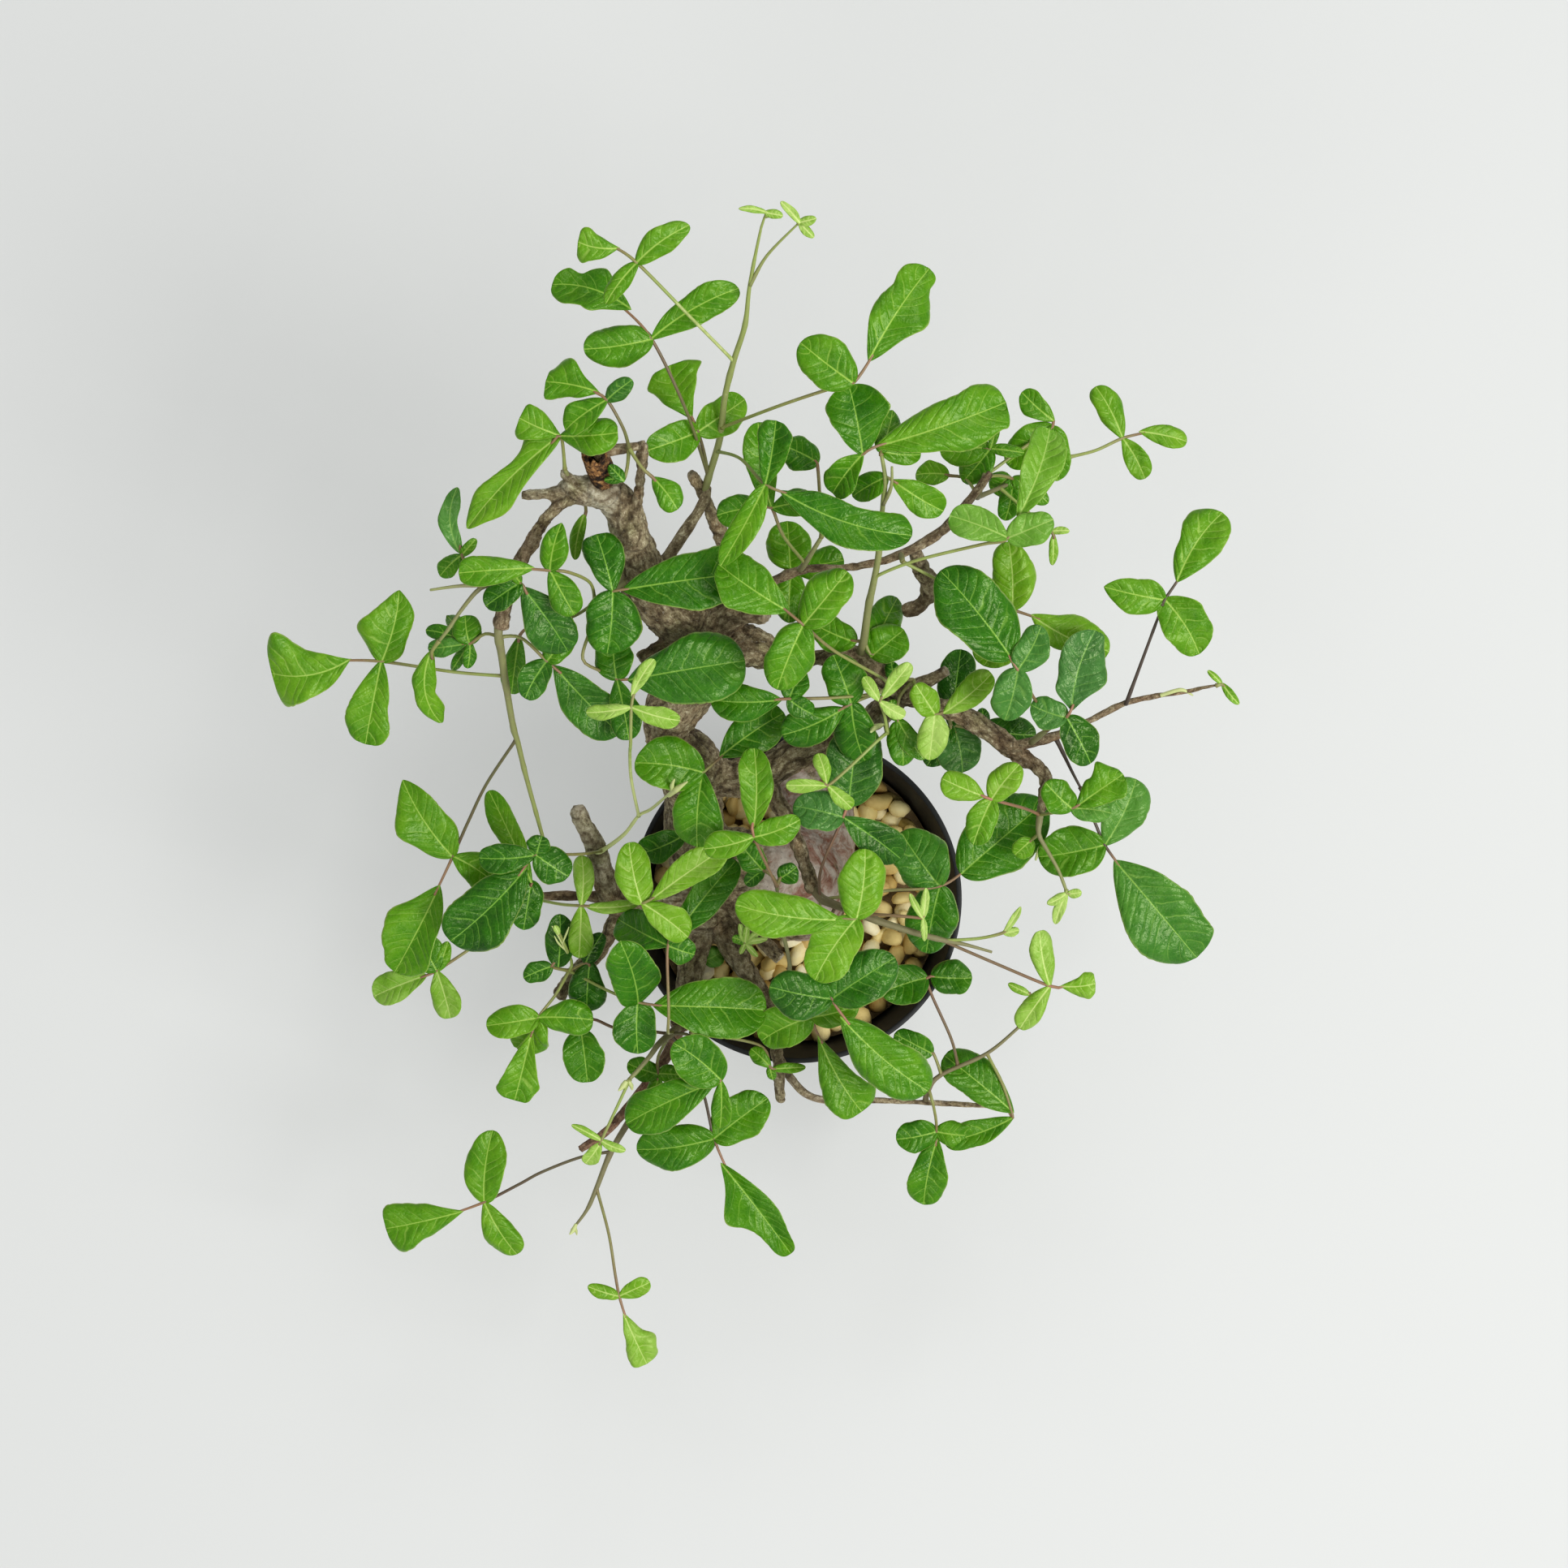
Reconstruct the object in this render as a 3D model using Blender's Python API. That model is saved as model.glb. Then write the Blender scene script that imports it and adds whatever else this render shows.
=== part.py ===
"""A caudex plant, Commiphora orbicularis, in its round nursery pot.

The pot is a thin tapered shell with a collar and drain holes. It is filled with coarse
gravel. A swollen caudex stands in a plain hole in the gravel and carries gnarled limbs.
Leafy shoots grow from the limbs, each with its own stem, petioles and three-part leaves.

Units are metres. The origin is the centre of the pot's underside, with +Z up. The pot's
sizes are real sizes. Stems and leaves are placed by where they are seen from straight
above: across and down in the pixels of a 1932-pixel square view, and a height in
millimetres above the surface that the pot stands on.
"""

import math
import random

import bmesh
import bpy
from mathutils import Matrix, Vector
from mathutils.bvhtree import BVHTree

# Pot
POT_HEIGHT = 0.095
POT_RIM_RADIUS = 0.0525
POT_BASE_RADIUS = 0.0400
POT_COLLAR_HEIGHT = 0.0085
POT_COLLAR_STEP = 0.0018
POT_WALL = 0.0016
POT_FLOOR = 0.0022
POT_SIDES = 40
DRAIN_HOLE_RADIUS = 0.0040
DRAIN_HOLE_RING = 0.0250
DRAIN_HOLES = 6

# Gravel filling
GRAVEL_TOP = 0.0845
GRAVEL_GRAIN = 0.0088
GRAVEL_RELIEF = 0.0021
GRAVEL_HOLE_RADIUS = 0.0190
GRAVEL_HOLE_FLOOR = 0.0588

# Clearance kept between pieces that touch
GAP = 0.0003

# View from straight above that the seen places belong to
VIEW_HEIGHT = 1.2000
VIEW_FOCAL_PIXELS = 4276
VIEW_MIDDLE_PIXEL = 966
POT_CENTRE_PIXEL = (982, 1107)

# Shares of a union's faces that are kept when its seams are thinned out
SHOOT_SHARE = 0.66
WOOD_SHARE = 0.75

# Leaf blades and petioles
BLADE_THICKNESS = 0.00075
BLADE_FOLD = math.radians(13)
BLADE_ROLL = math.radians(11)
BLADE_ARCH = 0.045
PETIOLE_RADIUS = 0.00078
PETIOLE_SIDES = 3
STEM_SIDES = 5
LEAST_BLADE_PIXELS = 12
SMALL_BLADE_PIXELS = 29
LARGE_BLADE_PIXELS = 64
BLADE_SINK = 0.0005
JOINT_REACH = 0.0050

# Outline of a blade: how its half width starts from the base and closes at the tip
ROUND = (0.52, 0.50)
OBOVATE = (0.85, 0.46)
LONG = (0.62, 0.55)
FAN = (1.10, 0.26)

# Wood: limbs as (across, down, height mm, radius mm)
CAUDEX = [
    (990, 1108, 61, 11.5), (988, 1104, 72, 14.5), (984, 1098, 82, 16.4), (979, 1090, 91, 17.3),
    (968, 1074, 102, 16.8), (950, 1050, 113, 14.2), (926, 1014, 127, 11.6), (898, 975, 141, 10.3),
    (872, 944, 150, 9.0),
]
LEFT_LOBE = [
    (955, 1095, 98, 10.5), (900, 1082, 102, 11.5), (850, 1058, 108, 10.8), (824, 1010, 122, 9.0),
    (826, 952, 140, 8.2), (838, 918, 154, 7.8),
]
LIMBS = {
    "hook": [
        (895, 972, 142, 10.0), (862, 935, 152, 9.0), (832, 900, 160, 8.6), (842, 850, 170, 8.4),
        (868, 798, 179, 9.8), (850, 768, 186, 10.2), (815, 742, 194, 8.8), (790, 705, 201, 6.9),
        (776, 655, 209, 5.6), (765, 622, 215, 5.2), (742, 606, 220, 5.0), (710, 603, 222, 4.0),
        (697, 590, 223, 2.4),
    ],
    "hook_stub": [(718, 603, 222, 3.4), (675, 608, 221, 1.9), (643, 611, 219, 1.4)],
    "hook_lower": [
        (712, 604, 222, 2.8), (672, 640, 220, 2.1), (648, 680, 218, 1.8), (632, 712, 217, 1.8),
        (616, 772, 213, 2.2),
    ],
    "hook_cut": [(745, 610, 218, 4.2), (740, 592, 227, 3.9), (736, 572, 234, 3.7)],
    "hook_twig": [(744, 592, 226, 2.0), (765, 553, 229, 1.6), (796, 545, 230, 1.3)],
    "upright_twig": [(779, 655, 211, 2.4), (787, 606, 222, 1.8), (792, 553, 230, 1.5)],
    "left_stub": [(858, 785, 182, 4.4), (822, 795, 188, 2.6), (787, 812, 189, 1.8)],
    "ringed_stub": [(880, 768, 187, 5.0), (915, 753, 193, 3.7), (945, 757, 196, 3.2)],
    "dark_twig": [
        (876, 765, 187, 3.6), (893, 700, 191, 2.4), (890, 665, 195, 2.0), (867, 610, 203, 1.9),
        (851, 584, 208, 1.5),
    ],
    "low_twig": [(800, 722, 196, 2.8), (822, 688, 199, 1.9), (864, 624, 200, 1.6)],
    "right_limb": [
        (905, 965, 144, 8.0), (940, 948, 148, 6.6), (985, 925, 152, 5.6), (1030, 905, 156, 4.8),
        (1075, 885, 162, 4.2), (1108, 855, 172, 3.8),
    ],
    "cross_limb": [
        (885, 790, 181, 8.0), (925, 798, 183, 6.2), (955, 808, 183, 4.2), (1000, 812, 183, 2.7),
        (1050, 806, 182, 3.2), (1085, 832, 179, 3.6), (1108, 852, 174, 3.8), (1150, 868, 169, 3.0),
        (1190, 884, 167, 3.1), (1230, 910, 166, 3.8), (1254, 927, 165, 3.4), (1288, 956, 164, 2.2),
        (1284, 1000, 163, 1.4),
    ],
    "bud_stub": [(1112, 852, 174, 2.6), (1145, 838, 179, 1.9), (1166, 826, 182, 1.6)],
    "far_right": [
        (1240, 922, 165, 2.8), (1300, 907, 168, 2.2), (1350, 884, 171, 1.7), (1390, 865, 174, 1.4),
        (1430, 857, 176, 1.1), (1470, 850, 179, 1.0), (1505, 843, 181, 0.9),
    ],
    "high_right": [
        (900, 778, 184, 4.5), (935, 728, 194, 2.2), (990, 702, 199, 1.7), (1040, 700, 202, 1.6),
        (1090, 690, 203, 1.7), (1140, 668, 203, 2.1), (1175, 640, 201, 1.8), (1220, 583, 197, 1.5),
    ],
    "gnarl": [
        (1126, 676, 202, 2.0), (1134, 700, 194, 2.8), (1146, 722, 188, 2.9), (1136, 745, 184, 2.6),
        (1114, 752, 182, 2.2),
    ],
    "left_limb": [
        (905, 1105, 99, 8.6), (868, 1125, 103, 7.6), (830, 1118, 106, 6.0), (790, 1118, 110, 5.0),
        (761, 1111, 114, 4.7), (746, 1085, 119, 4.1), (734, 1045, 127, 3.2), (722, 1020, 133, 2.7),
        (711, 997, 139, 2.4),
    ],
    "left_twig": [(765, 1110, 114, 2.6), (720, 1104, 116, 1.6), (666, 1104, 117, 1.4)],
    "spur_twig": [
        (768, 1118, 113, 3.4), (752, 1150, 112, 2.6), (732, 1178, 114, 2.2), (705, 1202, 115, 2.3),
        (689, 1228, 115, 1.9),
    ],
    "front_limb": [
        (872, 1120, 102, 6.8), (858, 1160, 101, 5.0), (851, 1200, 103, 3.9), (846, 1240, 108, 3.2),
        (836, 1266, 111, 3.2),
    ],
    "peeling_twig": [
        (838, 1262, 111, 2.6), (822, 1300, 106, 2.2), (790, 1345, 103, 2.0), (748, 1393, 101, 1.7),
        (715, 1416, 101, 1.4),
    ],
    "front_right": [
        (890, 1140, 101, 5.0), (915, 1190, 101, 3.0), (945, 1230, 102, 2.4), (956, 1290, 102, 1.9),
        (962, 1357, 99, 1.5),
    ],
    "trailing_branch": [
        (956, 1292, 101, 1.9), (974, 1328, 96, 2.4), (1008, 1354, 92, 1.9), (1090, 1356, 88, 1.5),
        (1170, 1360, 85, 1.4), (1240, 1364, 82, 1.1),
    ],
    "cut_stub": [(905, 1118, 106, 3.6), (935, 1155, 114, 2.0), (962, 1181, 117, 1.8)],
    "front_arm": [
        (925, 968, 144, 4.2), (952, 985, 149, 2.9), (975, 1018, 151, 2.3), (990, 1060, 152, 2.0),
        (1003, 1098, 152, 2.1),
    ],
}
LIMB_SIDES = 6
TRUNK_SIDES = 10
WOOD_ROUGHNESS = 0.09

# Leafy shoots. A stem is a list of (across, down, height mm, radius mm) and starts in wood.
# A leaf is its petiole, as (across, down, height mm) from the stem to the leaf's joint, and
# its leaflets: base across, base down, tip across, tip down, rise mm, width, outline.
SHOOTS = {
    "shoot_tall": {
        "stems": [
            [(867, 610, 203, 1.5), (873, 588, 208, 1.3), (887, 540, 217, 1.3), (893, 490, 226, 1.2),
             (904, 445, 234, 1.2), (918, 400, 242, 1.1), (924, 350, 249, 1.0), (938, 280, 259, 0.8),
             (944, 265, 261, 0.7)],
            [(924, 352, 249, 0.9), (945, 315, 254, 0.8), (984, 275, 260, 0.7)],
        ],
        "leaves": [
            ([(904, 445, 234), (850, 390, 249), (785, 324, 256)],
             [(762, 305, 712, 298, 2, 40, FAN), (788, 320, 848, 280, 3, 30, LONG),
              (779, 327, 746, 375, -4, 24, LONG)]),
            ([(873, 588, 208), (845, 505, 229), (803, 418, 240)],
             [(776, 381, 680, 350, -2, 50, OBOVATE), (797, 418, 719, 430, 2, 50, ROUND),
              (814, 410, 910, 355, 4, 42, OBOVATE)]),
            ([(873, 588, 208), (868, 560, 222), (860, 532, 230)],
             [(853, 516, 825, 450, 2, 60, FAN), (854, 532, 797, 555, 6, 48, ROUND),
              (866, 530, 918, 492, 3, 50, OBOVATE)]),
            ([(889, 527, 220), (960, 500, 236), (1020, 480, 244), (1051, 472, 247)],
             [(1071, 444, 1148, 345, -3, 65, OBOVATE), (1052, 470, 986, 422, 2, 60, ROUND)]),
            ([(882, 556, 214), (912, 565, 225), (943, 597, 233)],
             [(958, 607, 1124, 655, -1, 62, OBOVATE), (943, 592, 955, 518, 5, 45, OBOVATE),
              (940, 601, 888, 697, -3, 35, LONG)]),
            ([(944, 267, 261), (944, 262, 262)],
             [(944, 262, 912, 258, 2, 7, LONG), (945, 263, 978, 272, 1, 7, LONG)]),
            ([(983, 276, 260), (985, 274, 260)],
             [(985, 274, 963, 248, 3, 7, LONG), (985, 274, 1006, 271, 1, 8, LONG),
              (985, 274, 1004, 294, -2, 7, LONG)]),
        ],
    },
    "spray_top_left": {
        "stems": [[(772, 552, 229, 1.0), (775, 552, 236, 0.9)]],
        "leaves": [
            ([(775, 552, 236), (768, 528, 243), (748, 493, 247)],
             [(738, 484, 672, 470, -2, 55, FAN), (742, 493, 696, 530, -3, 38, OBOVATE),
              (748, 500, 779, 468, 3, 25, LONG)]),
            ([(775, 552, 236), (778, 575, 237), (786, 598, 236)],
             [(786, 598, 812, 628, -2, 26, OBOVATE), (784, 594, 748, 582, 2, 16, OBOVATE)]),
        ],
    },
    "spray_nub": {
        "stems": [[(704, 598, 222, 1.0), (696, 578, 230, 0.9)]],
        "leaves": [
            ([(696, 578, 230), (691, 537, 239)],
             [(690, 537, 575, 651, -8, 35, LONG), (695, 538, 762, 540, 5, 45, ROUND),
              (683, 532, 640, 515, 2, 45, FAN)]),
        ],
    },
    "spray_low_left": {
        "stems": [
            [(632, 712, 217, 1.2), (600, 721, 219, 1.0), (586, 730, 219, 0.9), (566, 755, 217, 0.8),
             (552, 776, 216, 0.8), (541, 790, 214, 0.8)],
            [(601, 721, 219, 0.8), (566, 722, 222, 0.7), (530, 727, 224, 0.6)],
        ],
        "leaves": [
            ([(541, 790, 214), (532, 803, 212)], [(532, 803, 544, 892, -14, 30, LONG)]),
            ([(594, 724, 219), (578, 702, 220), (569, 684, 221)],
             [(567, 680, 563, 600, -1, 25, LONG), (566, 684, 542, 710, -4, 25, OBOVATE),
              (572, 682, 587, 664, 0, 14, ROUND)]),
            ([(618, 716, 218), (626, 719, 221), (641, 718, 223)],
             [(644, 724, 700, 803, -10, 60, OBOVATE), (641, 720, 598, 747, -2, 38, ROUND),
              (643, 716, 628, 701, 3, 14, ROUND)]),
        ],
    },
    "spray_fork": {
        "stems": [[(782, 706, 201, 1.5), (762, 722, 207, 1.1), (733, 742, 209, 1.1)]],
        "leaves": [
            ([(733, 742, 209), (755, 729, 217)],
             [(768, 727, 930, 705, 0, 75, OBOVATE), (755, 733, 748, 806, -5, 70, ROUND),
              (753, 725, 735, 658, 1, 48, OBOVATE)]),
            ([(733, 742, 209), (727, 718, 217), (700, 705, 225), (678, 703, 227)],
             [(655, 700, 565, 706, 3, 38, OBOVATE), (677, 698, 692, 646, 1, 34, OBOVATE),
              (680, 706, 708, 758, -3, 40, OBOVATE)]),
            ([(733, 742, 209), (727, 775, 207), (718, 812, 205), (740, 827, 204), (760, 837, 203)],
             [(775, 838, 918, 814, 1, 88, OBOVATE), (760, 833, 756, 782, 1, 48, ROUND),
              (762, 842, 775, 912, -1, 40, OBOVATE)]),
            ([(733, 742, 209), (705, 760, 204), (655, 772, 198), (641, 782, 194)],
             [(640, 784, 630, 856, -12, 32, OBOVATE)]),
        ],
    },
    "shoot_left": {
        "stems": [
            [(615, 768, 213, 1.8), (614, 782, 211, 1.6), (618, 806, 205, 1.5), (622, 835, 198, 1.4),
             (632, 894, 182, 1.3), (638, 915, 176, 1.2), (648, 956, 166, 1.1), (662, 1007, 154, 1.0),
             (670, 1036, 148, 0.9)],
        ],
        "leaves": [
            ([(615, 785, 210), (642, 786, 208), (674, 815, 206)],
             [(683, 821, 765, 905, -12, 62, OBOVATE), (670, 818, 647, 861, -3, 38, ROUND),
              (676, 812, 703, 780, 2, 34, ROUND)]),
            ([(622, 833, 198), (560, 828, 198), (470, 815, 197)],
             [(431, 812, 334, 830, -3, 92, FAN), (468, 807, 490, 728, 2, 58, OBOVATE),
              (468, 818, 447, 917, -5, 54, OBOVATE)]),
            ([(615, 785, 210), (598, 781, 206), (579, 793, 203)],
             [(574, 793, 527, 799, -2, 24, OBOVATE), (578, 791, 573, 758, 1, 37, ROUND),
              (578, 796, 576, 824, -3, 17, LONG), (566, 800, 557, 826, -8, 15, LONG),
              (564, 785, 524, 776, -4, 20, OBOVATE), (566, 778, 550, 758, -9, 22, ROUND)]),
            ([(636, 911, 177), (600, 965, 166), (578, 1010, 157), (558, 1055, 150)],
             [(541, 1092, 486, 1198, -8, 68, OBOVATE), (545, 1053, 496, 961, 4, 62, ROUND),
              (563, 1059, 612, 1090, -4, 44, OBOVATE)]),
        ],
    },
    "spray_stub": {
        "stems": [
            [(733, 1050, 127, 1.3), (742, 1048, 133, 1.1), (769, 1028, 141, 1.0), (787, 1005, 149, 0.9),
             (802, 997, 153, 0.9), (825, 978, 162, 0.8), (840, 969, 171, 0.6)],
        ],
        "leaves": [
            ([(787, 1005, 149), (778, 962, 178), (776, 931, 200), (777, 914, 211), (778, 871, 215)],
             [(779, 857, 806, 812, 2, 18, OBOVATE), (775, 870, 722, 878, -1, 20, OBOVATE),
              (781, 871, 838, 888, 0, 26, OBOVATE)]),
            ([(742, 1048, 133), (720, 1052, 146), (690, 1053, 155), (661, 1053, 159)],
             [(648, 1070, 555, 1160, -3, 78, OBOVATE), (657, 1050, 590, 1057, 1, 38, OBOVATE),
              (663, 1055, 701, 1080, -3, 46, ROUND), (662, 1050, 668, 1030, 2, 30, ROUND)]),
        ],
    },
    "spray_twig_end": {
        "stems": [[(672, 1104, 117, 1.2), (656, 1107, 121, 1.1)]],
        "leaves": [
            ([(656, 1107, 121), (690, 1114, 128), (716, 1116, 132)],
             [(724, 1117, 788, 1113, 2, 16, LONG), (717, 1111, 717, 1054, 2, 27, OBOVATE),
              (717, 1121, 713, 1181, -3, 32, OBOVATE)]),
            ([(656, 1107, 121), (655, 1088, 133)],
             [(655, 1086, 645, 1146, -4, 40, ROUND), (650, 1080, 602, 974, 0, 36, OBOVATE)]),
            ([(656, 1107, 121), (618, 1142, 126), (575, 1172, 130), (538, 1196, 131)],
             [(525, 1202, 460, 1228, -3, 40, OBOVATE), (535, 1193, 507, 1147, 2, 44, ROUND),
              (539, 1203, 555, 1255, -4, 36, OBOVATE), (553, 1196, 552, 1160, 1, 18, LONG)]),
        ],
    },
    "spray_spur": {
        "stems": [[(706, 1200, 115, 1.4), (701, 1196, 120, 1.2)]],
        "leaves": [
            ([(701, 1196, 120), (752, 1222, 127), (786, 1235, 131)],
             [(806, 1239, 945, 1245, -5, 78, OBOVATE), (784, 1230, 765, 1161, 18, 62, ROUND),
              (786, 1243, 786, 1299, -4, 54, ROUND)]),
            ([(701, 1196, 120), (685, 1225, 123), (663, 1254, 125)],
             [(656, 1269, 634, 1356, -4, 46, FAN), (656, 1253, 599, 1264, 1, 40, ROUND),
              (669, 1254, 731, 1257, 1, 44, OBOVATE), (664, 1248, 636, 1292, -7, 52, ROUND)]),
            ([(701, 1196, 120), (679, 1191, 125)],
             [(688, 1190, 690, 1126, 2, 38, ROUND), (677, 1193, 645, 1205, -1, 27, ROUND)]),
            ([(701, 1196, 120), (722, 1186, 124)],
             [(727, 1184, 723, 1246, -4, 48, OBOVATE), (726, 1180, 742, 1150, 3, 26, ROUND)]),
            ([(701, 1196, 120), (704, 1184, 125), (688, 1148, 134)],
             [(688, 1150, 683, 1140, 2, 8, LONG)]),
        ],
    },
    "spray_bright": {
        "stems": [[(776, 1119, 112, 1.3), (778, 1111, 121, 1.1), (781, 1105, 139, 1.0)]],
        "leaves": [
            ([(781, 1105, 139), (791, 1113, 152)],
             [(802, 1109, 896, 1043, 5, 40, OBOVATE), (786, 1108, 775, 1038, 3, 45, ROUND),
              (795, 1118, 848, 1155, -3, 42, OBOVATE)]),
        ],
    },
    "spray_knot": {
        "stems": [[(830, 985, 132, 1.4), (839, 982, 149, 1.2), (846, 975, 164, 1.1), (858, 960, 171, 1.0)]],
        "leaves": [
            ([(856, 962, 170), (866, 952, 174)],
             [(888, 932, 966, 878, 1, 56, OBOVATE), (859, 946, 782, 940, 3, 66, ROUND),
              (869, 959, 859, 1044, -6, 64, OBOVATE)]),
            ([(846, 975, 164), (846, 1000, 152), (848, 1022, 144)],
             [(847, 1026, 788, 1052, -3, 38, OBOVATE)]),
        ],
    },
    "spray_inner": {
        "stems": [[(946, 1232, 102, 1.2), (962, 1222, 110, 1.0), (973, 1192, 122, 0.9),
                   (964, 1145, 142, 0.9), (957, 1092, 161, 0.9)]],
        "leaves": [
            ([(957, 1092, 161), (929, 1031, 179)],
             [(928, 1021, 929, 922, 6, 43, OBOVATE), (935, 1028, 986, 1010, 1, 36, ROUND),
              (925, 1032, 867, 1046, -1, 36, OBOVATE)]),
            ([(957, 1092, 161), (952, 1080, 160), (940, 1072, 158)],
             [(940, 1072, 912, 1040, 2, 34, ROUND), (942, 1076, 918, 1090, -2, 20, LONG)]),
            ([(957, 1092, 161), (961, 1082, 160)], [(961, 1082, 982, 1068, 0, 28, ROUND)]),
        ],
    },
    "shoot_front": {
        "stems": [
            [(838, 1264, 111, 1.9), (826, 1274, 116, 1.6), (811, 1287, 119, 1.4), (801, 1301, 120, 1.2),
             (783, 1322, 120, 1.0), (772, 1333, 121, 0.8)],
        ],
        "leaves": [
            ([(830, 1271, 115), (825, 1273, 122), (823, 1270, 136), (824, 1246, 142), (823, 1165, 147)],
             [(830, 1157, 907, 1060, 0, 46, OBOVATE), (818, 1163, 760, 1132, -14, 50, OBOVATE),
              (826, 1163, 856, 1176, -2, 36, ROUND)]),
            ([(826, 1274, 116), (850, 1276, 118), (870, 1300, 124), (888, 1331, 128)],
             [(880, 1334, 771, 1385, -7, 58, OBOVATE), (885, 1328, 830, 1285, 5, 60, ROUND),
              (890, 1337, 887, 1391, -4, 26, OBOVATE)]),
            ([(826, 1274, 116), (845, 1300, 115), (866, 1345, 114), (880, 1403, 112)],
             [(889, 1434, 975, 1546, -8, 48, OBOVATE), (874, 1405, 784, 1417, -3, 56, ROUND),
              (886, 1405, 946, 1353, 2, 58, ROUND)]),
            ([(826, 1274, 116), (811, 1302, 114), (811, 1323, 113)],
             [(811, 1328, 799, 1358, -2, 20, LONG), (807, 1322, 773, 1310, 0, 28, ROUND),
              (815, 1323, 839, 1325, 0, 23, ROUND)]),
            ([(776, 1330, 121), (764, 1356, 120), (741, 1405, 119)],
             [(740, 1408, 721, 1434, -2, 20, OBOVATE), (738, 1403, 704, 1386, 1, 10, LONG),
              (744, 1405, 771, 1418, 0, 12, LONG)]),
            ([(826, 1274, 116), (795, 1270, 115), (759, 1267, 114), (731, 1256, 115), (718, 1265, 115)],
             [(716, 1269, 724, 1334, -3, 52, ROUND)]),
        ],
    },
    "shoot_low": {
        "stems": [
            [(790, 1346, 103, 1.7), (786, 1363, 98, 1.5), (754, 1417, 95, 1.3), (735, 1464, 92, 1.2),
             (723, 1491, 90, 0.9), (705, 1515, 89, 0.6)],
        ],
        "leaves": [
            ([(753, 1419, 95), (715, 1426, 96), (668, 1444, 97), (640, 1459, 97), (597, 1481, 97)],
             [(571, 1492, 475, 1514, -4, 60, FAN), (595, 1477, 607, 1393, 3, 50, ROUND),
              (599, 1492, 637, 1546, -4, 40, OBOVATE)]),
            ([(735, 1464, 92), (750, 1520, 93), (758, 1570, 93), (763, 1597, 93)],
             [(768, 1617, 797, 1681, -5, 38, FAN), (758, 1598, 724, 1585, 1, 18, LONG),
              (767, 1597, 801, 1580, 1, 24, OBOVATE)]),
        ],
    },
    "shoot_right": {
        "stems": [
            [(1000, 1090, 152, 1.8), (1012, 1107, 153, 1.7), (1040, 1119, 153, 1.6),
             (1080, 1134, 153, 1.5), (1130, 1150, 153, 1.4), (1165, 1159, 153, 1.2),
             (1190, 1164, 153, 0.9), (1222, 1173, 152, 0.6)],
        ],
        "leaves": [
            ([(1010, 1105, 153), (1012, 1070, 160), (1039, 1007, 168)],
             [(1046, 992, 1061, 888, 6, 72, ROUND), (1035, 1006, 977, 993, 1, 50, ROUND),
              (1042, 1009, 1110, 1058, -8, 48, OBOVATE)]),
            ([(1040, 1119, 153), (1047, 1126, 160), (1055, 1132, 166)],
             [(1036, 1133, 906, 1115, 3, 57, OBOVATE), (1058, 1128, 1066, 1046, 3, 58, ROUND),
              (1052, 1140, 1004, 1208, -4, 62, ROUND)]),
            ([(1014, 1108, 153), (1050, 1103, 152), (1098, 1097, 150), (1158, 1092, 149)],
             [(1185, 1076, 1288, 988, -2, 82, ROUND), (1157, 1086, 1110, 1025, 0, 68, ROUND),
              (1161, 1098, 1141, 1175, -8, 62, ROUND)]),
            ([(1030, 1115, 153), (1020, 1145, 150), (1020, 1200, 147), (1025, 1231, 147)],
             [(1036, 1253, 1144, 1345, -8, 68, OBOVATE), (1019, 1230, 948, 1216, 3, 60, ROUND),
              (1030, 1229, 1103, 1180, 1, 64, ROUND)]),
            ([(1012, 1107, 153), (1004, 1150, 143), (1000, 1200, 133), (1000, 1253, 127)],
             [(1008, 1276, 1062, 1370, -7, 56, FAN), (992, 1255, 937, 1283, -7, 54, ROUND),
              (1005, 1250, 1058, 1238, 1, 36, ROUND)]),
            ([(1157, 1157, 153), (1224, 1186, 152), (1294, 1215, 151)],
             [(1307, 1215, 1350, 1212, 1, 30, FAN), (1295, 1210, 1281, 1147, 4, 30, OBOVATE),
              (1294, 1222, 1256, 1268, -3, 30, OBOVATE)]),
            ([(1058, 1126, 153), (1100, 1128, 157), (1137, 1131, 159)],
             [(1137, 1131, 1121, 1101, 2, 9, LONG), (1138, 1130, 1141, 1094, 2, 11, LONG),
              (1137, 1133, 1139, 1160, -1, 9, LONG)]),
            ([(1165, 1159, 153), (1208, 1156, 154), (1237, 1149, 155)],
             [(1238, 1147, 1258, 1117, 2, 9, LONG), (1239, 1149, 1256, 1146, -1, 12, ROUND)]),
        ],
    },
    "spray_centre": {
        "stems": [[(1085, 877, 165, 1.6), (1091, 890, 174, 1.3), (1093, 903, 187, 1.1)]],
        "leaves": [
            ([(1093, 903, 187), (1082, 912, 191), (1046, 946, 192), (1020, 968, 192)],
             [(1018, 965, 1008, 928, 2, 20, OBOVATE), (1014, 971, 968, 968, 0, 18, OBOVATE),
              (1023, 971, 1050, 996, -2, 20, OBOVATE)]),
            ([(1093, 903, 187), (1090, 882, 191), (1084, 864, 195)],
             [(1086, 861, 1122, 817, 2, 21, OBOVATE), (1082, 861, 1064, 834, 2, 16, OBOVATE),
              (1087, 864, 1115, 883, -1, 18, OBOVATE)]),
        ],
    },
    "spray_gnarl": {
        "stems": [[(1100, 848, 176, 1.5), (1092, 850, 184, 1.2), (1074, 856, 187, 1.0)]],
        "leaves": [
            ([(1074, 856, 187), (1049, 867, 189)],
             [(1039, 873, 963, 906, -3, 48, OBOVATE), (1046, 862, 1027, 807, 4, 52, ROUND),
              (1051, 871, 1066, 938, -14, 50, ROUND)]),
            ([(1074, 856, 187), (1021, 860, 193), (972, 861, 195)],
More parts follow.
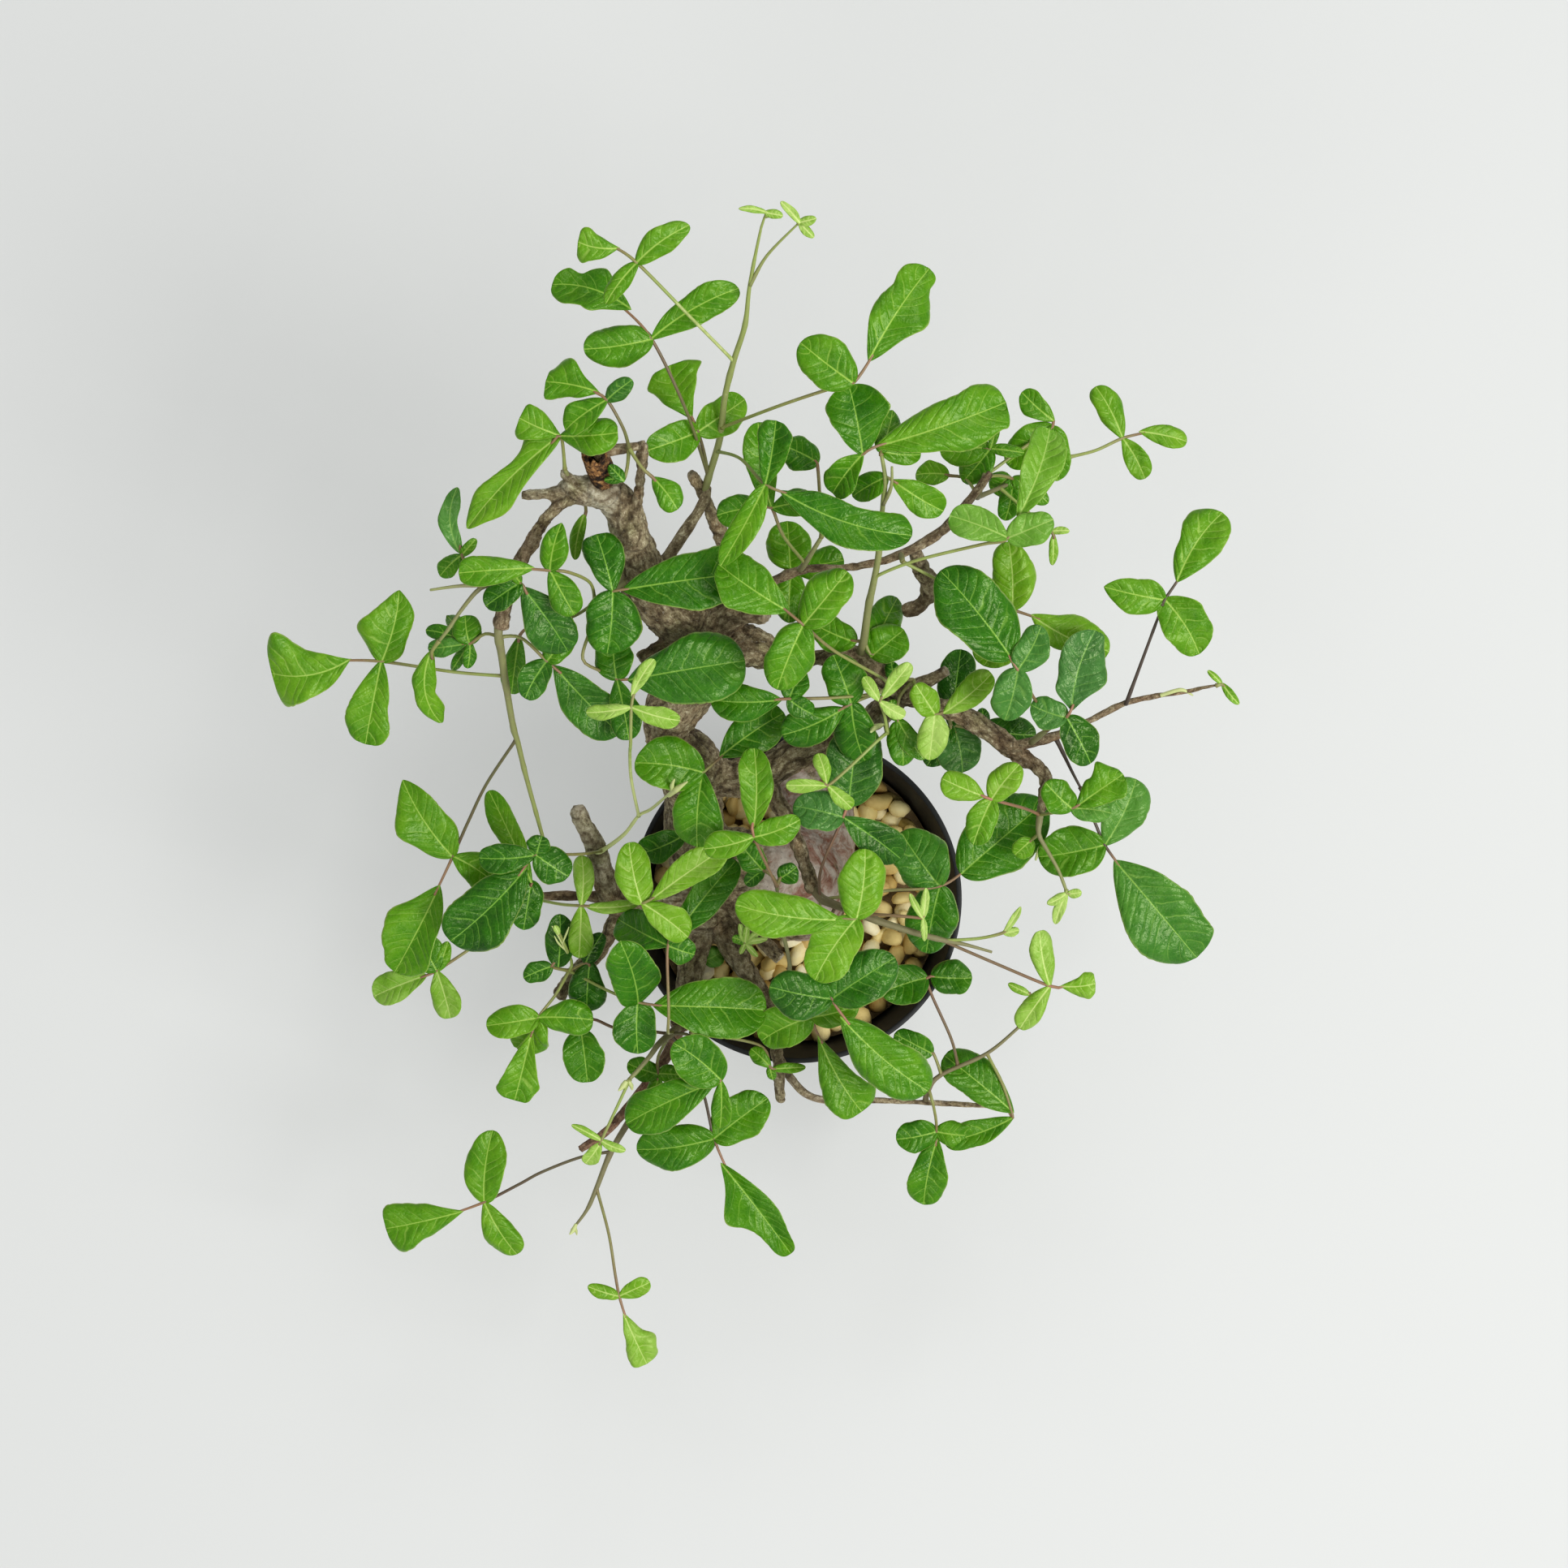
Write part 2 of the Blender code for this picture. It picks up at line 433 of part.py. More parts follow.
             [(962, 862, 875, 862, -3, 48, OBOVATE), (974, 858, 986, 822, 0, 34, ROUND),
              (976, 864, 1002, 880, -2, 28, ROUND)]),
            ([(1092, 850, 184), (1090, 838, 190), (1028, 802, 212), (990, 770, 223)],
             [(971, 753, 885, 695, 2, 62, OBOVATE), (997, 762, 1044, 704, 4, 54, ROUND),
              (985, 774, 957, 850, -6, 58, ROUND)]),
        ],
    },
    "spray_bud": {
        "stems": [[(1118, 846, 174, 1.4), (1125, 838, 182, 1.1)]],
        "leaves": [
            ([(1125, 838, 182), (1135, 860, 184), (1152, 880, 186)],
             [(1163, 878, 1222, 830, 4, 36, OBOVATE), (1151, 877, 1128, 843, 4, 34, ROUND),
              (1153, 884, 1145, 937, -3, 38, ROUND)]),
            ([(1125, 838, 182), (1108, 860, 180), (1106, 886, 178)],
             [(1106, 890, 1113, 944, -3, 38, ROUND), (1108, 889, 1139, 936, -2, 26, LONG),
              (1104, 884, 1098, 862, 2, 20, ROUND)]),
            ([(1125, 838, 182), (1098, 834, 184)], [(1100, 836, 1098, 815, 1, 20, ROUND)]),
        ],
    },
    "spray_shade": {
        "stems": [[(1168, 875, 168, 1.4), (1170, 884, 158, 1.1), (1171, 892, 154, 1.0)]],
        "leaves": [
            ([(1171, 892, 154), (1172, 897, 154)],
             [(1176, 898, 1186, 952, -3, 56, ROUND), (1172, 892, 1184, 800, 2, 46, OBOVATE),
              (1168, 902, 1142, 944, -3, 34, ROUND)]),
            ([(1171, 892, 154), (1195, 898, 154), (1212, 900, 154)],
             [(1212, 899, 1277, 906, -3, 44, ROUND), (1212, 897, 1210, 872, -1, 18, ROUND)]),
        ],
    },
    "shoot_up": {
        "stems": [
            [(1060, 806, 182, 1.9), (1064, 792, 190, 1.6), (1070, 748, 201, 1.5), (1077, 715, 209, 1.4),
             (1083, 680, 215, 1.3), (1088, 620, 223, 1.1), (1091, 592, 226, 1.0), (1086, 560, 228, 0.9)],
            [(1088, 622, 223, 0.8), (1098, 600, 227, 0.7), (1099, 575, 230, 0.6)],
        ],
        "leaves": [
            ([(1076, 718, 208), (1082, 709, 211), (1131, 690, 214), (1209, 671, 217), (1242, 663, 219)],
             [(1254, 637, 1292, 528, -2, 46, OBOVATE), (1238, 661, 1170, 635, 1, 44, OBOVATE),
              (1246, 662, 1298, 640, 2, 42, ROUND)]),
            ([(1091, 591, 226), (1092, 588, 226)],
             [(1100, 592, 1163, 630, -5, 40, OBOVATE), (1087, 591, 1050, 612, -8, 34, ROUND)]),
            ([(1086, 561, 228), (1085, 556, 228)],
             [(1086, 556, 1135, 560, -6, 27, ROUND), (1085, 553, 1100, 505, -4, 30, ROUND)]),
            ([(1065, 790, 190), (1058, 790, 189)], [(1054, 791, 1000, 767, -3, 42, ROUND)]),
            ([(1065, 790, 190), (1072, 806, 189)],
             [(1074, 809, 1114, 776, -2, 50, ROUND), (1072, 790, 1106, 736, -12, 44, ROUND)]),
        ],
    },
    "spray_high": {
        "stems": [[(985, 702, 199, 1.4), (992, 694, 205, 1.1), (1012, 662, 211, 1.0)]],
        "leaves": [
            ([(1012, 662, 211), (1040, 602, 222), (1063, 560, 230)],
             [(1080, 550, 1241, 492, -2, 72, OBOVATE), (1063, 557, 1047, 477, 4, 68, ROUND),
              (1062, 562, 1026, 608, -7, 42, OBOVATE)]),
            ([(992, 694, 205), (965, 660, 212), (951, 626, 216)],
             [(945, 625, 883, 635, -2, 38, OBOVATE), (954, 622, 1004, 616, 1, 36, OBOVATE),
              (951, 620, 934, 520, 2, 40, OBOVATE)]),
            ([(1012, 662, 211), (1010, 610, 212), (1007, 572, 213)],
             [(1007, 570, 962, 548, -1, 42, ROUND)]),
        ],
    },
    "spray_under": {
        "stems": [[(948, 720, 195, 1.3), (958, 712, 186, 1.1), (968, 704, 180, 1.0)]],
        "leaves": [
            ([(968, 704, 180), (975, 702, 178)],
             [(974, 700, 970, 642, 3, 56, ROUND), (978, 706, 972, 768, -3, 40, ROUND),
              (982, 702, 1040, 690, 1, 44, OBOVATE)]),
        ],
    },
    "spray_cross": {
        "stems": [[(1110, 681, 203, 1.3), (1112, 692, 207, 1.1)]],
        "leaves": [
            ([(1112, 692, 207), (1153, 713, 202), (1190, 731, 196), (1247, 751, 190)],
             [(1272, 758, 1368, 796, -5, 46, OBOVATE), (1250, 745, 1243, 667, 3, 54, ROUND),
              (1246, 757, 1212, 821, -6, 50, OBOVATE)]),
        ],
    },
    "spray_far_up": {
        "stems": [
            [(1204, 606, 199, 1.4), (1205, 612, 193, 1.1), (1212, 588, 189, 1.0), (1220, 553, 189, 0.9)],
            [(1205, 612, 193, 1.0), (1232, 601, 182, 0.9), (1318, 563, 170, 0.8)],
        ],
        "leaves": [
            ([(1218, 560, 189), (1220, 553, 190)],
             [(1218, 552, 1158, 556, -3, 42, ROUND), (1217, 560, 1186, 594, -5, 40, ROUND),
              (1226, 552, 1262, 558, 1, 17, LONG), (1221, 549, 1228, 516, 3, 12, LONG)]),
            ([(1212, 588, 189), (1255, 556, 188), (1297, 526, 188)],
             [(1298, 518, 1259, 483, 2, 30, OBOVATE), (1300, 530, 1303, 593, -5, 42, ROUND),
              (1289, 532, 1240, 572, -5, 46, ROUND)]),
            ([(1212, 588, 189), (1232, 586, 184), (1248, 590, 181)],
             [(1244, 588, 1222, 606, -3, 34, ROUND), (1248, 594, 1238, 642, -5, 30, ROUND),
              (1252, 596, 1292, 620, -3, 26, ROUND)]),
            ([(1205, 612, 193), (1190, 590, 185), (1170, 586, 182)],
             [(1168, 585, 1128, 585, -3, 30, ROUND)]),
            ([(1318, 563, 170), (1350, 555, 166), (1383, 540, 164)],
             [(1405, 532, 1463, 544, -2, 28, OBOVATE), (1381, 531, 1350, 476, 2, 34, OBOVATE),
              (1383, 544, 1411, 590, -3, 30, OBOVATE)]),
            ([(1232, 601, 182), (1268, 632, 184), (1296, 655, 186)],
             [(1298, 660, 1297, 697, -3, 12, LONG), (1300, 652, 1318, 654, 1, 10, LONG)]),
        ],
    },
    "spray_edge": {
        "stems": [[(1268, 917, 166, 1.5), (1284, 904, 173, 1.2), (1290, 900, 174, 1.1)]],
        "leaves": [
            ([(1290, 900, 174), (1284, 878, 186), (1270, 853, 198), (1254, 825, 206)],
             [(1245, 810, 1163, 705, 3, 86, ROUND), (1257, 822, 1283, 771, 2, 42, ROUND),
              (1253, 829, 1238, 888, -5, 50, ROUND)]),
            ([(1290, 900, 174), (1314, 884, 193)],
             [(1321, 874, 1349, 777, 3, 60, FAN), (1312, 880, 1270, 868, 0, 40, ROUND),
              (1318, 888, 1344, 941, -4, 46, ROUND)]),
        ],
    },
    "spray_outer": {
        "stems": [[(1300, 908, 168, 1.4), (1307, 922, 166, 1.1), (1320, 949, 163, 0.9),
                   (1331, 970, 161, 0.9)]],
        "leaves": [
            ([(1331, 970, 161), (1351, 1018, 158), (1361, 1041, 157)],
             [(1374, 1061, 1475, 1180, -6, 92, OBOVATE), (1368, 1036, 1400, 960, 2, 58, OBOVATE),
              (1352, 1043, 1279, 1056, -4, 62, ROUND)]),
        ],
    },
    "spray_far_right": {
        "stems": [[(1388, 866, 174, 1.2), (1392, 855, 178, 1.0), (1435, 739, 190, 0.9)]],
        "leaves": [
            ([(1432, 746, 190), (1435, 739, 190)],
             [(1451, 716, 1509, 634, 1, 60, FAN), (1430, 737, 1362, 723, 1, 46, ROUND),
              (1439, 743, 1478, 806, -3, 58, ROUND)]),
        ],
    },
    "shoot_dropping": {
        "stems": [
            [(1283, 988, 163, 1.4), (1281, 1008, 164, 1.3), (1280, 1028, 164, 1.0), (1290, 1047, 163, 0.9),
             (1304, 1072, 162, 0.8), (1314, 1098, 161, 0.7)],
        ],
        "leaves": [
            ([(1281, 1004, 164), (1262, 996, 171), (1222, 985, 178)],
             [(1212, 981, 1160, 959, 1, 36, OBOVATE), (1224, 982, 1256, 942, 3, 37, ROUND),
              (1221, 989, 1199, 1041, -3, 38, ROUND)]),
            ([(1281, 1004, 164), (1300, 1001, 172), (1321, 996, 177)],
             [(1328, 993, 1384, 954, 2, 44, OBOVATE), (1318, 993, 1288, 964, 3, 41, ROUND),
              (1325, 998, 1369, 1002, -2, 31, ROUND)]),
            ([(1280, 1028, 164), (1272, 1034, 160)], [(1271, 1035, 1250, 1054, -3, 27, ROUND)]),
            ([(1314, 1096, 161), (1314, 1101, 161)],
             [(1317, 1101, 1333, 1099, 1, 12, ROUND), (1312, 1104, 1290, 1114, 0, 12, LONG),
              (1313, 1106, 1300, 1139, -2, 14, LONG)]),
        ],
    },
    "spray_trailing": {
        "stems": [
            [(1140, 1358, 86, 1.3), (1144, 1342, 90, 1.1), (1160, 1324, 91, 1.0), (1216, 1298, 92, 0.9),
             (1255, 1266, 93, 0.8)],
        ],
        "leaves": [
            ([(1144, 1342, 90), (1149, 1358, 91), (1153, 1378, 86), (1154, 1394, 82)],
             [(1155, 1404, 1138, 1485, -5, 48, OBOVATE), (1150, 1398, 1104, 1404, 0, 40, ROUND),
              (1159, 1395, 1200, 1399, 1, 33, ROUND)]),
            ([(1216, 1298, 92), (1236, 1338, 87), (1248, 1377, 84)],
             [(1248, 1370, 1164, 1301, 3, 52, OBOVATE), (1246, 1385, 1163, 1407, -3, 34, OBOVATE)]),
            ([(1180, 1312, 91), (1172, 1280, 95), (1148, 1226, 99), (1142, 1205, 100)],
             [(1148, 1203, 1198, 1205, -1, 44, ROUND), (1138, 1209, 1086, 1224, 3, 50, ROUND)]),
            ([(1160, 1324, 91), (1150, 1298, 92)], [(1148, 1298, 1102, 1274, 1, 34, ROUND)]),
            ([(1255, 1266, 93), (1270, 1228, 93)], [(1268, 1225, 1242, 1212, 1, 11, LONG)]),
        ],
    },
    "sprout": {
        "stems": [[(928, 1150, 114, 1.2), (925, 1163, 119, 1.0), (921, 1165, 121, 0.9)]],
        "leaves": [
            ([(921, 1165, 121), (918, 1162, 123)],
             [(917, 1160, 902, 1155, 1, 13, ROUND), (921, 1158, 911, 1138, 2, 10, LONG),
              (925, 1162, 938, 1146, 1, 9, LONG)]),
        ],
    },
}

MATERIALS = {
    "pot_black": ((0.018, 0.018, 0.019), 0.55),
    "gravel_tan": ((0.56, 0.41, 0.20), 0.85),
    "bark": ((0.20, 0.145, 0.10), 0.80),
    "leaf_green": ((0.085, 0.26, 0.035), 0.38),
}


def clear_scene():
    for item in list(bpy.data.objects):
        bpy.data.objects.remove(item, do_unlink=True)


def make_material(name):
    colour, roughness = MATERIALS[name]
    material = bpy.data.materials.new(name)
    material.use_nodes = True
    shader = material.node_tree.nodes["Principled BSDF"]
    shader.inputs["Base Color"].default_value = (*colour, 1.0)
    shader.inputs["Roughness"].default_value = roughness
    shader.inputs["Metallic"].default_value = 0.0
    return material


def place(across, down, height_mm):
    """Turn a seen place and a height into a point in the pot's own frame."""
    height = height_mm / 1000.0
    rim_scale = (VIEW_HEIGHT - POT_HEIGHT) / VIEW_FOCAL_PIXELS
    pot_x = (POT_CENTRE_PIXEL[0] - VIEW_MIDDLE_PIXEL) * rim_scale
    pot_y = (VIEW_MIDDLE_PIXEL - POT_CENTRE_PIXEL[1]) * rim_scale
    scale = (VIEW_HEIGHT - height) / VIEW_FOCAL_PIXELS
    x = (across - VIEW_MIDDLE_PIXEL) * scale - pot_x
    y = (VIEW_MIDDLE_PIXEL - down) * scale - pot_y
    return Vector((x, y, height))


def object_from(name, mesh, material=None):
    item = bpy.data.objects.new(name, mesh)
    bpy.context.scene.collection.objects.link(item)
    if material is not None:
        mesh.materials.append(material)
    return item


def mesh_from(name, points, faces):
    mesh = bpy.data.meshes.new(name)
    mesh.from_pydata([tuple(p) for p in points], [], faces)
    mesh.validate()
    shell = bmesh.new()
    shell.from_mesh(mesh)
    bmesh.ops.recalc_face_normals(shell, faces=shell.faces)
    shell.to_mesh(mesh)
    shell.free()
    return mesh


def smooth_route(points, steps):
    """Rounded route through (place, radius) pairs, with steps pieces between each two."""
    route = []
    last = len(points) - 1
    for i in range(last):
        before = points[max(i - 1, 0)]
        after = points[min(i + 2, last)]
        for k in range(steps):
            t = k / steps
            route.append(between(before, points[i], points[i + 1], after, t))
    route.append(points[last])
    return route


def between(p0, p1, p2, p3, t):
    """Point on the smooth curve from p1 to p2, with its radius."""
    spot = 0.5 * (2 * p1[0] + (p2[0] - p0[0]) * t
                  + (2 * p0[0] - 5 * p1[0] + 4 * p2[0] - p3[0]) * t * t
                  + (3 * p1[0] - p0[0] - 3 * p2[0] + p3[0]) * t ** 3)
    return spot, p1[1] + (p2[1] - p1[1]) * t


def ring(centre, direction, side, radii):
    """Points round a centre, square to a direction, one for each radius."""
    up = direction.cross(side).normalized()
    count = len(radii)
    points = []
    for k, radius in enumerate(radii):
        angle = 2 * math.pi * k / count
        points.append(centre + (side * math.cos(angle) + up * math.sin(angle)) * radius)
    return points


def tube_mesh(name, route, sides, roughness=0.0, seed=0):
    """Closed tube through (place, radius) pairs, its girth varied by the roughness."""
    chance = random.Random(seed)
    points = []
    side = None
    for i, (centre, radius) in enumerate(route):
        ahead = route[min(i + 1, len(route) - 1)][0]
        behind = route[max(i - 1, 0)][0]
        direction = (ahead - behind).normalized()
        if side is None:
            side = direction.orthogonal().normalized()
        side = (side - direction * side.dot(direction)).normalized()
        radii = [radius * (1 + roughness * chance.uniform(-1, 1)) for _ in range(sides)]
        points.extend(ring(centre, direction, side, radii))
    return mesh_from(name, points, tube_faces(len(route), sides))


def tube_faces(rings, sides):
    faces = []
    for i in range(rings - 1):
        for k in range(sides):
            a = i * sides + k
            b = i * sides + (k + 1) % sides
            faces.append((a, b, b + sides, a + sides))
    faces.append(tuple(range(sides)))
    faces.append(tuple(range((rings - 1) * sides, rings * sides)))
    return faces


def blade_half_width(share, outline):
    """Half width of a blade at a share of its length, as a share of its greatest."""
    start, close = outline
    peak = start / (start + close)
    top = peak ** start * (1 - peak) ** close
    return share ** start * (1 - share) ** close / top


def blade_stations(outline, width):
    """Shares of the length at which a blade has its cross ribs."""
    start, close = outline
    peak = start / (start + close)
    if width < SMALL_BLADE_PIXELS:
        return [peak]
    if width < LARGE_BLADE_PIXELS:
        return [peak * 0.55, peak + (1 - peak) * 0.45]
    return [peak * 0.42, peak, peak + (1 - peak) * 0.72]


def lean(across, down):
    """Small roll of a blade, fixed by where its base is seen."""
    return BLADE_ROLL * math.sin(across * 1.7 + down * 2.3)


def blade_mesh(name, base, tip, width, outline, roll, stations):
    """Thin closed blade with a folded midrib, arched along its length."""
    along = tip - base
    length = along.length
    along.normalize()
    across = Vector((0, 0, 1)).cross(along).normalized()
    up = along.cross(across)
    middle = [base]
    left = []
    right = []
    for share in stations:
        spine = base + along * length * share + up * length * BLADE_ARCH * 4 * share * (1 - share)
        half = width / 2 * blade_half_width(share, outline)
        middle.append(spine)
        left.append(spine + across * half + up * half * math.tan(BLADE_FOLD + roll))
        right.append(spine - across * half + up * half * math.tan(BLADE_FOLD - roll))
    middle.append(tip)
    return blade_solid(name, middle, left, right, up * BLADE_THICKNESS / 2)


def blade_solid(name, middle, left, right, lift):
    """Close a blade's two faces, split into triangles alike, with a rim between them."""
    count = len(left)
    sheet = middle + left + right
    first_left = len(middle)
    first_right = first_left + count
    upper = [(0, first_right, 1), (0, 1, first_left)]
    for i in range(count - 1):
        a = i + 1
        upper.append((a, first_right + i, first_right + i + 1))
        upper.append((a, first_right + i + 1, a + 1))
        upper.append((a, a + 1, first_left + i + 1))
        upper.append((a, first_left + i + 1, first_left + i))
    tip = count + 1
    upper.append((count, first_right + count - 1, tip))
    upper.append((count, tip, first_left + count - 1))
    total = len(sheet)
    lower = [(c + total, b + total, a + total) for a, b, c in upper]
    edge = [0] + [first_right + i for i in range(count)] + [tip]
    edge += [first_left + i for i in reversed(range(count))]
    rim = []
    for i, a in enumerate(edge):
        b = edge[(i + 1) % len(edge)]
        rim.append((b, a, a + total))
        rim.append((b, a + total, b + total))
    points = [p + lift for p in sheet] + [p - lift for p in sheet]
    return mesh_from(name, points, upper + lower + rim)


def apply_modifier(item, modifier):
    graph = bpy.context.evaluated_depsgraph_get()
    applied = bpy.data.meshes.new_from_object(item.evaluated_get(graph))
    item.modifiers.remove(modifier)
    item.data = applied


def keep_largest_body(mesh):
    """Drop the scraps and closed pockets that a union can leave."""
    shell = bmesh.new()
    shell.from_mesh(mesh)
    left = set(shell.verts)
    bodies = []
    while left:
        body = {left.pop()}
        edge = list(body)
        while edge:
            near = {link.other_vert(vert) for vert in edge for link in vert.link_edges}
            edge = [vert for vert in near if vert in left]
            left.difference_update(edge)
            body.update(edge)
        bodies.append(body)
    bodies.sort(key=len)
    scraps = [vert for body in bodies[:-1] for vert in body]
    bmesh.ops.delete(shell, geom=scraps, context="VERTS")
    shell.to_mesh(mesh)
    shell.free()


def is_closed(mesh):
    shell = bmesh.new()
    shell.from_mesh(mesh)
    closed = all(edge.is_manifold for edge in shell.edges)
    shell.free()
    return closed


def split_faces(mesh):
    """Split the faces into triangles in a way that keeps every edge between two of them."""
    shell = bmesh.new()
    shell.from_mesh(mesh)
    for _ in range(8):
        trial = shell.copy()
        bmesh.ops.triangulate(trial, faces=trial.faces[:])
        shared = [
            (edge.verts[0].index, edge.verts[1].index)
            for edge in trial.edges if len(edge.link_faces) > 2]
        trial.to_mesh(mesh)
        trial.free()
        if not shared:
            break
        shell.verts.ensure_lookup_table()
        corners = [(shell.verts[first], shell.verts[second]) for first, second in shared]
        for first, second in corners:
            part_face(first, second)
        shell.verts.index_update()
    shell.free()


def part_face(first, second):
    """Part the face that holds both corners along a line with a new point on it."""
    for face in first.link_faces:
        apart = all(second not in edge.verts or first not in edge.verts for edge in face.edges)
        if second in face.verts and apart:
            middle = (first.co + second.co) / 2
            bmesh.utils.face_split(face, first, second, coords=[middle], use_exist=False)
            return


def lighten(item, share):
    """Collapse the slivers along the seams of a union, and keep it closed."""
    whole = item.data
    for extra in (0.0, 0.02, -0.02, 0.04, 0.08, 0.14, 0.20):
        item.data = whole
        thin = item.modifiers.new("Seams", "DECIMATE")
        thin.ratio = share + extra
        apply_modifier(item, thin)
        if is_closed(item.data):
            return
    item.data = whole


def fuse(name, meshes, material, share, solver="MANIFOLD"):
    """Join closed meshes into one object by a single Boolean union on a collection."""
    base = object_from(name, meshes[0])
    others = bpy.data.collections.new(name + "_parts")
    for i, mesh in enumerate(meshes[1:]):
        others.objects.link(bpy.data.objects.new(f"{name}_part_{i}", mesh))
    union = base.modifiers.new("Union", "BOOLEAN")
    union.operation = "UNION"
    union.operand_type = "COLLECTION"
    union.collection = others
    union.solver = solver
    apply_modifier(base, union)
    keep_largest_body(base.data)
    split_faces(base.data)
    lighten(base, share)
    joined = base.data
    for item in list(others.objects):
        bpy.data.objects.remove(item, do_unlink=True)
    bpy.data.collections.remove(others)
    joined.materials.clear()
    joined.materials.append(material)
    return base


def turned_mesh(name, profile, sides):
    """Turn a profile of (radius, height) points about the Z axis, from the axis and back to it."""
    shell = bmesh.new()
    points = [shell.verts.new((radius, 0, height)) for radius, height in profile]
    for first, second in zip(points, points[1:]):
        shell.edges.new((first, second))
    bmesh.ops.spin(
        shell, geom=shell.verts[:] + shell.edges[:], cent=(0, 0, 0), axis=(0, 0, 1),
        angle=2 * math.pi, steps=sides, use_duplicate=False,
    )
    bmesh.ops.remove_doubles(shell, verts=shell.verts, dist=0.00001)
    bmesh.ops.recalc_face_normals(shell, faces=shell.faces)
    mesh = bpy.data.meshes.new(name)
    shell.to_mesh(mesh)
    shell.free()
    return mesh


def wall_radius(height):
    """Outer radius of the pot's tapered wall under its collar, at a height."""
    top_radius = POT_RIM_RADIUS - POT_COLLAR_STEP
    return POT_BASE_RADIUS + (top_radius - POT_BASE_RADIUS) * height / POT_HEIGHT


def make_pot(material):
    """Tapered shell with a collar and a ring of drain holes."""
    collar = POT_HEIGHT - POT_COLLAR_HEIGHT
    profile = [
        (0.0, 0.0),
        (POT_BASE_RADIUS, 0.0),
        (wall_radius(collar), collar),
        (POT_RIM_RADIUS, collar),
        (POT_RIM_RADIUS, POT_HEIGHT),
        (POT_RIM_RADIUS - POT_WALL, POT_HEIGHT),
        (wall_radius(collar) - POT_WALL, collar - POT_WALL),
        (wall_radius(POT_FLOOR) - POT_WALL, POT_FLOOR),
        (0.0, POT_FLOOR),
    ]
    pot = object_from("pot", turned_mesh("pot", profile, POT_SIDES), material)
    cutter_mesh = bpy.data.meshes.new("drain_cutter")
    shell = bmesh.new()
    for k in range(DRAIN_HOLES):
        angle = 2 * math.pi * k / DRAIN_HOLES
        spot = Matrix.Translation((
            DRAIN_HOLE_RING * math.cos(angle), DRAIN_HOLE_RING * math.sin(angle), POT_FLOOR / 2))
        bmesh.ops.create_cone(
            shell, cap_ends=True, segments=10, radius1=DRAIN_HOLE_RADIUS,
            radius2=DRAIN_HOLE_RADIUS, depth=POT_FLOOR * 3, matrix=spot)
    shell.to_mesh(cutter_mesh)
    shell.free()
    cut = object_from("drain_cutter", cutter_mesh)
    holes = pot.modifiers.new("Drain holes", "BOOLEAN")
    holes.operation = "DIFFERENCE"
    holes.object = cut
    cut.hide_render = True
    cut.display_type = "WIRE"
    pot.data.shade_smooth()
    pot.data.set_sharp_from_angle(angle=math.radians(35))


def gravel_radius(height):
    """Radius of the gravel at a height: the pot's inner wall less the gap."""
    return wall_radius(height) - POT_WALL - GAP * 1.5


def gravel_height(x, y):
    """Grain centres of a hexagonal packing stand high and the seams between them low."""
    row_step = GRAVEL_GRAIN * math.sqrt(3) / 2
    row = round(y / row_step)
    shift = GRAVEL_GRAIN / 2 if row % 2 else 0
    column = round((x - shift) / GRAVEL_GRAIN)
    away = math.hypot(x - shift - column * GRAVEL_GRAIN, y - row * row_step)
    crown = math.cos(min(away / GRAVEL_GRAIN, 0.58) * math.pi)
    tilt = 0.0007 * math.sin(x * 90 + 1.0) * math.cos(y * 70)
    size = 0.6 + 0.4 * math.sin(row * 2.4 + column * 4.1)
    return GRAVEL_TOP + tilt + GRAVEL_RELIEF * (crown * (0.6 + 0.4 * size) - 0.4)


def gravel_field():
    """Points of the gravel's top: grain centres and the seams between them."""
    row_step = GRAVEL_GRAIN * math.sqrt(3) / 2
    limit = gravel_radius(GRAVEL_TOP) - GRAVEL_GRAIN * 0.35
    inner = GRAVEL_HOLE_RADIUS + GRAVEL_GRAIN * 0.3
    middle_x, middle_y = hole_centre()
    spots = []
    for row in range(-7, 8):
        for column in range(-8, 9):
            x = column * GRAVEL_GRAIN + (GRAVEL_GRAIN / 2 if row % 2 else 0)
            y = row * row_step
            offsets = [(0, 0), (0, GRAVEL_GRAIN / math.sqrt(3)), (0, -GRAVEL_GRAIN / math.sqrt(3))]
            for dx, dy in offsets:
                far = math.hypot(x + dx, y + dy) < limit
                clear = math.hypot(x + dx - middle_x, y + dy - middle_y) > inner
                if far and clear:
                    spots.append((x + dx, y + dy))
    return spots


def hole_centre():
    """Middle of the plain hole that the caudex stands in."""
    spot = place(*CAUDEX[2][:3])
    return spot.x, spot.y


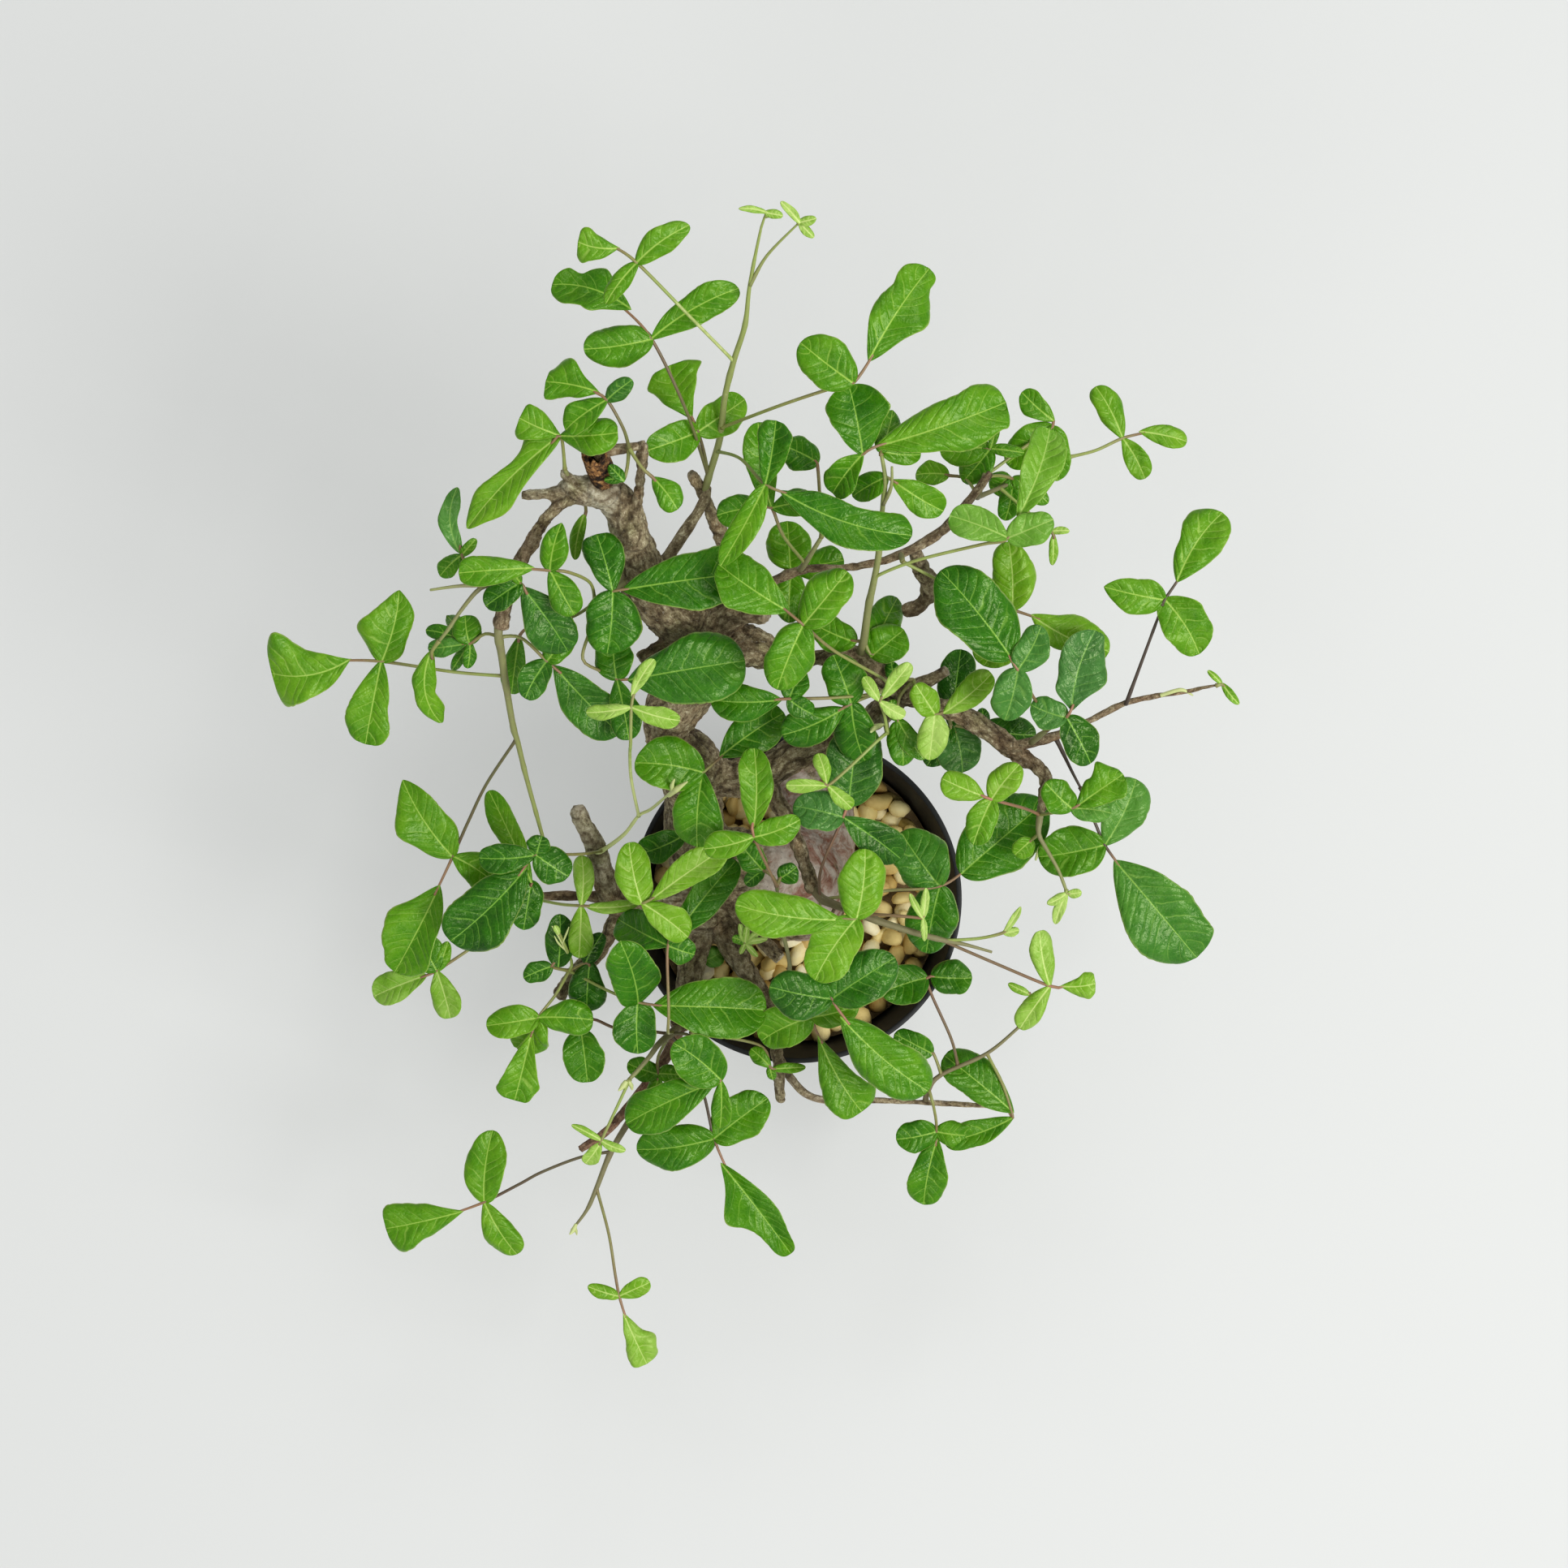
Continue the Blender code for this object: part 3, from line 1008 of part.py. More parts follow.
def make_gravel(material):
    """Filling with grain relief, and a plain hole for the caudex."""
    from mathutils.geometry import delaunay_2d_cdt
    spots = [Vector(p) for p in gravel_field()]
    inside = len(spots)
    top_radius = gravel_radius(GRAVEL_TOP)
    for k in range(POT_SIDES):
        angle = 2 * math.pi * k / POT_SIDES
        spots.append(Vector((top_radius * math.cos(angle), top_radius * math.sin(angle))))
    edges = [(inside + k, inside + (k + 1) % POT_SIDES) for k in range(POT_SIDES)]
    points, _, faces, _, _, _ = delaunay_2d_cdt(spots, edges, [], 1, 1e-6)
    shell = bmesh.new()
    verts = [shell.verts.new((p.x, p.y, gravel_height(p.x, p.y))) for p in points]
    for face in faces:
        shell.faces.new([verts[i] for i in face])
    rim = [e for e in shell.edges if e.is_boundary]
    for edge in rim:
        for vert in edge.verts:
            vert.co.z = GRAVEL_TOP - GRAVEL_RELIEF
    skirt = bmesh.ops.extrude_edge_only(shell, edges=rim)["geom"]
    floor = POT_FLOOR + GAP
    for vert in [g for g in skirt if isinstance(g, bmesh.types.BMVert)]:
        shrink = gravel_radius(floor) / math.hypot(vert.co.x, vert.co.y)
        vert.co = Vector((vert.co.x * shrink, vert.co.y * shrink, floor))
    bottom = [e for e in shell.edges if e.is_boundary]
    bmesh.ops.contextual_create(shell, geom=bottom)
    bmesh.ops.triangulate(shell, faces=shell.faces[:])
    bmesh.ops.recalc_face_normals(shell, faces=shell.faces)
    mesh = bpy.data.meshes.new("gravel")
    shell.to_mesh(mesh)
    shell.free()
    gravel = object_from("gravel", mesh, material)
    cut_caudex_hole(gravel)


def cut_caudex_hole(gravel):
    """Plain round hole, as wide as the caudex and open at the top."""
    x, y = hole_centre()
    depth = GRAVEL_TOP * 1.3 - GRAVEL_HOLE_FLOOR
    shell = bmesh.new()
    bmesh.ops.create_cone(
        shell, cap_ends=True, segments=16, radius1=GRAVEL_HOLE_RADIUS, radius2=GRAVEL_HOLE_RADIUS,
        depth=depth, matrix=Matrix.Translation((x, y, GRAVEL_HOLE_FLOOR + depth / 2)))
    mesh = bpy.data.meshes.new("caudex_hole")
    shell.to_mesh(mesh)
    shell.free()
    cutter = object_from("caudex_hole", mesh)
    cutter.hide_render = True
    cutter.display_type = "WIRE"
    hole = gravel.modifiers.new("Caudex hole", "BOOLEAN")
    hole.operation = "DIFFERENCE"
    hole.object = cutter


def wood_route(points, steps):
    pairs = [(place(across, down, height), radius / 1000) for across, down, height, radius in points]
    return smooth_route(pairs, steps)


def make_trunk(material):
    """Caudex, trunk and limbs: thick rough tubes fused into one body."""
    meshes = [
        tube_mesh("caudex", wood_route(CAUDEX, 1), TRUNK_SIDES + 2, WOOD_ROUGHNESS * 0.5, 3),
        tube_mesh("left_lobe", wood_route(LEFT_LOBE, 1), TRUNK_SIDES, WOOD_ROUGHNESS, 5),
    ]
    for seed, (name, points) in enumerate(LIMBS.items()):
        widest = max(radius for *_, radius in points)
        sides = TRUNK_SIDES - 1 if widest > 7 else LIMB_SIDES
        meshes.append(tube_mesh(name, wood_route(points, 1), sides, WOOD_ROUGHNESS, seed + 11))
    return fuse("trunk", meshes, material, WOOD_SHARE)


def root_on_wood(stem, wood):
    """Cut a stem back to the bark, less the gap, and point its root."""
    inside, outside = stem[0][0], stem[1][0]
    reach = (outside - inside).length
    towards = (inside - outside).normalized()
    spot, _, _, _ = wood.ray_cast(outside, towards, reach)
    if spot is None:
        return stem
    radius = stem[0][1]
    start = spot - towards * GAP * 1.6
    room = (outside - start).length
    collar = start - towards * min(radius * 1.4, room * 0.5)
    return [(start, radius * 0.35), (collar, radius * 0.95)] + stem[1:]


def make_shoot(name, shoot, wood, material):
    """One leafy shoot: stems, petioles and blades fused into one body."""
    meshes = []
    for i, points in enumerate(shoot["stems"]):
        stem = [(place(x, y, h), radius / 1000) for x, y, h, radius in points]
        if i == 0:
            stem = root_on_wood(stem, wood)
        meshes.append(tube_mesh(name, stem, STEM_SIDES))
    for petiole, leaflets in shoot["leaves"]:
        joint = place(*petiole[-1])
        spots = [place(*spot) for spot in petiole]
        spots.append(petiole_end(joint, petiole[-1][2], leaflets[0]))
        meshes.append(tube_mesh(name, [(spot, PETIOLE_RADIUS) for spot in spots], PETIOLE_SIDES))
        for i, leaflet in enumerate(leaflets):
            if leaflet[5] < LEAST_BLADE_PIXELS:
                continue
            meshes.append(leaflet_mesh(name, joint, petiole[-1][2], leaflet, i == 0))
    return fuse(name, meshes, material, SHOOT_SHARE)


def petiole_end(joint, height, leaflet):
    """The petiole runs a little way into the end leaflet's midrib."""
    base_x, base_y, tip_x, tip_y, rise, _, _ = leaflet
    base = place(base_x, base_y, height + rise * 0.1)
    tip = place(tip_x, tip_y, height + rise)
    return base.lerp(tip, 0.12)


def leaflet_mesh(name, joint, height, leaflet, ends_petiole):
    base_x, base_y, tip_x, tip_y, rise, width, outline = leaflet
    tip = place(tip_x, tip_y, height + rise)
    base = place(base_x, base_y, height + rise * 0.1)
    near = (base - joint).length < JOINT_REACH and not ends_petiole
    start = joint if near else base
    start = start - (tip - start).normalized() * BLADE_SINK
    scale = (VIEW_HEIGHT - height / 1000) / VIEW_FOCAL_PIXELS
    return blade_mesh(
        name, start, tip, width * scale, outline, lean(base_x, base_y),
        blade_stations(outline, width))


def build():
    clear_scene()
    materials = {name: make_material(name) for name in MATERIALS}
    make_pot(materials["pot_black"])
    make_gravel(materials["gravel_tan"])
    trunk = make_trunk(materials["bark"])
    graph = bpy.context.evaluated_depsgraph_get()
    wood = BVHTree.FromObject(trunk, graph)
    for name, shoot in SHOOTS.items():
        make_shoot(name, shoot, wood, materials["leaf_green"])


build()
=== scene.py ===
"""Looks of a potted caudex plant, Commiphora orbicularis, seen from straight above.

Each section below makes one piece, in the order the plant is put together: the view and
the light, the pot, the gravel, the wood, the green stems with their leaves, and the buds.
"""
import math
import random

import bmesh
import bpy
import numpy as np
from mathutils import Matrix, Vector, kdtree, noise


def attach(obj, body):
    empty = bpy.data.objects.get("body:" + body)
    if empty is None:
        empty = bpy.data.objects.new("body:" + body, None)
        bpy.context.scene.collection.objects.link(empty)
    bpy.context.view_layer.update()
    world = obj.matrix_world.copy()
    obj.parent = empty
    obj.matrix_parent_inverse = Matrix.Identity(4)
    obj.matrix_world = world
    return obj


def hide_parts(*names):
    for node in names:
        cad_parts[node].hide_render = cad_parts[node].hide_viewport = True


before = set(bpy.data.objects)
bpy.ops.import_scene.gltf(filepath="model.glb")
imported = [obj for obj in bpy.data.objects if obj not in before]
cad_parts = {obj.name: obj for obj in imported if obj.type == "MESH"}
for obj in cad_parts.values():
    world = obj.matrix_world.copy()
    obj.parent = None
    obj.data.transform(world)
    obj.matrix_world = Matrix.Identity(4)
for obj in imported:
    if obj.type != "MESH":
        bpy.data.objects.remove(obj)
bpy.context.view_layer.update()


# View and light. A camera with a short telephoto lens looks straight down from 1.2 m on a
# pale studio floor that glows faintly, a painted glow that lightens the shadows cast on it.
# Three soft windows stand around it, the strongest on the right.
VIEW_HEIGHT = 1.2000
VIEW_FOCAL_PIXELS = 4276
VIEW_PIXELS = 1932
VIEW_MIDDLE_PIXEL = 966
POT_CENTRE_PIXEL = (982, 1107)
POT_HEIGHT = 0.095
SENSOR_WIDTH_MM = 36.0
RIM_SCALE = (VIEW_HEIGHT - POT_HEIGHT) / VIEW_FOCAL_PIXELS
POT_X = (POT_CENTRE_PIXEL[0] - VIEW_MIDDLE_PIXEL) * RIM_SCALE
POT_Y = (VIEW_MIDDLE_PIXEL - POT_CENTRE_PIXEL[1]) * RIM_SCALE


def placed(name, data):
    """New object in the scene, at the origin."""
    item = bpy.data.objects.new(name, data)
    bpy.context.scene.collection.objects.link(item)
    return item


camera_data = bpy.data.cameras.new("view_from_above")
camera_data.sensor_width = SENSOR_WIDTH_MM
camera_data.lens = VIEW_FOCAL_PIXELS / VIEW_PIXELS * SENSOR_WIDTH_MM
camera = placed("view_from_above", camera_data)
camera.location = (-POT_X, -POT_Y, VIEW_HEIGHT)
bpy.context.scene.camera = camera


def soft_lamp(name, place_at, aim_at, size, power, colour):
    """Square area lamp turned towards a point."""
    lamp_data = bpy.data.lights.new(name, "AREA")
    lamp_data.size = size
    lamp_data.energy = power
    lamp_data.color = colour
    lamp = placed(name, lamp_data)
    lamp.location = place_at
    lamp.rotation_euler = (Vector(aim_at) - Vector(place_at)).to_track_quat("-Z", "Y").to_euler()


soft_lamp("window", (1.00, -0.38, 1.55), (0.0, 0.02, 0.12), 0.80, 20.0, (1.0, 1.0, 0.99))
soft_lamp("far_window", (0.25, 1.15, 1.45), (0.0, 0.0, 0.1), 0.45, 4.5, (0.97, 0.99, 1.0))
soft_lamp("near_window", (-0.45, -1.00, 1.45), (0.0, 0.0, 0.1), 0.45, 4.0, (1.0, 1.0, 0.99))

WALL_COLOUR = (0.975, 0.99, 1.0, 1.0)
WALL_LIGHT = 0.48
world = bpy.data.worlds.new("white_walls")
world.use_nodes = True
world.node_tree.nodes["Background"].inputs["Color"].default_value = WALL_COLOUR
world.node_tree.nodes["Background"].inputs["Strength"].default_value = WALL_LIGHT
bpy.context.scene.world = world
bpy.context.scene.view_settings.view_transform = "Standard"
bpy.context.scene.view_settings.look = "Medium High Contrast"

FLOOR_REACH = 6.0
FLOOR_COLOUR = (0.405, 0.408, 0.400)
FLOOR_ROUGHNESS = 0.9
# Painted light: the floor's faint glow lightens the shadows that fall on it.
GLOW_COLOUR = (0.985, 1.0, 0.985, 1.0)
FLOOR_GLOW = 0.235
floor_mesh = bpy.data.meshes.new("studio_floor")
floor_mesh.from_pydata(
    [(-FLOOR_REACH, -FLOOR_REACH, 0), (FLOOR_REACH, -FLOOR_REACH, 0),
     (FLOOR_REACH, FLOOR_REACH, 0), (-FLOOR_REACH, FLOOR_REACH, 0)], [], [(0, 1, 2, 3)])
floor = placed("studio_floor", floor_mesh)


def feed(tree, socket, value):
    """Join a socket to another, or give it a value of its own."""
    if isinstance(value, bpy.types.NodeSocket):
        tree.links.new(value, socket)
    else:
        socket.default_value = value


def add_node(tree, kind, settings=None, **inputs):
    """New node with its settings, and its inputs by name."""
    made = tree.nodes.new(kind)
    for key, value in (settings or {}).items():
        setattr(made, key, value)
    for key, value in inputs.items():
        feed(tree, made.inputs[key.replace("_", " ")], value)
    return made


class Finish:
    """A material's node tree, with short ways to add and join nodes."""

    def __init__(self, name):
        self.material = bpy.data.materials.new(name)
        self.material.use_nodes = True
        self.tree = self.material.node_tree
        self.shader = self.tree.nodes["Principled BSDF"]

    def node(self, kind, settings=None, **inputs):
        return add_node(self.tree, kind, settings, **inputs)

    def give(self, name, value):
        """Feed one of the shader's own inputs."""
        feed(self.tree, self.shader.inputs[name], value)

    def math(self, operation, *values):
        made = self.node("ShaderNodeMath", {"operation": operation})
        for socket, value in zip(made.inputs, values):
            feed(self.tree, socket, value)
        return made.outputs[0]

    def add(self, first, second):
        return self.math("ADD", first, second)

    def scaled(self, value, share):
        return self.math("MULTIPLY", value, share)

    def swing(self, value, share):
        """A value from 0 to 1, moved to lie about zero and scaled."""
        return self.scaled(self.math("SUBTRACT", value, 0.5), share)

    def remap(self, value, low, high, to_low=0.0, to_high=1.0):
        return self.node(
            "ShaderNodeMapRange", Value=value, From_Min=low, From_Max=high, To_Min=to_low,
            To_Max=to_high).outputs[0]

    def noted(self, name, output="Fac"):
        """What the mesh itself notes at each point under a name."""
        return self.node("ShaderNodeAttribute", {"attribute_name": name}).outputs[output]

    def mix(self, share, first, second, blend="MIX"):
        made = self.node("ShaderNodeMix", {"data_type": "RGBA", "blend_type": blend})
        for place_in, value in ((0, share), (6, first), (7, second)):
            feed(self.tree, made.inputs[place_in], value)
        return made.outputs[2]

    def ramp(self, value, *stops):
        """Colour ramp over a value, with stops as (place, colour) pairs."""
        made = self.node("ShaderNodeValToRGB")
        elements = made.color_ramp.elements
        while len(elements) < len(stops):
            elements.new(0.5)
        for element, (at, colour) in zip(elements, stops):
            element.position = at
            element.color = colour if len(colour) == 4 else (*colour, 1.0)
        feed(self.tree, made.inputs[0], value)
        return made.outputs[0]

    def grain(self, scale, detail, roughness, coords=None, distortion=0.0):
        """Noise over the object's own coordinates, or others."""
        return self.node(
            "ShaderNodeTexNoise", Scale=scale, Detail=detail, Roughness=roughness,
            Distortion=distortion, Vector=coords or self.place()).outputs[0]

    def place(self):
        return self.node("ShaderNodeTexCoord").outputs["Object"]

    def height(self):
        return self.node("ShaderNodeSeparateXYZ", Vector=self.place()).outputs[2]

    def bump(self, height, strength, distance):
        made = self.node("ShaderNodeBump", Strength=strength, Distance=distance, Height=height)
        self.give("Normal", made.outputs[0])


paper = Finish("pale_paper")
paper.give("Base Color", (*FLOOR_COLOUR, 1.0))
paper.give("Roughness", FLOOR_ROUGHNESS)
# Painted light: a faint glow that lightens the floor's shadows.
paper.give("Emission Color", GLOW_COLOUR)
paper.give("Emission Strength", FLOOR_GLOW)
floor_mesh.materials.append(paper.material)


# Pot. A matt black nursery pot, moulded in thin plastic: a tapered wall, a collar round the
# rim with a rounded lip, and a flat underside with a foot ring and a ring of drain holes.
POT_RIM_RADIUS = 0.0525
POT_BASE_RADIUS = 0.0400
POT_COLLAR_HEIGHT = 0.0085
POT_COLLAR_STEP = 0.0018
POT_WALL = 0.0016
POT_FLOOR = 0.0022
POT_SIDES = 144
POT_LIP = 0.0005
FOOT_RECESS = 0.0006
FOOT_RING_WIDTH = 0.0035
DRAIN_HOLE_RADIUS = 0.0040
DRAIN_HOLE_RING = 0.0250
DRAIN_HOLES = 6
DRAIN_HOLE_SIDES = 32
CREASE = math.radians(40)
POT_BLACK = (0.016, 0.0165, 0.018)
POT_RIM_GREY = (0.046, 0.045, 0.044)
RIM_GREY_SHARE = 0.45
RIM_GREY_DEPTH = 0.020
POT_ROUGHNESS = (0.42, 0.66)
BLACK = (0, 0, 0)
WHITE = (1, 1, 1)


def wall_radius(height):
    """Outer radius of the tapered wall under the collar, at a height."""
    top_radius = POT_RIM_RADIUS - POT_COLLAR_STEP
    return POT_BASE_RADIUS + (top_radius - POT_BASE_RADIUS) * height / POT_HEIGHT


def from_shell(name, shell):
    """Object of a finished bmesh."""
    mesh = bpy.data.meshes.new(name)
    shell.to_mesh(mesh)
    shell.free()
    return placed(name, mesh)


def turned(name, profile, sides):
    """Solid of revolution from (radius, height) points that start and end on the axis."""
    shell = bmesh.new()
    points = [shell.verts.new((radius, 0, height)) for radius, height in profile]
    for first, second in zip(points, points[1:]):
        shell.edges.new((first, second))
    bmesh.ops.spin(
        shell, geom=shell.verts[:] + shell.edges[:], cent=(0, 0, 0), axis=(0, 0, 1),
        angle=2 * math.pi, steps=sides, use_duplicate=False)
    bmesh.ops.remove_doubles(shell, verts=shell.verts, dist=0.000005)
    bmesh.ops.recalc_face_normals(shell, faces=shell.faces)
    return from_shell(name, shell)


def rounded(profile, reach, steps=3):
    """Profile with its corners cut to small arcs, but for its two ends."""
    result = [profile[0]]
    for before, corner, after in zip(profile, profile[1:], profile[2:]):
        a, b, c = Vector(before), Vector(corner), Vector(after)
        near = min(reach, (a - b).length * 0.4, (c - b).length * 0.4)
        start = b + (a - b).normalized() * near
        end = b + (c - b).normalized() * near
        for k in range(steps + 1):
            t = k / steps
            result.append(tuple((1 - t) ** 2 * start + 2 * t * (1 - t) * b + t * t * end))
    result.append(profile[-1])
    return result


def settle(item):
    """Replace an object's mesh by what its modifiers make of it."""
    graph = bpy.context.evaluated_depsgraph_get()
    made = bpy.data.meshes.new_from_object(item.evaluated_get(graph))
    item.modifiers.clear()
    item.data = made
    return item


def smoothed(item):
    """Smooth shading, with its creases kept."""
    item.data.shade_smooth()
    item.data.set_sharp_from_angle(angle=CREASE)
    return item


def make_pot():
    """Shell with its collar, foot ring and drain holes."""
    collar = POT_HEIGHT - POT_COLLAR_HEIGHT
    foot = POT_BASE_RADIUS - FOOT_RING_WIDTH
    profile = [
        (0.0, FOOT_RECESS), (foot, FOOT_RECESS), (foot, 0.0), (POT_BASE_RADIUS, 0.0),
        (wall_radius(collar), collar), (POT_RIM_RADIUS, collar), (POT_RIM_RADIUS, POT_HEIGHT),
        (POT_RIM_RADIUS - POT_WALL, POT_HEIGHT),
        (wall_radius(collar) - POT_WALL, collar - POT_WALL),
        (wall_radius(POT_FLOOR) - POT_WALL, POT_FLOOR), (0.0, POT_FLOOR)]
    pot = turned("pot_shell", rounded(profile, POT_LIP), POT_SIDES)
    shell = bmesh.new()
    for k in range(DRAIN_HOLES):
        angle = 2 * math.pi * k / DRAIN_HOLES
        at = (DRAIN_HOLE_RING * math.cos(angle), DRAIN_HOLE_RING * math.sin(angle), POT_FLOOR / 2)
        bmesh.ops.create_cone(
            shell, cap_ends=True, segments=DRAIN_HOLE_SIDES, radius1=DRAIN_HOLE_RADIUS,
            radius2=DRAIN_HOLE_RADIUS, depth=POT_FLOOR * 3, matrix=Matrix.Translation(at))
    drill = from_shell("drain_drill", shell)
    cut = pot.modifiers.new("Drain holes", "BOOLEAN")
    cut.operation = "DIFFERENCE"
    cut.object = drill
    settle(pot)
    bpy.data.objects.remove(drill, do_unlink=True)
    return smoothed(pot)


def make_pot_plastic():
    """Matt black plastic with fine scuffs, in lighter grey patches towards the rim."""
    plastic = Finish("matt_black_plastic")
    scuffs = plastic.grain(220.0, 6.0, 0.65)
    # Lighter grey patches over the top of the pot, strongest at the rim and fading downwards.
    rim_patches = plastic.grain(38.0, 5.0, 0.6)
    near_rim = plastic.remap(plastic.height(), POT_HEIGHT - RIM_GREY_DEPTH, POT_HEIGHT)
    rim_greying = plastic.math("MULTIPLY", plastic.ramp(rim_patches, (0.48, BLACK), (0.72, WHITE)), near_rim)
    colour = plastic.mix(plastic.scaled(rim_greying, RIM_GREY_SHARE), (*POT_BLACK, 1), (*POT_RIM_GREY, 1))
    plastic.give("Base Color", colour)
    plastic.give("Roughness", plastic.remap(scuffs, 0, 1, *POT_ROUGHNESS))
    plastic.bump(scuffs, 0.25, 0.0002)
    return plastic.material


pot = make_pot()
pot.data.materials.clear()
pot.data.materials.append(make_pot_plastic())
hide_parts("pot")
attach(pot, "root")


# Filling. Dark potting soil fills the pot to under the brim, and a layer of rounded tan and
# cream gravel, 5 to 8 mm a grain, is poured over it and lies against the wall and the caudex.
SOIL_TOP = 0.0770
SOIL_SIDES = 72
SOIL_RINGS = 12
SOIL_LUMP = 0.0012
GRAIN_RADIUS = 0.0036
GRAIN_SPACING = 0.0047
GRAVEL_LAYERS = (0.0782, 0.0802, 0.0822)
GRAVEL_SEED = 17
GRAINS_PER_SQUARE_METRE = 90000.0
GRAIN_LEAST = (0.86, 0.70, 0.58)
GRAIN_MOST = (1.50, 1.12, 0.92)
GRAIN_DENT = (-0.0016, 0.0014)
DENT_SCALE = 210.0
WALL_CLEARANCE = 0.0004
SOIL_DARK = (0.140, 0.092, 0.046)
SOIL_LIGHT = (0.380, 0.275, 0.150)
STONE_TONES = (
    (0.0, (0.42, 0.27, 0.090)), (0.20, (0.62, 0.45, 0.165)), (0.45, (0.76, 0.60, 0.260)),
    (0.70, (0.84, 0.71, 0.380)), (0.92, (0.89, 0.81, 0.56)), (1.0, (0.66, 0.58, 0.42)))
STONE_ROUGHNESS = 0.72
SOIL_ROUGHNESS = 0.95


def make_soil():
    """Plug of soil with a lumpy top."""
    low = POT_FLOOR + WALL_CLEARANCE
    inner_low = wall_radius(low) - POT_WALL - WALL_CLEARANCE
    inner_top = wall_radius(SOIL_TOP) - POT_WALL - WALL_CLEARANCE
    profile = [(0.0, low), (inner_low, low), (inner_top, SOIL_TOP)]
    profile += [(inner_top * k / SOIL_RINGS, SOIL_TOP) for k in range(SOIL_RINGS - 1, 0, -1)]
    soil = turned("potting_soil", profile + [(0.0, SOIL_TOP)], SOIL_SIDES)
    for vert in soil.data.vertices:
        if vert.co.z > SOIL_TOP - 0.001 and vert.co.xy.length < inner_top * 0.97:
            vert.co.z += SOIL_LUMP * noise.noise(vert.co * 260)
    return smoothed(soil)


def gravel_bed():
    """Flat rings on which the grains are poured, one for each layer."""
    shell = bmesh.new()
    for height in GRAVEL_LAYERS:
        reach = wall_radius(height) - POT_WALL - GRAIN_RADIUS * 0.92
        bmesh.ops.create_circle(
            shell, cap_ends=True, segments=48, radius=reach,
            matrix=Matrix.Translation((0, 0, height)))
    bmesh.ops.recalc_face_normals(shell, faces=shell.faces)
    return from_shell("gravel_grains", shell)


def gravel_tree(material):
    """Node group that pours grains on a surface: spread, place, turn, size, dent and finish."""
    tree = bpy.data.node_groups.new("Poured gravel", "GeometryNodeTree")
    sockets = tree.interface
    sockets.new_socket("Bed", in_out="INPUT", socket_type="NodeSocketGeometry")
    for name, kind in (("Spacing", "Float"), ("Grain radius", "Float"), ("Seed", "Int")):
        sockets.new_socket(name, in_out="INPUT", socket_type="NodeSocket" + kind)
    sockets.new_socket("Gravel", in_out="OUTPUT", socket_type="NodeSocketGeometry")

    def add(kind, settings=None, **inputs):
        return add_node(tree, kind, settings, **inputs)

    given = add("NodeGroupInput").outputs
    spread = add(
        "GeometryNodeDistributePointsOnFaces", {"distribute_method": "POISSON"},
        Density_Max=GRAINS_PER_SQUARE_METRE, Mesh=given["Bed"], Distance_Min=given["Spacing"],
        Seed=given["Seed"])
    grain = add("GeometryNodeMeshIcoSphere", Subdivisions=2, Radius=given["Grain radius"])
    turn = add("FunctionNodeRandomValue", {"data_type": "FLOAT_VECTOR"}, Max=(math.tau,) * 3)
    size = add(
        "FunctionNodeRandomValue", {"data_type": "FLOAT_VECTOR"}, Min=GRAIN_LEAST, Max=GRAIN_MOST,
        Seed=4)
    put = add(
        "GeometryNodeInstanceOnPoints", Points=spread.outputs["Points"],
        Instance=grain.outputs["Mesh"], Rotation=turn.outputs["Value"], Scale=size.outputs["Value"])
    shade = add("FunctionNodeRandomValue", {"data_type": "FLOAT"}, Seed=9)
    note = add(
        "GeometryNodeStoreNamedAttribute", {"data_type": "FLOAT", "domain": "INSTANCE"},
        Name="Grain", Geometry=put.outputs["Instances"])
    shade_out = [s for s in shade.outputs if s.enabled and s.type == "VALUE"][0]
    feed(tree, [s for s in note.inputs if s.name == "Value" and s.enabled][0], shade_out)
    real = add("GeometryNodeRealizeInstances", Geometry=note.outputs["Geometry"])
    dents = add("ShaderNodeTexNoise", Scale=DENT_SCALE, Detail=1.5)
    level = add(
        "ShaderNodeMapRange", Value=dents.outputs[0], To_Min=GRAIN_DENT[0], To_Max=GRAIN_DENT[1])
    push = add(
        "ShaderNodeVectorMath", {"operation": "SCALE"},
        Vector=add("GeometryNodeInputNormal").outputs[0], Scale=level.outputs[0])
    dent = add(
        "GeometryNodeSetPosition", Geometry=real.outputs["Geometry"], Offset=push.outputs[0])
    smooth = add("GeometryNodeSetShadeSmooth", Geometry=dent.outputs["Geometry"])
    finish = add(
        "GeometryNodeSetMaterial", Material=material, Geometry=smooth.outputs["Geometry"])
    add("NodeGroupOutput", Gravel=finish.outputs["Geometry"])
    return tree


def pour_gravel(item, tree, spacing, radius, seed):
    """Run the node group on a bed of gravel and keep the mesh that it makes."""
    pour = item.modifiers.new("Gravel", "NODES")
    pour.node_group = tree
    named = {s.name: s.identifier for s in tree.interface.items_tree if s.in_out == "INPUT"}
    pour[named["Spacing"]] = spacing
    pour[named["Grain radius"]] = radius
    pour[named["Seed"]] = seed
    settle(item)


def make_stone():
    """Tan to cream stone, with a tone of its own for each grain."""
    stone = Finish("tan_gravel")
    blotch = stone.grain(330.0, 5.0, 0.6)
    mottle = stone.add(stone.noted("Grain"), stone.swing(blotch, 0.35))
    stone.give("Base Color", stone.ramp(mottle, *STONE_TONES))
    stone.give("Roughness", STONE_ROUGHNESS)
    pits = stone.grain(1500.0, 3.0, 0.6)
    stone.bump(stone.add(pits, stone.scaled(blotch, 1.5)), 0.5, 0.00025)
    return stone.material


def make_earth():
    """Crumbly brown soil."""
    earth = Finish("potting_soil")
    crumbs = earth.grain(700.0, 6.0, 0.7)
    earth.give("Base Color", earth.mix(crumbs, (*SOIL_DARK, 1), (*SOIL_LIGHT, 1)))
    earth.give("Roughness", SOIL_ROUGHNESS)
    earth.bump(crumbs, 0.8, 0.0008)
    return earth.material


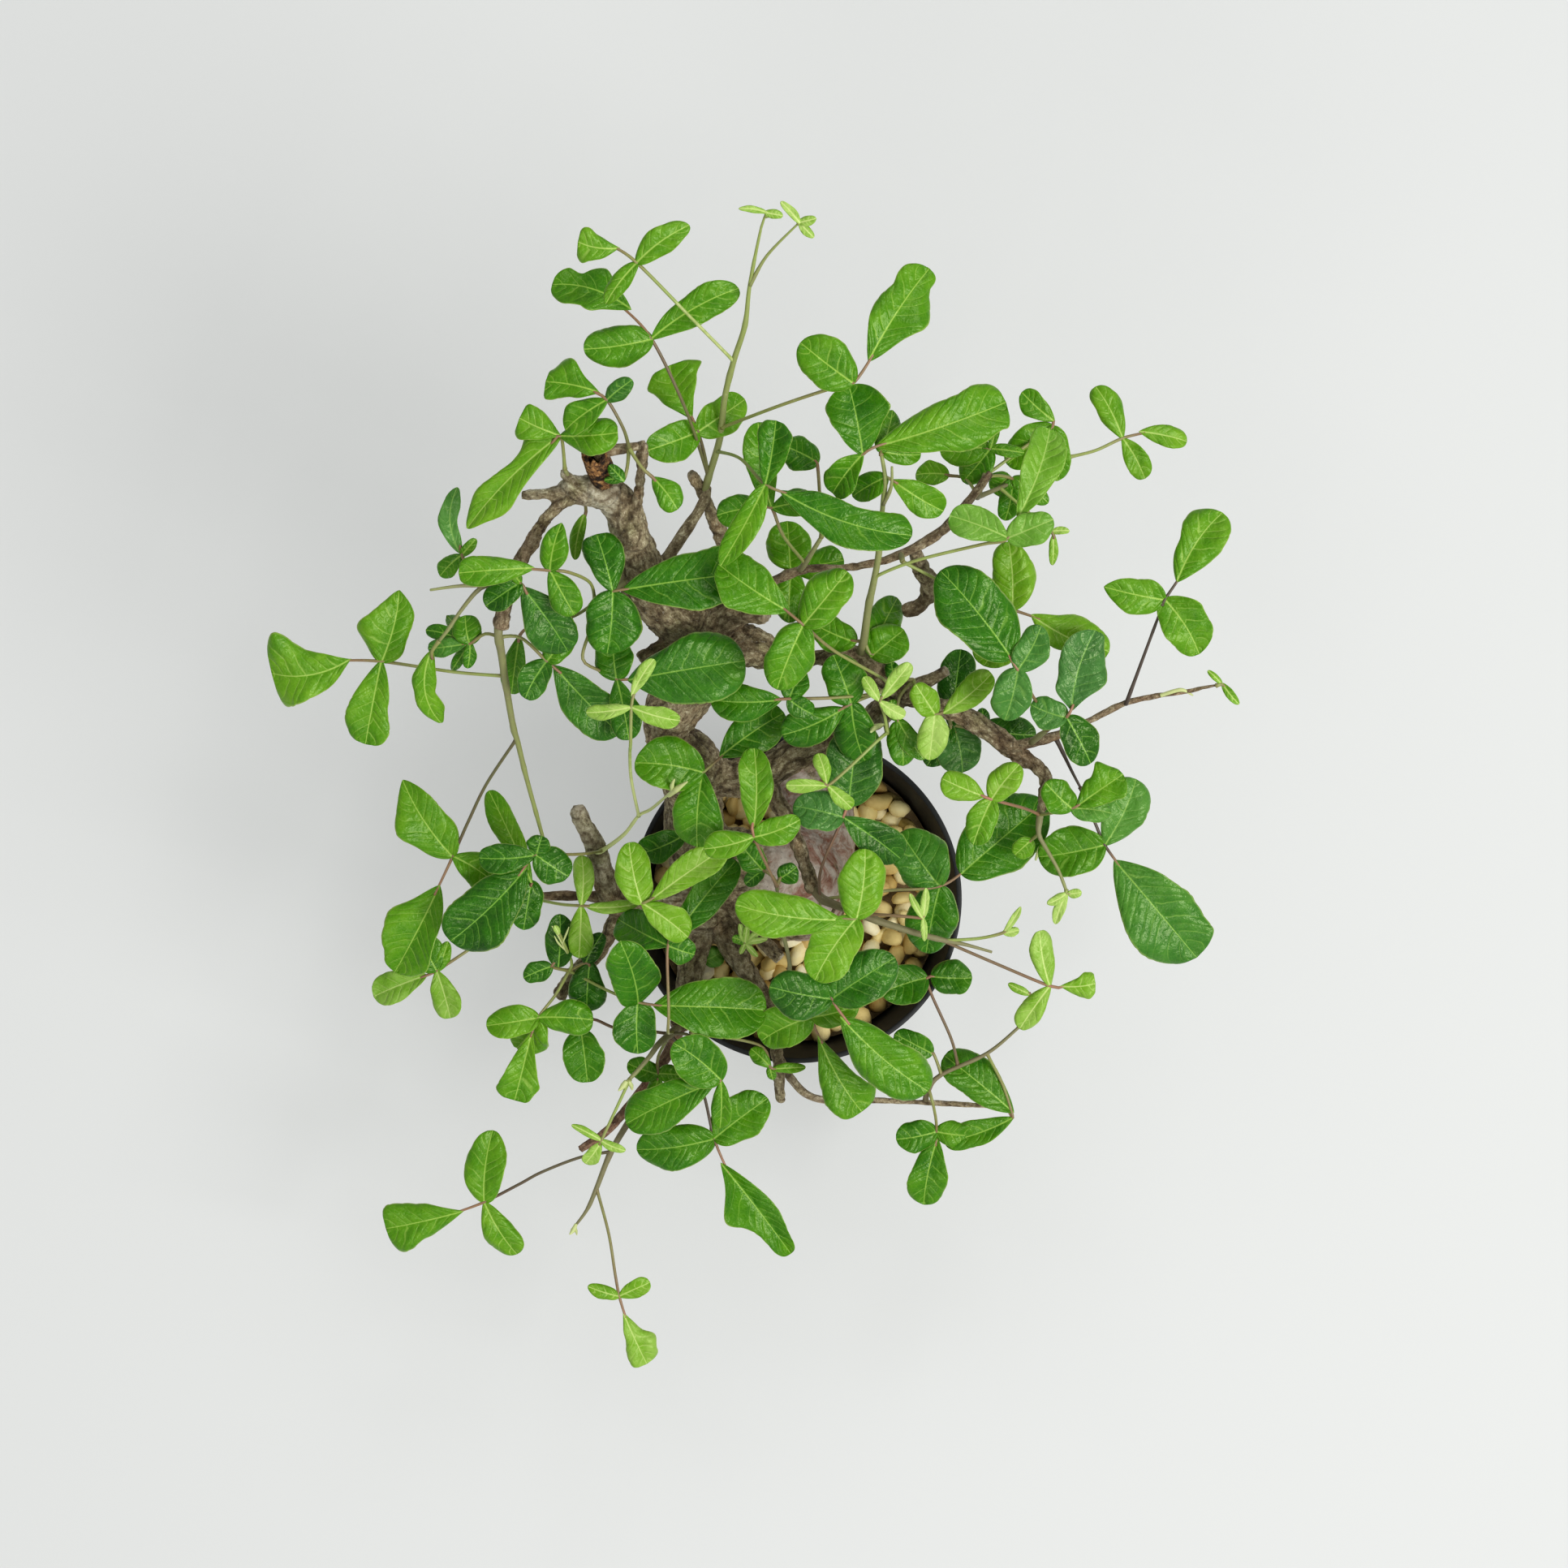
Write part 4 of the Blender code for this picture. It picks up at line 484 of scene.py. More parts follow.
soil = make_soil()
soil.data.materials.append(make_earth())
gravel = gravel_bed()
pour_gravel(gravel, gravel_tree(make_stone()), GRAIN_SPACING, GRAIN_RADIUS, GRAVEL_SEED)
for piece in (soil, gravel):
    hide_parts("gravel")
    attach(piece, "root")


# Wood. A swollen caudex leans back out of the gravel and splits into gnarled limbs, twigs and
# cut stubs. Its bark is grey-brown and furrowed, smooth and pale on the hooked limb, pinkish
# on the caudex, and reddish where it peels. The hook's paleness rising to its top and its
# darkening lower down are partly its own bark and partly painted light and painted shade, and
# the bark's cracks carry painted shade.
CAUDEX = [
    (990, 1108, 61, 11.5), (988, 1104, 72, 14.5), (984, 1098, 82, 16.4), (979, 1090, 91, 17.3),
    (970, 1078, 100, 16.0), (950, 1068, 105, 12.8), (921, 1062, 108, 10.0), (894, 1052, 112, 8.8),
]
CAUDEX_BACK = [
    (990, 1092, 80, 15.0), (1000, 1040, 84, 14.0), (1002, 985, 83, 12.2), (978, 940, 82, 9.0),
]
LEFT_LOBE = [
    (958, 1100, 92, 11.5), (915, 1095, 97, 12.5), (874, 1070, 106, 11.6), (857, 1020, 120, 9.6),
    (853, 970, 138, 8.8), (840, 932, 152, 7.6),
]
LIMBS = {
    "hook": [
        (866, 960, 146, 8.6), (844, 932, 153, 8.2), (821, 900, 160, 7.2), (842, 850, 170, 8.4),
        (868, 798, 179, 9.8), (850, 768, 186, 10.2), (815, 742, 194, 8.8), (790, 705, 201, 6.9),
        (776, 655, 209, 5.6), (765, 622, 215, 5.2), (742, 606, 220, 5.0), (710, 603, 222, 4.0),
        (697, 590, 223, 2.4),
    ],
    "hook_stub": [(718, 603, 222, 3.4), (675, 608, 221, 1.9), (643, 611, 219, 1.4)],
    "hook_peg": [(712, 604, 223, 2.6), (700, 590, 226, 1.5), (694, 581, 228, 1.2)],
    "hook_lower": [
        (712, 604, 222, 2.8), (672, 640, 220, 2.1), (648, 680, 218, 1.8), (632, 712, 217, 1.8),
        (616, 772, 213, 2.2),
    ],
    "hook_cut": [(745, 610, 218, 4.2), (740, 592, 227, 3.9), (736, 572, 234, 3.7)],
    "hook_twig": [
        (737, 566, 231, 1.5), (750, 556, 232, 1.3), (774, 552, 231, 1.1),
        (795, 548, 230, 1.0),
    ],
    "upright_twig": [
        (779, 655, 211, 2.4), (787, 606, 222, 1.7), (791, 570, 228, 1.3),
        (792, 547, 231, 1.2),
    ],
    "left_stub": [(858, 785, 182, 4.4), (822, 795, 188, 2.6), (787, 812, 189, 1.8)],
    "ringed_stub": [(880, 768, 187, 5.0), (915, 753, 193, 3.7), (945, 757, 196, 3.2)],
    "dark_twig": [
        (876, 765, 187, 3.6), (893, 700, 191, 2.4), (890, 665, 195, 2.0), (867, 610, 203, 1.9),
        (851, 584, 208, 1.5),
    ],
    "low_twig": [
        (800, 722, 196, 2.8), (822, 688, 199, 1.9), (864, 624, 203, 1.5),
        (872, 600, 205, 1.2),
    ],
    "right_limb": [
        (880, 962, 146, 5.6), (935, 955, 148, 5.2), (985, 925, 152, 5.6), (1030, 905, 156, 4.8),
        (1075, 885, 162, 4.2), (1108, 855, 172, 3.8),
    ],
    "cross_limb": [
        (885, 790, 181, 8.0), (925, 798, 183, 6.2), (955, 808, 183, 4.2), (1000, 812, 183, 2.7),
        (1050, 806, 182, 3.2), (1085, 832, 179, 3.6), (1108, 852, 174, 3.8), (1150, 868, 169, 3.0),
        (1190, 884, 167, 2.7), (1230, 910, 166, 2.9), (1254, 927, 165, 2.6), (1288, 956, 164, 1.8),
        (1284, 1000, 163, 1.2),
    ],
    "bud_stub": [(1112, 852, 174, 2.6), (1145, 838, 179, 1.9), (1166, 826, 182, 1.6)],
    "far_right": [
        (1240, 922, 165, 2.8), (1300, 907, 168, 2.2), (1350, 884, 171, 1.7), (1390, 865, 174, 1.4),
        (1430, 857, 176, 1.1), (1470, 850, 179, 1.0), (1505, 843, 181, 0.9),
    ],
    "high_right": [
        (900, 778, 184, 4.5), (935, 728, 194, 2.2), (990, 702, 199, 1.7), (1040, 700, 202, 1.6),
        (1090, 690, 203, 1.7), (1140, 668, 203, 2.1), (1175, 640, 201, 1.8), (1220, 583, 197, 1.5),
    ],
    "gnarl": [
        (1126, 676, 202, 2.0), (1134, 700, 194, 2.8), (1146, 722, 188, 2.9), (1136, 745, 184, 2.6),
        (1114, 752, 182, 2.2),
    ],
    "left_limb": [
        (905, 1105, 99, 8.6), (868, 1125, 103, 7.6), (830, 1118, 106, 6.0), (790, 1118, 110, 5.0),
        (761, 1111, 114, 4.7), (746, 1085, 119, 4.1), (734, 1045, 127, 3.2), (722, 1020, 133, 2.7),
        (711, 997, 139, 2.4),
    ],
    "left_twig": [(765, 1110, 114, 2.6), (720, 1104, 116, 1.6), (666, 1104, 117, 1.4)],
    "spur_twig": [
        (768, 1118, 113, 3.4), (752, 1150, 112, 2.6), (732, 1178, 114, 2.2), (705, 1202, 115, 2.3),
        (689, 1228, 115, 1.9),
    ],
    "front_limb": [
        (872, 1120, 102, 6.8), (858, 1160, 101, 5.0), (851, 1200, 103, 3.9), (846, 1240, 108, 3.2),
        (836, 1266, 111, 3.2),
    ],
    "peeling_twig": [
        (838, 1262, 111, 2.6), (822, 1300, 106, 2.2), (790, 1345, 103, 2.0), (748, 1393, 101, 1.7),
        (715, 1416, 101, 1.4),
    ],
    "front_right": [
        (890, 1140, 101, 5.0), (915, 1190, 101, 3.0), (945, 1230, 102, 2.4), (956, 1290, 102, 1.9),
        (962, 1357, 99, 1.5),
    ],
    "trailing_branch": [
        (956, 1292, 101, 1.9), (974, 1328, 96, 2.4), (1008, 1354, 92, 1.9), (1090, 1356, 88, 1.5),
        (1170, 1360, 85, 1.4), (1240, 1364, 82, 1.1),
    ],
    "cut_stub": [(905, 1118, 106, 3.6), (935, 1155, 114, 2.0), (962, 1181, 117, 1.8)],
    "front_arm": [
        (940, 955, 147, 4.0), (956, 984, 149, 2.8), (975, 1018, 151, 2.3), (990, 1060, 152, 2.0),
        (1003, 1098, 152, 2.1),
    ],
}
THICK_LIMBS = (
    "hook", "hook_stub", "left_stub", "ringed_stub", "right_limb", "cross_limb", "gnarl",
    "left_limb", "spur_twig", "front_limb", "front_right", "cut_stub", "front_arm", "upright_twig",
    "hook_lower", "hook_peg", "dark_twig")
LIMB_SKIN = {
    "hook": (0.80, 0.05), "hook_stub": (1.15, 0.0), "hook_peg": (1.00, 0.0),
    "hook_lower": (0.30, 0.35), "hook_cut": (0.10, 0.45),
    "hook_twig": (0.25, 0.35), "upright_twig": (0.15, 0.20), "left_stub": (0.30, 0.20),
    "ringed_stub": (0.60, 0.10), "dark_twig": (0.12, 0.15), "low_twig": (0.45, 0.10),
    "right_limb": (0.30, 0.08), "cross_limb": (0.12, 0.08), "bud_stub": (0.30, 0.30),
    "far_right": (-0.15, 0.42), "high_right": (-0.05, 0.35), "gnarl": (0.60, 0.10),
    "left_limb": (1.05, 0.0), "left_twig": (0.25, 0.60), "spur_twig": (0.50, 0.15),
    "front_limb": (0.85, 0.10), "peeling_twig": (0.00, 1.00), "front_right": (0.85, 0.10),
    "trailing_branch": (0.85, 0.20), "cut_stub": (0.45, 0.15), "front_arm": (0.50, 0.15)}
LIMB_SLIM = {
    "high_right": 0.72, "far_right": 0.60, "gnarl": 0.90, "hook_twig": 1.20, "dark_twig": 0.90,
    "trailing_branch": 0.62, "peeling_twig": 0.80, "hook_stub": 0.92}
CUT_ENDS = {
    "hook_stub": 0.55, "hook_peg": 0.50, "ringed_stub": 0.35, "cut_stub": 1.00,
    "left_limb": 0.25, "dark_twig": 0.20, "left_stub": 0.30, "bud_stub": 0.45, "hook_twig": 0.40}
CAUDEX_SKIN = (0.70, 0.0)
LOBE_SKIN = (0.40, 0.06)
NECK_HEIGHT = 0.108
# Above this height the hook pales towards its top, and below it the hook darkens: partly its own
# smooth bark, partly painted light and painted shade.
HOOK_SMOOTH_LIT_HEIGHT = 0.203
HOOK_PALE, HOOK_PALEST, HOOK_DULLEST = 0.50, 1.20, 0.25
HOOK_FADE_UP, HOOK_FADE_DOWN = 55, 20
HOOK_CROWN = {"upright_twig": 0.2135, "hook_cut": 0.227}
CAUDEX_STEP = 0.003
CAUDEX_SIDES = 36
LOBE_SIDES = 30
LIMB_STEP = 0.002
LIMB_SIDES = 24
CUT_DOME = 0.05
GNARL = 0.16
WOOD_VOXEL = 0.00068
WOOD_EASE = 0.6
BARK_LUMP = 0.0009
BARK_FURROW = 0.0007
BARK_GRIT = 0.00034
GRAIN_STRETCH = 0.50
CRACK_SHARPNESS = 2.6
CRACK_SEED = 5
SKIN_BLEND = 8
TWIG_SIDES = 12
TWIG_STEP = 0.0013
TWIG_NOISE = 0.00022
PEEL_TOP = 0.136
PEEL_FULL = 0.117
HOLLOW_BASE = (744, 591, 223)
HOLLOW_MOUTH = (732, 559, 233)
HOLLOW_RADIUS = 0.0037
HOLLOW_SIDES = 40
HOLLOW_PROFILE = (
    (1.00, 0.0), (1.04, 0.45), (1.00, 0.85), (0.98, 1.0), (0.80, 1.02), (0.72, 0.90), (0.62, 0.62),
    (0.45, 0.40))
HOLLOW_BOTTOM = 0.38
HOLLOW_FURROW = 0.0002
HOLLOW_GRIT = 0.0001
SLIVERS = 13
SLIVER_RADIUS = 0.00042
SLIVER_SEED = 7
OLD_BARK = (
    (0.38, (0.040, 0.029, 0.016)), (0.45, (0.195, 0.150, 0.086)),
    (0.53, (0.390, 0.325, 0.205)), (0.60, (0.700, 0.640, 0.480)))
FRESH_BARK = (
    (0.38, (0.060, 0.043, 0.023)), (0.45, (0.215, 0.170, 0.100)),
    (0.53, (0.400, 0.340, 0.220)), (0.60, (0.720, 0.660, 0.500)))
RED_BARK = (
    (0.38, (0.060, 0.026, 0.016)), (0.50, (0.225, 0.112, 0.074)), (0.64, (0.400, 0.250, 0.175)))
SMOOTH_BARK = (
    (0.38, (0.160, 0.125, 0.080)), (0.45, (0.380, 0.330, 0.235)),
    (0.53, (0.580, 0.530, 0.410)), (0.61, (0.780, 0.740, 0.620)))
STAINS = (
    (0.36, (0.76, 0.80, 0.62)), (0.46, (1, 1, 0.94)), (0.56, (1, 1, 0.94)),
    (0.68, (1.0, 0.85, 0.70)))
PEELED_SKIN = (
    (0.36, (0.290, 0.110, 0.070)), (0.44, (0.430, 0.270, 0.210)),
    (0.50, (0.560, 0.455, 0.390)), (0.62, (0.680, 0.600, 0.530)))
FURROW_SHADE = (0.34, 0.28, 0.22)
FLECK_COLOUR = (0.55, 0.50, 0.41, 1)
PIT_COLOUR = (0.045, 0.03, 0.02, 1)
SAWN_WOOD = ((0.35, (0.34, 0.24, 0.13)), (0.60, (0.78, 0.70, 0.55)))
ROTTEN_WOOD = (
    (0.32, (0.020, 0.011, 0.006)), (0.46, (0.120, 0.055, 0.022)),
    (0.58, (0.420, 0.215, 0.075)), (0.72, (0.620, 0.420, 0.200)))
ROT_SHADE = (0.10, 0.08, 0.07)


def spot(across, down, height_mm):
    """Point in the pot's frame from where it is seen, in pixels, and its height."""
    height = height_mm / 1000.0
    scale = (VIEW_HEIGHT - height) / VIEW_FOCAL_PIXELS
    x = (across - VIEW_MIDDLE_PIXEL) * scale - POT_X
    y = (VIEW_MIDDLE_PIXEL - down) * scale - POT_Y
    return Vector((x, y, height))


def route(points, step):
    """Smooth route through (across, down, height, radius), as places and radii a step apart."""
    places = [spot(*point[:3]) for point in points]
    radii = [point[3] / 1000 for point in points]
    last = len(points) - 1
    result = []
    for i in range(last):
        p0, p1, p2, p3 = (places[j] for j in (max(i - 1, 0), i, i + 1, min(i + 2, last)))
        count = max(2, round((p2 - p1).length / step))
        for k in range(count):
            t = k / count
            place_at = 0.5 * (2 * p1 + (p2 - p0) * t + (2 * p0 - 5 * p1 + 4 * p2 - p3) * t * t
                              + (3 * p1 - p0 - 3 * p2 + p3) * t ** 3)
            result.append((place_at, radii[i] + (radii[i + 1] - radii[i]) * t))
    result.append((places[last], radii[last]))
    return result


def ring_faces(rings, sides):
    """Faces of a closed skin over rings of points, which are followed by its two end points."""
    faces = []
    for i in range(rings - 1):
        for k in range(sides):
            a, b = i * sides + k, i * sides + (k + 1) % sides
            faces.append((a, b, b + sides, a + sides))
    first, last = rings * sides, (rings - 1) * sides
    for k in range(sides):
        faces.append((first, (k + 1) % sides, k))
        faces.append((first + 1, last + k, last + (k + 1) % sides))
    return faces


def tube(path, sides, domed):
    """Points and faces of a closed tube along (place, radius) pairs, with domed ends."""
    points = []
    side = None
    for i, (centre, radius) in enumerate(path):
        direction = (path[min(i + 1, len(path) - 1)][0] - path[max(i - 1, 0)][0]).normalized()
        if side is None:
            side = direction.orthogonal().normalized()
        side = (side - direction * side.dot(direction)).normalized()
        up = direction.cross(side)
        for k in range(sides):
            angle = math.tau * k / sides
            points.append(centre + (side * math.cos(angle) + up * math.sin(angle)) * radius)
    start_way = (path[0][0] - path[1][0]).normalized()
    end_way = (path[-1][0] - path[-2][0]).normalized()
    points.append(path[0][0] + start_way * path[0][1] * domed)
    points.append(path[-1][0] + end_way * path[-1][1] * domed)
    return points, ring_faces(len(path), sides)


def joined(name, shapes):
    """One object of several (points, faces) shapes."""
    points, faces = [], []
    for shape_points, shape_faces in shapes:
        shift = len(points)
        points.extend(tuple(p) for p in shape_points)
        faces.extend(tuple(i + shift for i in face) for face in shape_faces)
    mesh = bpy.data.meshes.new(name)
    mesh.from_pydata(points, [], faces)
    return placed(name, mesh)


def gnarled(path, seed):
    """Path with its girth swelling and pinching as old wood does."""
    result = []
    for place_at, radius in path:
        swell = noise.noise(place_at * 62 + Vector((seed, 0, 0)))
        swell += 0.5 * noise.noise(place_at * 170)
        result.append((place_at, radius * (1 + GNARL * swell)))
    return result


def limb(name, step):
    """A limb's route, with the girth it has in the scene."""
    slim = LIMB_SLIM.get(name, 1.0)
    return [(place_at, radius * slim) for place_at, radius in route(LIMBS[name], step)]


def skin_lookup():
    """Nearest-point tree over all middle lines, with each point's skin and its grain's frame."""
    marks = []

    def add(path, skin_of, seed):
        side, run = None, 0.0
        for i, (place_at, _) in enumerate(path):
            before, after = path[max(i - 1, 0)][0], path[min(i + 1, len(path) - 1)][0]
            way = (after - before).normalized()
            side = way.orthogonal() if side is None else side - way * side.dot(way)
            side.normalize()
            run += (place_at - before).length
            marks.append((place_at, skin_of(place_at), way, side, way.cross(side), run + seed))

    def caudex_skin(place_at):
        return CAUDEX_SKIN if place_at.z < NECK_HEIGHT else LOBE_SKIN

    add(route(CAUDEX, LIMB_STEP), caudex_skin, 0.0)
    add(route(CAUDEX_BACK, LIMB_STEP), lambda place_at: CAUDEX_SKIN, 0.2)
    add(route(LEFT_LOBE, LIMB_STEP), lambda place_at: LOBE_SKIN, 0.5)
    for seed, name in enumerate(LIMBS):
        def skin_of(place_at, name=name):
            # The hook pales up its upper part and darkens below it: partly the bark's own colour,
            # partly painted light on its lit top and painted shade lower down.
            above = place_at.z - HOOK_SMOOTH_LIT_HEIGHT
            if name == "hook" and above < 0:
                return (max(HOOK_DULLEST, HOOK_PALE + above * HOOK_FADE_DOWN), 0.12)
            if name == "hook" or name in HOOK_CROWN and place_at.z < HOOK_CROWN[name]:
                return (min(HOOK_PALEST, HOOK_PALE + above * HOOK_FADE_UP), 0.03)
            return LIMB_SKIN[name]
        add(route(LIMBS[name], LIMB_STEP), skin_of, 1.0 + seed)
    tree = kdtree.KDTree(len(marks))
    for i, mark in enumerate(marks):
        tree.insert(mark[0], i)
    tree.balance()
    return tree, marks


def cut_shares(places, normals):
    """How much each point lies on a sawn end."""
    result = np.zeros(len(places))
    for name, share in CUT_ENDS.items():
        path = limb(name, LIMB_STEP)
        end, radius = path[-1]
        way = np.array(tuple((end - path[-3][0]).normalized()))
        reach = np.linalg.norm(places - np.array(tuple(end)), axis=1)
        faced = (reach < radius * 1.3 + 0.0006) & (normals @ way > 0.55)
        result[faced] = share
    return result


def roughen(item, lump, furrow, grit, tree, marks):
    """Push wood in and out with lumps, furrows and grit, and note its skin and grain."""
    # noise_vector takes its offsets from the clock unless its seed is set.
    noise.seed_set(CRACK_SEED)
    mesh = item.data
    count = len(mesh.vertices)
    places = np.empty(count * 3)
    mesh.vertices.foreach_get("co", places)
    places = places.reshape(-1, 3)
    normals = np.array([tuple(v.normal) for v in mesh.vertices])
    push = np.empty(count)
    notes = np.empty((count, 4))
    ways = np.empty((count, 3))
    for i, row in enumerate(places):
        here = Vector(row)
        near = [marks[k] for _, k, _ in tree.find_n(here, SKIN_BLEND)]
        pale = sum(n[1][0] for n in near) / SKIN_BLEND
        warm = sum(n[1][1] for n in near) / SKIN_BLEND
        bare = sum(n[1] is CAUDEX_SKIN for n in near[:3]) / 3
        centre, _, way, side, up, run = near[0]
        off = here - centre
        local = Vector(((run + off.dot(way)) * GRAIN_STRETCH, off.dot(side), off.dot(up)))
        bent = local + noise.noise_vector(here * 70) * 0.0014
        crack = max(1 - abs(noise.noise(bent * 330)) * CRACK_SHARPNESS, 0)
        peeling = near[0][1] is CAUDEX_SKIN and here.z < PEEL_FULL
        hard = (1 - 0.60 * pale) * (0.45 if peeling else 1.0)
        push[i] = (lump * hard * (noise.noise(here * 88) + 0.6 * noise.noise(here * 190))
                   - furrow * hard * crack ** 2 + furrow * 0.3 * hard
                   + grit * (noise.noise(here * 480) + 0.6 * noise.noise(here * 1100)))
        notes[i] = (pale, warm, crack, bare)
        ways[i] = local
    notes = np.column_stack([notes, cut_shares(places, normals)])
    push *= 1 - notes[:, 4]
    places += normals * push[:, None]
    mesh.vertices.foreach_set("co", places.ravel())
    for column, name in enumerate(("Pale", "Warm", "Crack", "Bare", "Cut")):
        layer = mesh.attributes.new(name, "FLOAT", "POINT")
        layer.data.foreach_set("value", notes[:, column].astype(np.float32))
    layer = mesh.attributes.new("Way", "FLOAT_VECTOR", "POINT")
    layer.data.foreach_set("vector", ways.astype(np.float32).ravel())
    mesh.update()
    mesh.shade_smooth()


def make_wood():
    """Caudex and thick limbs as tubes grown into one skin."""
    thick = [
        tube(route(CAUDEX, CAUDEX_STEP), CAUDEX_SIDES, 0.3),
        tube(route(CAUDEX_BACK, CAUDEX_STEP), CAUDEX_SIDES, 0.5),
        tube(route(LEFT_LOBE, CAUDEX_STEP), LOBE_SIDES, 0.3)]
    for seed, name in enumerate(THICK_LIMBS):
        domed = CUT_DOME if name in CUT_ENDS else 0.25
        thick.append(tube(gnarled(limb(name, LIMB_STEP), seed), LIMB_SIDES, domed))
    body = joined("caudex_and_limbs", thick)
    skin = body.modifiers.new("Skin", "REMESH")
    skin.mode = "VOXEL"
    skin.voxel_size = WOOD_VOXEL
    ease = body.modifiers.new("Ease", "SMOOTH")
    ease.factor = WOOD_EASE
    ease.iterations = 2
    return settle(body)


def make_twigs():
    """Thin limbs as single tubes. The hollow stub stands for the one named hook_cut."""
    shapes = []
    for seed, name in enumerate(LIMBS):
        if name not in THICK_LIMBS and name != "hook_cut":
            domed = CUT_DOME if name in CUT_ENDS else 0.35
            shapes.append(tube(gnarled(limb(name, TWIG_STEP), seed + 40), TWIG_SIDES, domed))
    return joined("twigs", shapes)


def make_bark():
    """Fibrous bark by how pale, warm, cracked, bare or sawn the mesh notes it to be, with painted
    shade in its cracks.
    """
    bark = Finish("furrowed_bark")
    strands = bark.grain(900.0, 8.0, 0.76, bark.noted("Way", "Vector"), 0.7)
    crumbs = bark.grain(620.0, 8.0, 0.80, None, 0.4)
    fibre = bark.scaled(bark.add(strands, crumbs), 0.5)
    patch = bark.grain(120.0, 6.0, 0.65, None, 0.6)
    fleck = bark.grain(1100.0, 3.0, 0.65)
    blend = bark.add(bark.noted("Pale"), bark.swing(patch, 0.9))
    colour = bark.mix(blend, bark.ramp(fibre, *OLD_BARK), bark.ramp(fibre, *FRESH_BARK))
    colour = bark.mix(bark.remap(blend, 0.85, 1.15), colour, bark.ramp(fibre, *SMOOTH_BARK))
    blush = bark.scaled(bark.add(bark.noted("Warm"), bark.math("SUBTRACT", patch, 0.5)), 0.9)
    colour = bark.mix(blush, colour, bark.ramp(fibre, *RED_BARK))
    stain = bark.ramp(bark.grain(58.0, 4.0, 0.6, None, 0.8), *STAINS)
    colour = bark.mix(0.75, colour, stain, "MULTIPLY")
    low = bark.remap(bark.height(), PEEL_TOP, PEEL_FULL)
    peeled = bark.ramp(bark.grain(52.0, 5.0, 0.65), (0.36, BLACK), (0.44, WHITE))
    bare = bark.math("MULTIPLY", bark.math("MULTIPLY", low, peeled), bark.noted("Bare"))
    skin = bark.ramp(bark.grain(95.0, 7.0, 0.68, None, 1.6), *PEELED_SKIN)
    colour = bark.mix(bark.scaled(bare, 0.92), colour, skin)
    # Painted shade: the bark is darkened in its cracks, less where it is bare.
    furrow = bark.ramp(bark.noted("Crack"), (0.35, WHITE), (0.95, FURROW_SHADE))
    depth = bark.math("SUBTRACT", 0.9, bark.scaled(bare, 0.65))
    colour = bark.mix(depth, colour, furrow, "MULTIPLY")
    flecks = bark.ramp(fleck, (0.60, BLACK), (0.68, WHITE))
    colour = bark.mix(bark.scaled(flecks, 0.35), colour, FLECK_COLOUR)
    pits = bark.ramp(fleck, (0.30, WHITE), (0.40, BLACK))
    colour = bark.mix(bark.scaled(pits, 0.35), colour, PIT_COLOUR)
    sawn = bark.ramp(bark.grain(900.0, 3.0, 0.6), *SAWN_WOOD)
    bark.give("Base Color", bark.mix(bark.noted("Cut"), colour, sawn))
    bark.give("Roughness", 0.78)
    bark.bump(bark.add(fibre, bark.scaled(fleck, 0.35)), 1.0, 0.0011)
    return bark.material


def make_hollow_stub():
    """Thick stub sawn off the hook and rotted out: a torn ring of wood round a dark hollow."""
    base, mouth = spot(*HOLLOW_BASE), spot(*HOLLOW_MOUTH)
    way = (mouth - base).normalized()
    side = way.orthogonal().normalized()
    other = way.cross(side)
    length = (mouth - base).length
    points = []
    for radius, at in HOLLOW_PROFILE:
        for k in range(HOLLOW_SIDES):
            angle = math.tau * k / HOLLOW_SIDES
            spoke = side * math.cos(angle) + other * math.sin(angle)
            torn = noise.noise(spoke * 2.6) * 0.0024 + noise.noise(spoke * 7.0) * 0.0011
            share = max(0.0, at - 0.4) / 0.6 if radius > 0.7 else 0.0
            swell = 1 + 0.10 * noise.noise(spoke * 2.0 + way * at * 3)
            rise = way * (at * length + torn * share)
            points.append(base + rise + spoke * HOLLOW_RADIUS * radius * swell)
    points += [base, base + way * length * HOLLOW_BOTTOM]
    shapes = [(points, ring_faces(len(HOLLOW_PROFILE), HOLLOW_SIDES))]
    chance = random.Random(SLIVER_SEED)
    for k in range(SLIVERS):
        angle = math.tau * k / SLIVERS + chance.uniform(-0.2, 0.2)
        spoke = side * math.cos(angle) + other * math.sin(angle)
        foot = base + way * length * 0.35 + spoke * HOLLOW_RADIUS * 0.42
        head = mouth + way * chance.uniform(-0.0012, 0.0016)
        head = head + spoke * HOLLOW_RADIUS * chance.uniform(0.45, 0.8)
        path = [(foot.lerp(head, t / 5), SLIVER_RADIUS * (1.15 - t / 5)) for t in range(6)]
        shapes.append(tube(path, 5, 0.2))
    return joined("hollow_stub", shapes)


def make_rotten_wood():
    """Dark, fibrous, torn wood."""
    rot = Finish("torn_wood")
    fibre = rot.grain(900.0, 6.0, 0.7)
    char = rot.ramp(rot.grain(340.0, 4.0, 0.6), (0.42, ROT_SHADE), (0.56, WHITE))
    rot.give("Base Color", rot.mix(1.0, rot.ramp(fibre, *ROTTEN_WOOD), char, "MULTIPLY"))
    rot.give("Roughness", 0.85)
    rot.bump(fibre, 0.9, 0.0006)
    return rot.material


bark_finish = make_bark()
limb_tree, limb_skins = skin_lookup()
body, twigs = make_wood(), make_twigs()
roughen(body, BARK_LUMP, BARK_FURROW, BARK_GRIT, limb_tree, limb_skins)
roughen(twigs, TWIG_NOISE, TWIG_NOISE, TWIG_NOISE * 0.6, limb_tree, limb_skins)
stub = make_hollow_stub()
roughen(stub, 0.0, HOLLOW_FURROW, HOLLOW_GRIT, limb_tree, limb_skins)
for piece, finish in ((body, bark_finish), (twigs, bark_finish), (stub, make_rotten_wood())):
    piece.data.materials.clear()
    piece.data.materials.append(finish)
    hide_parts("trunk")
    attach(piece, "root")


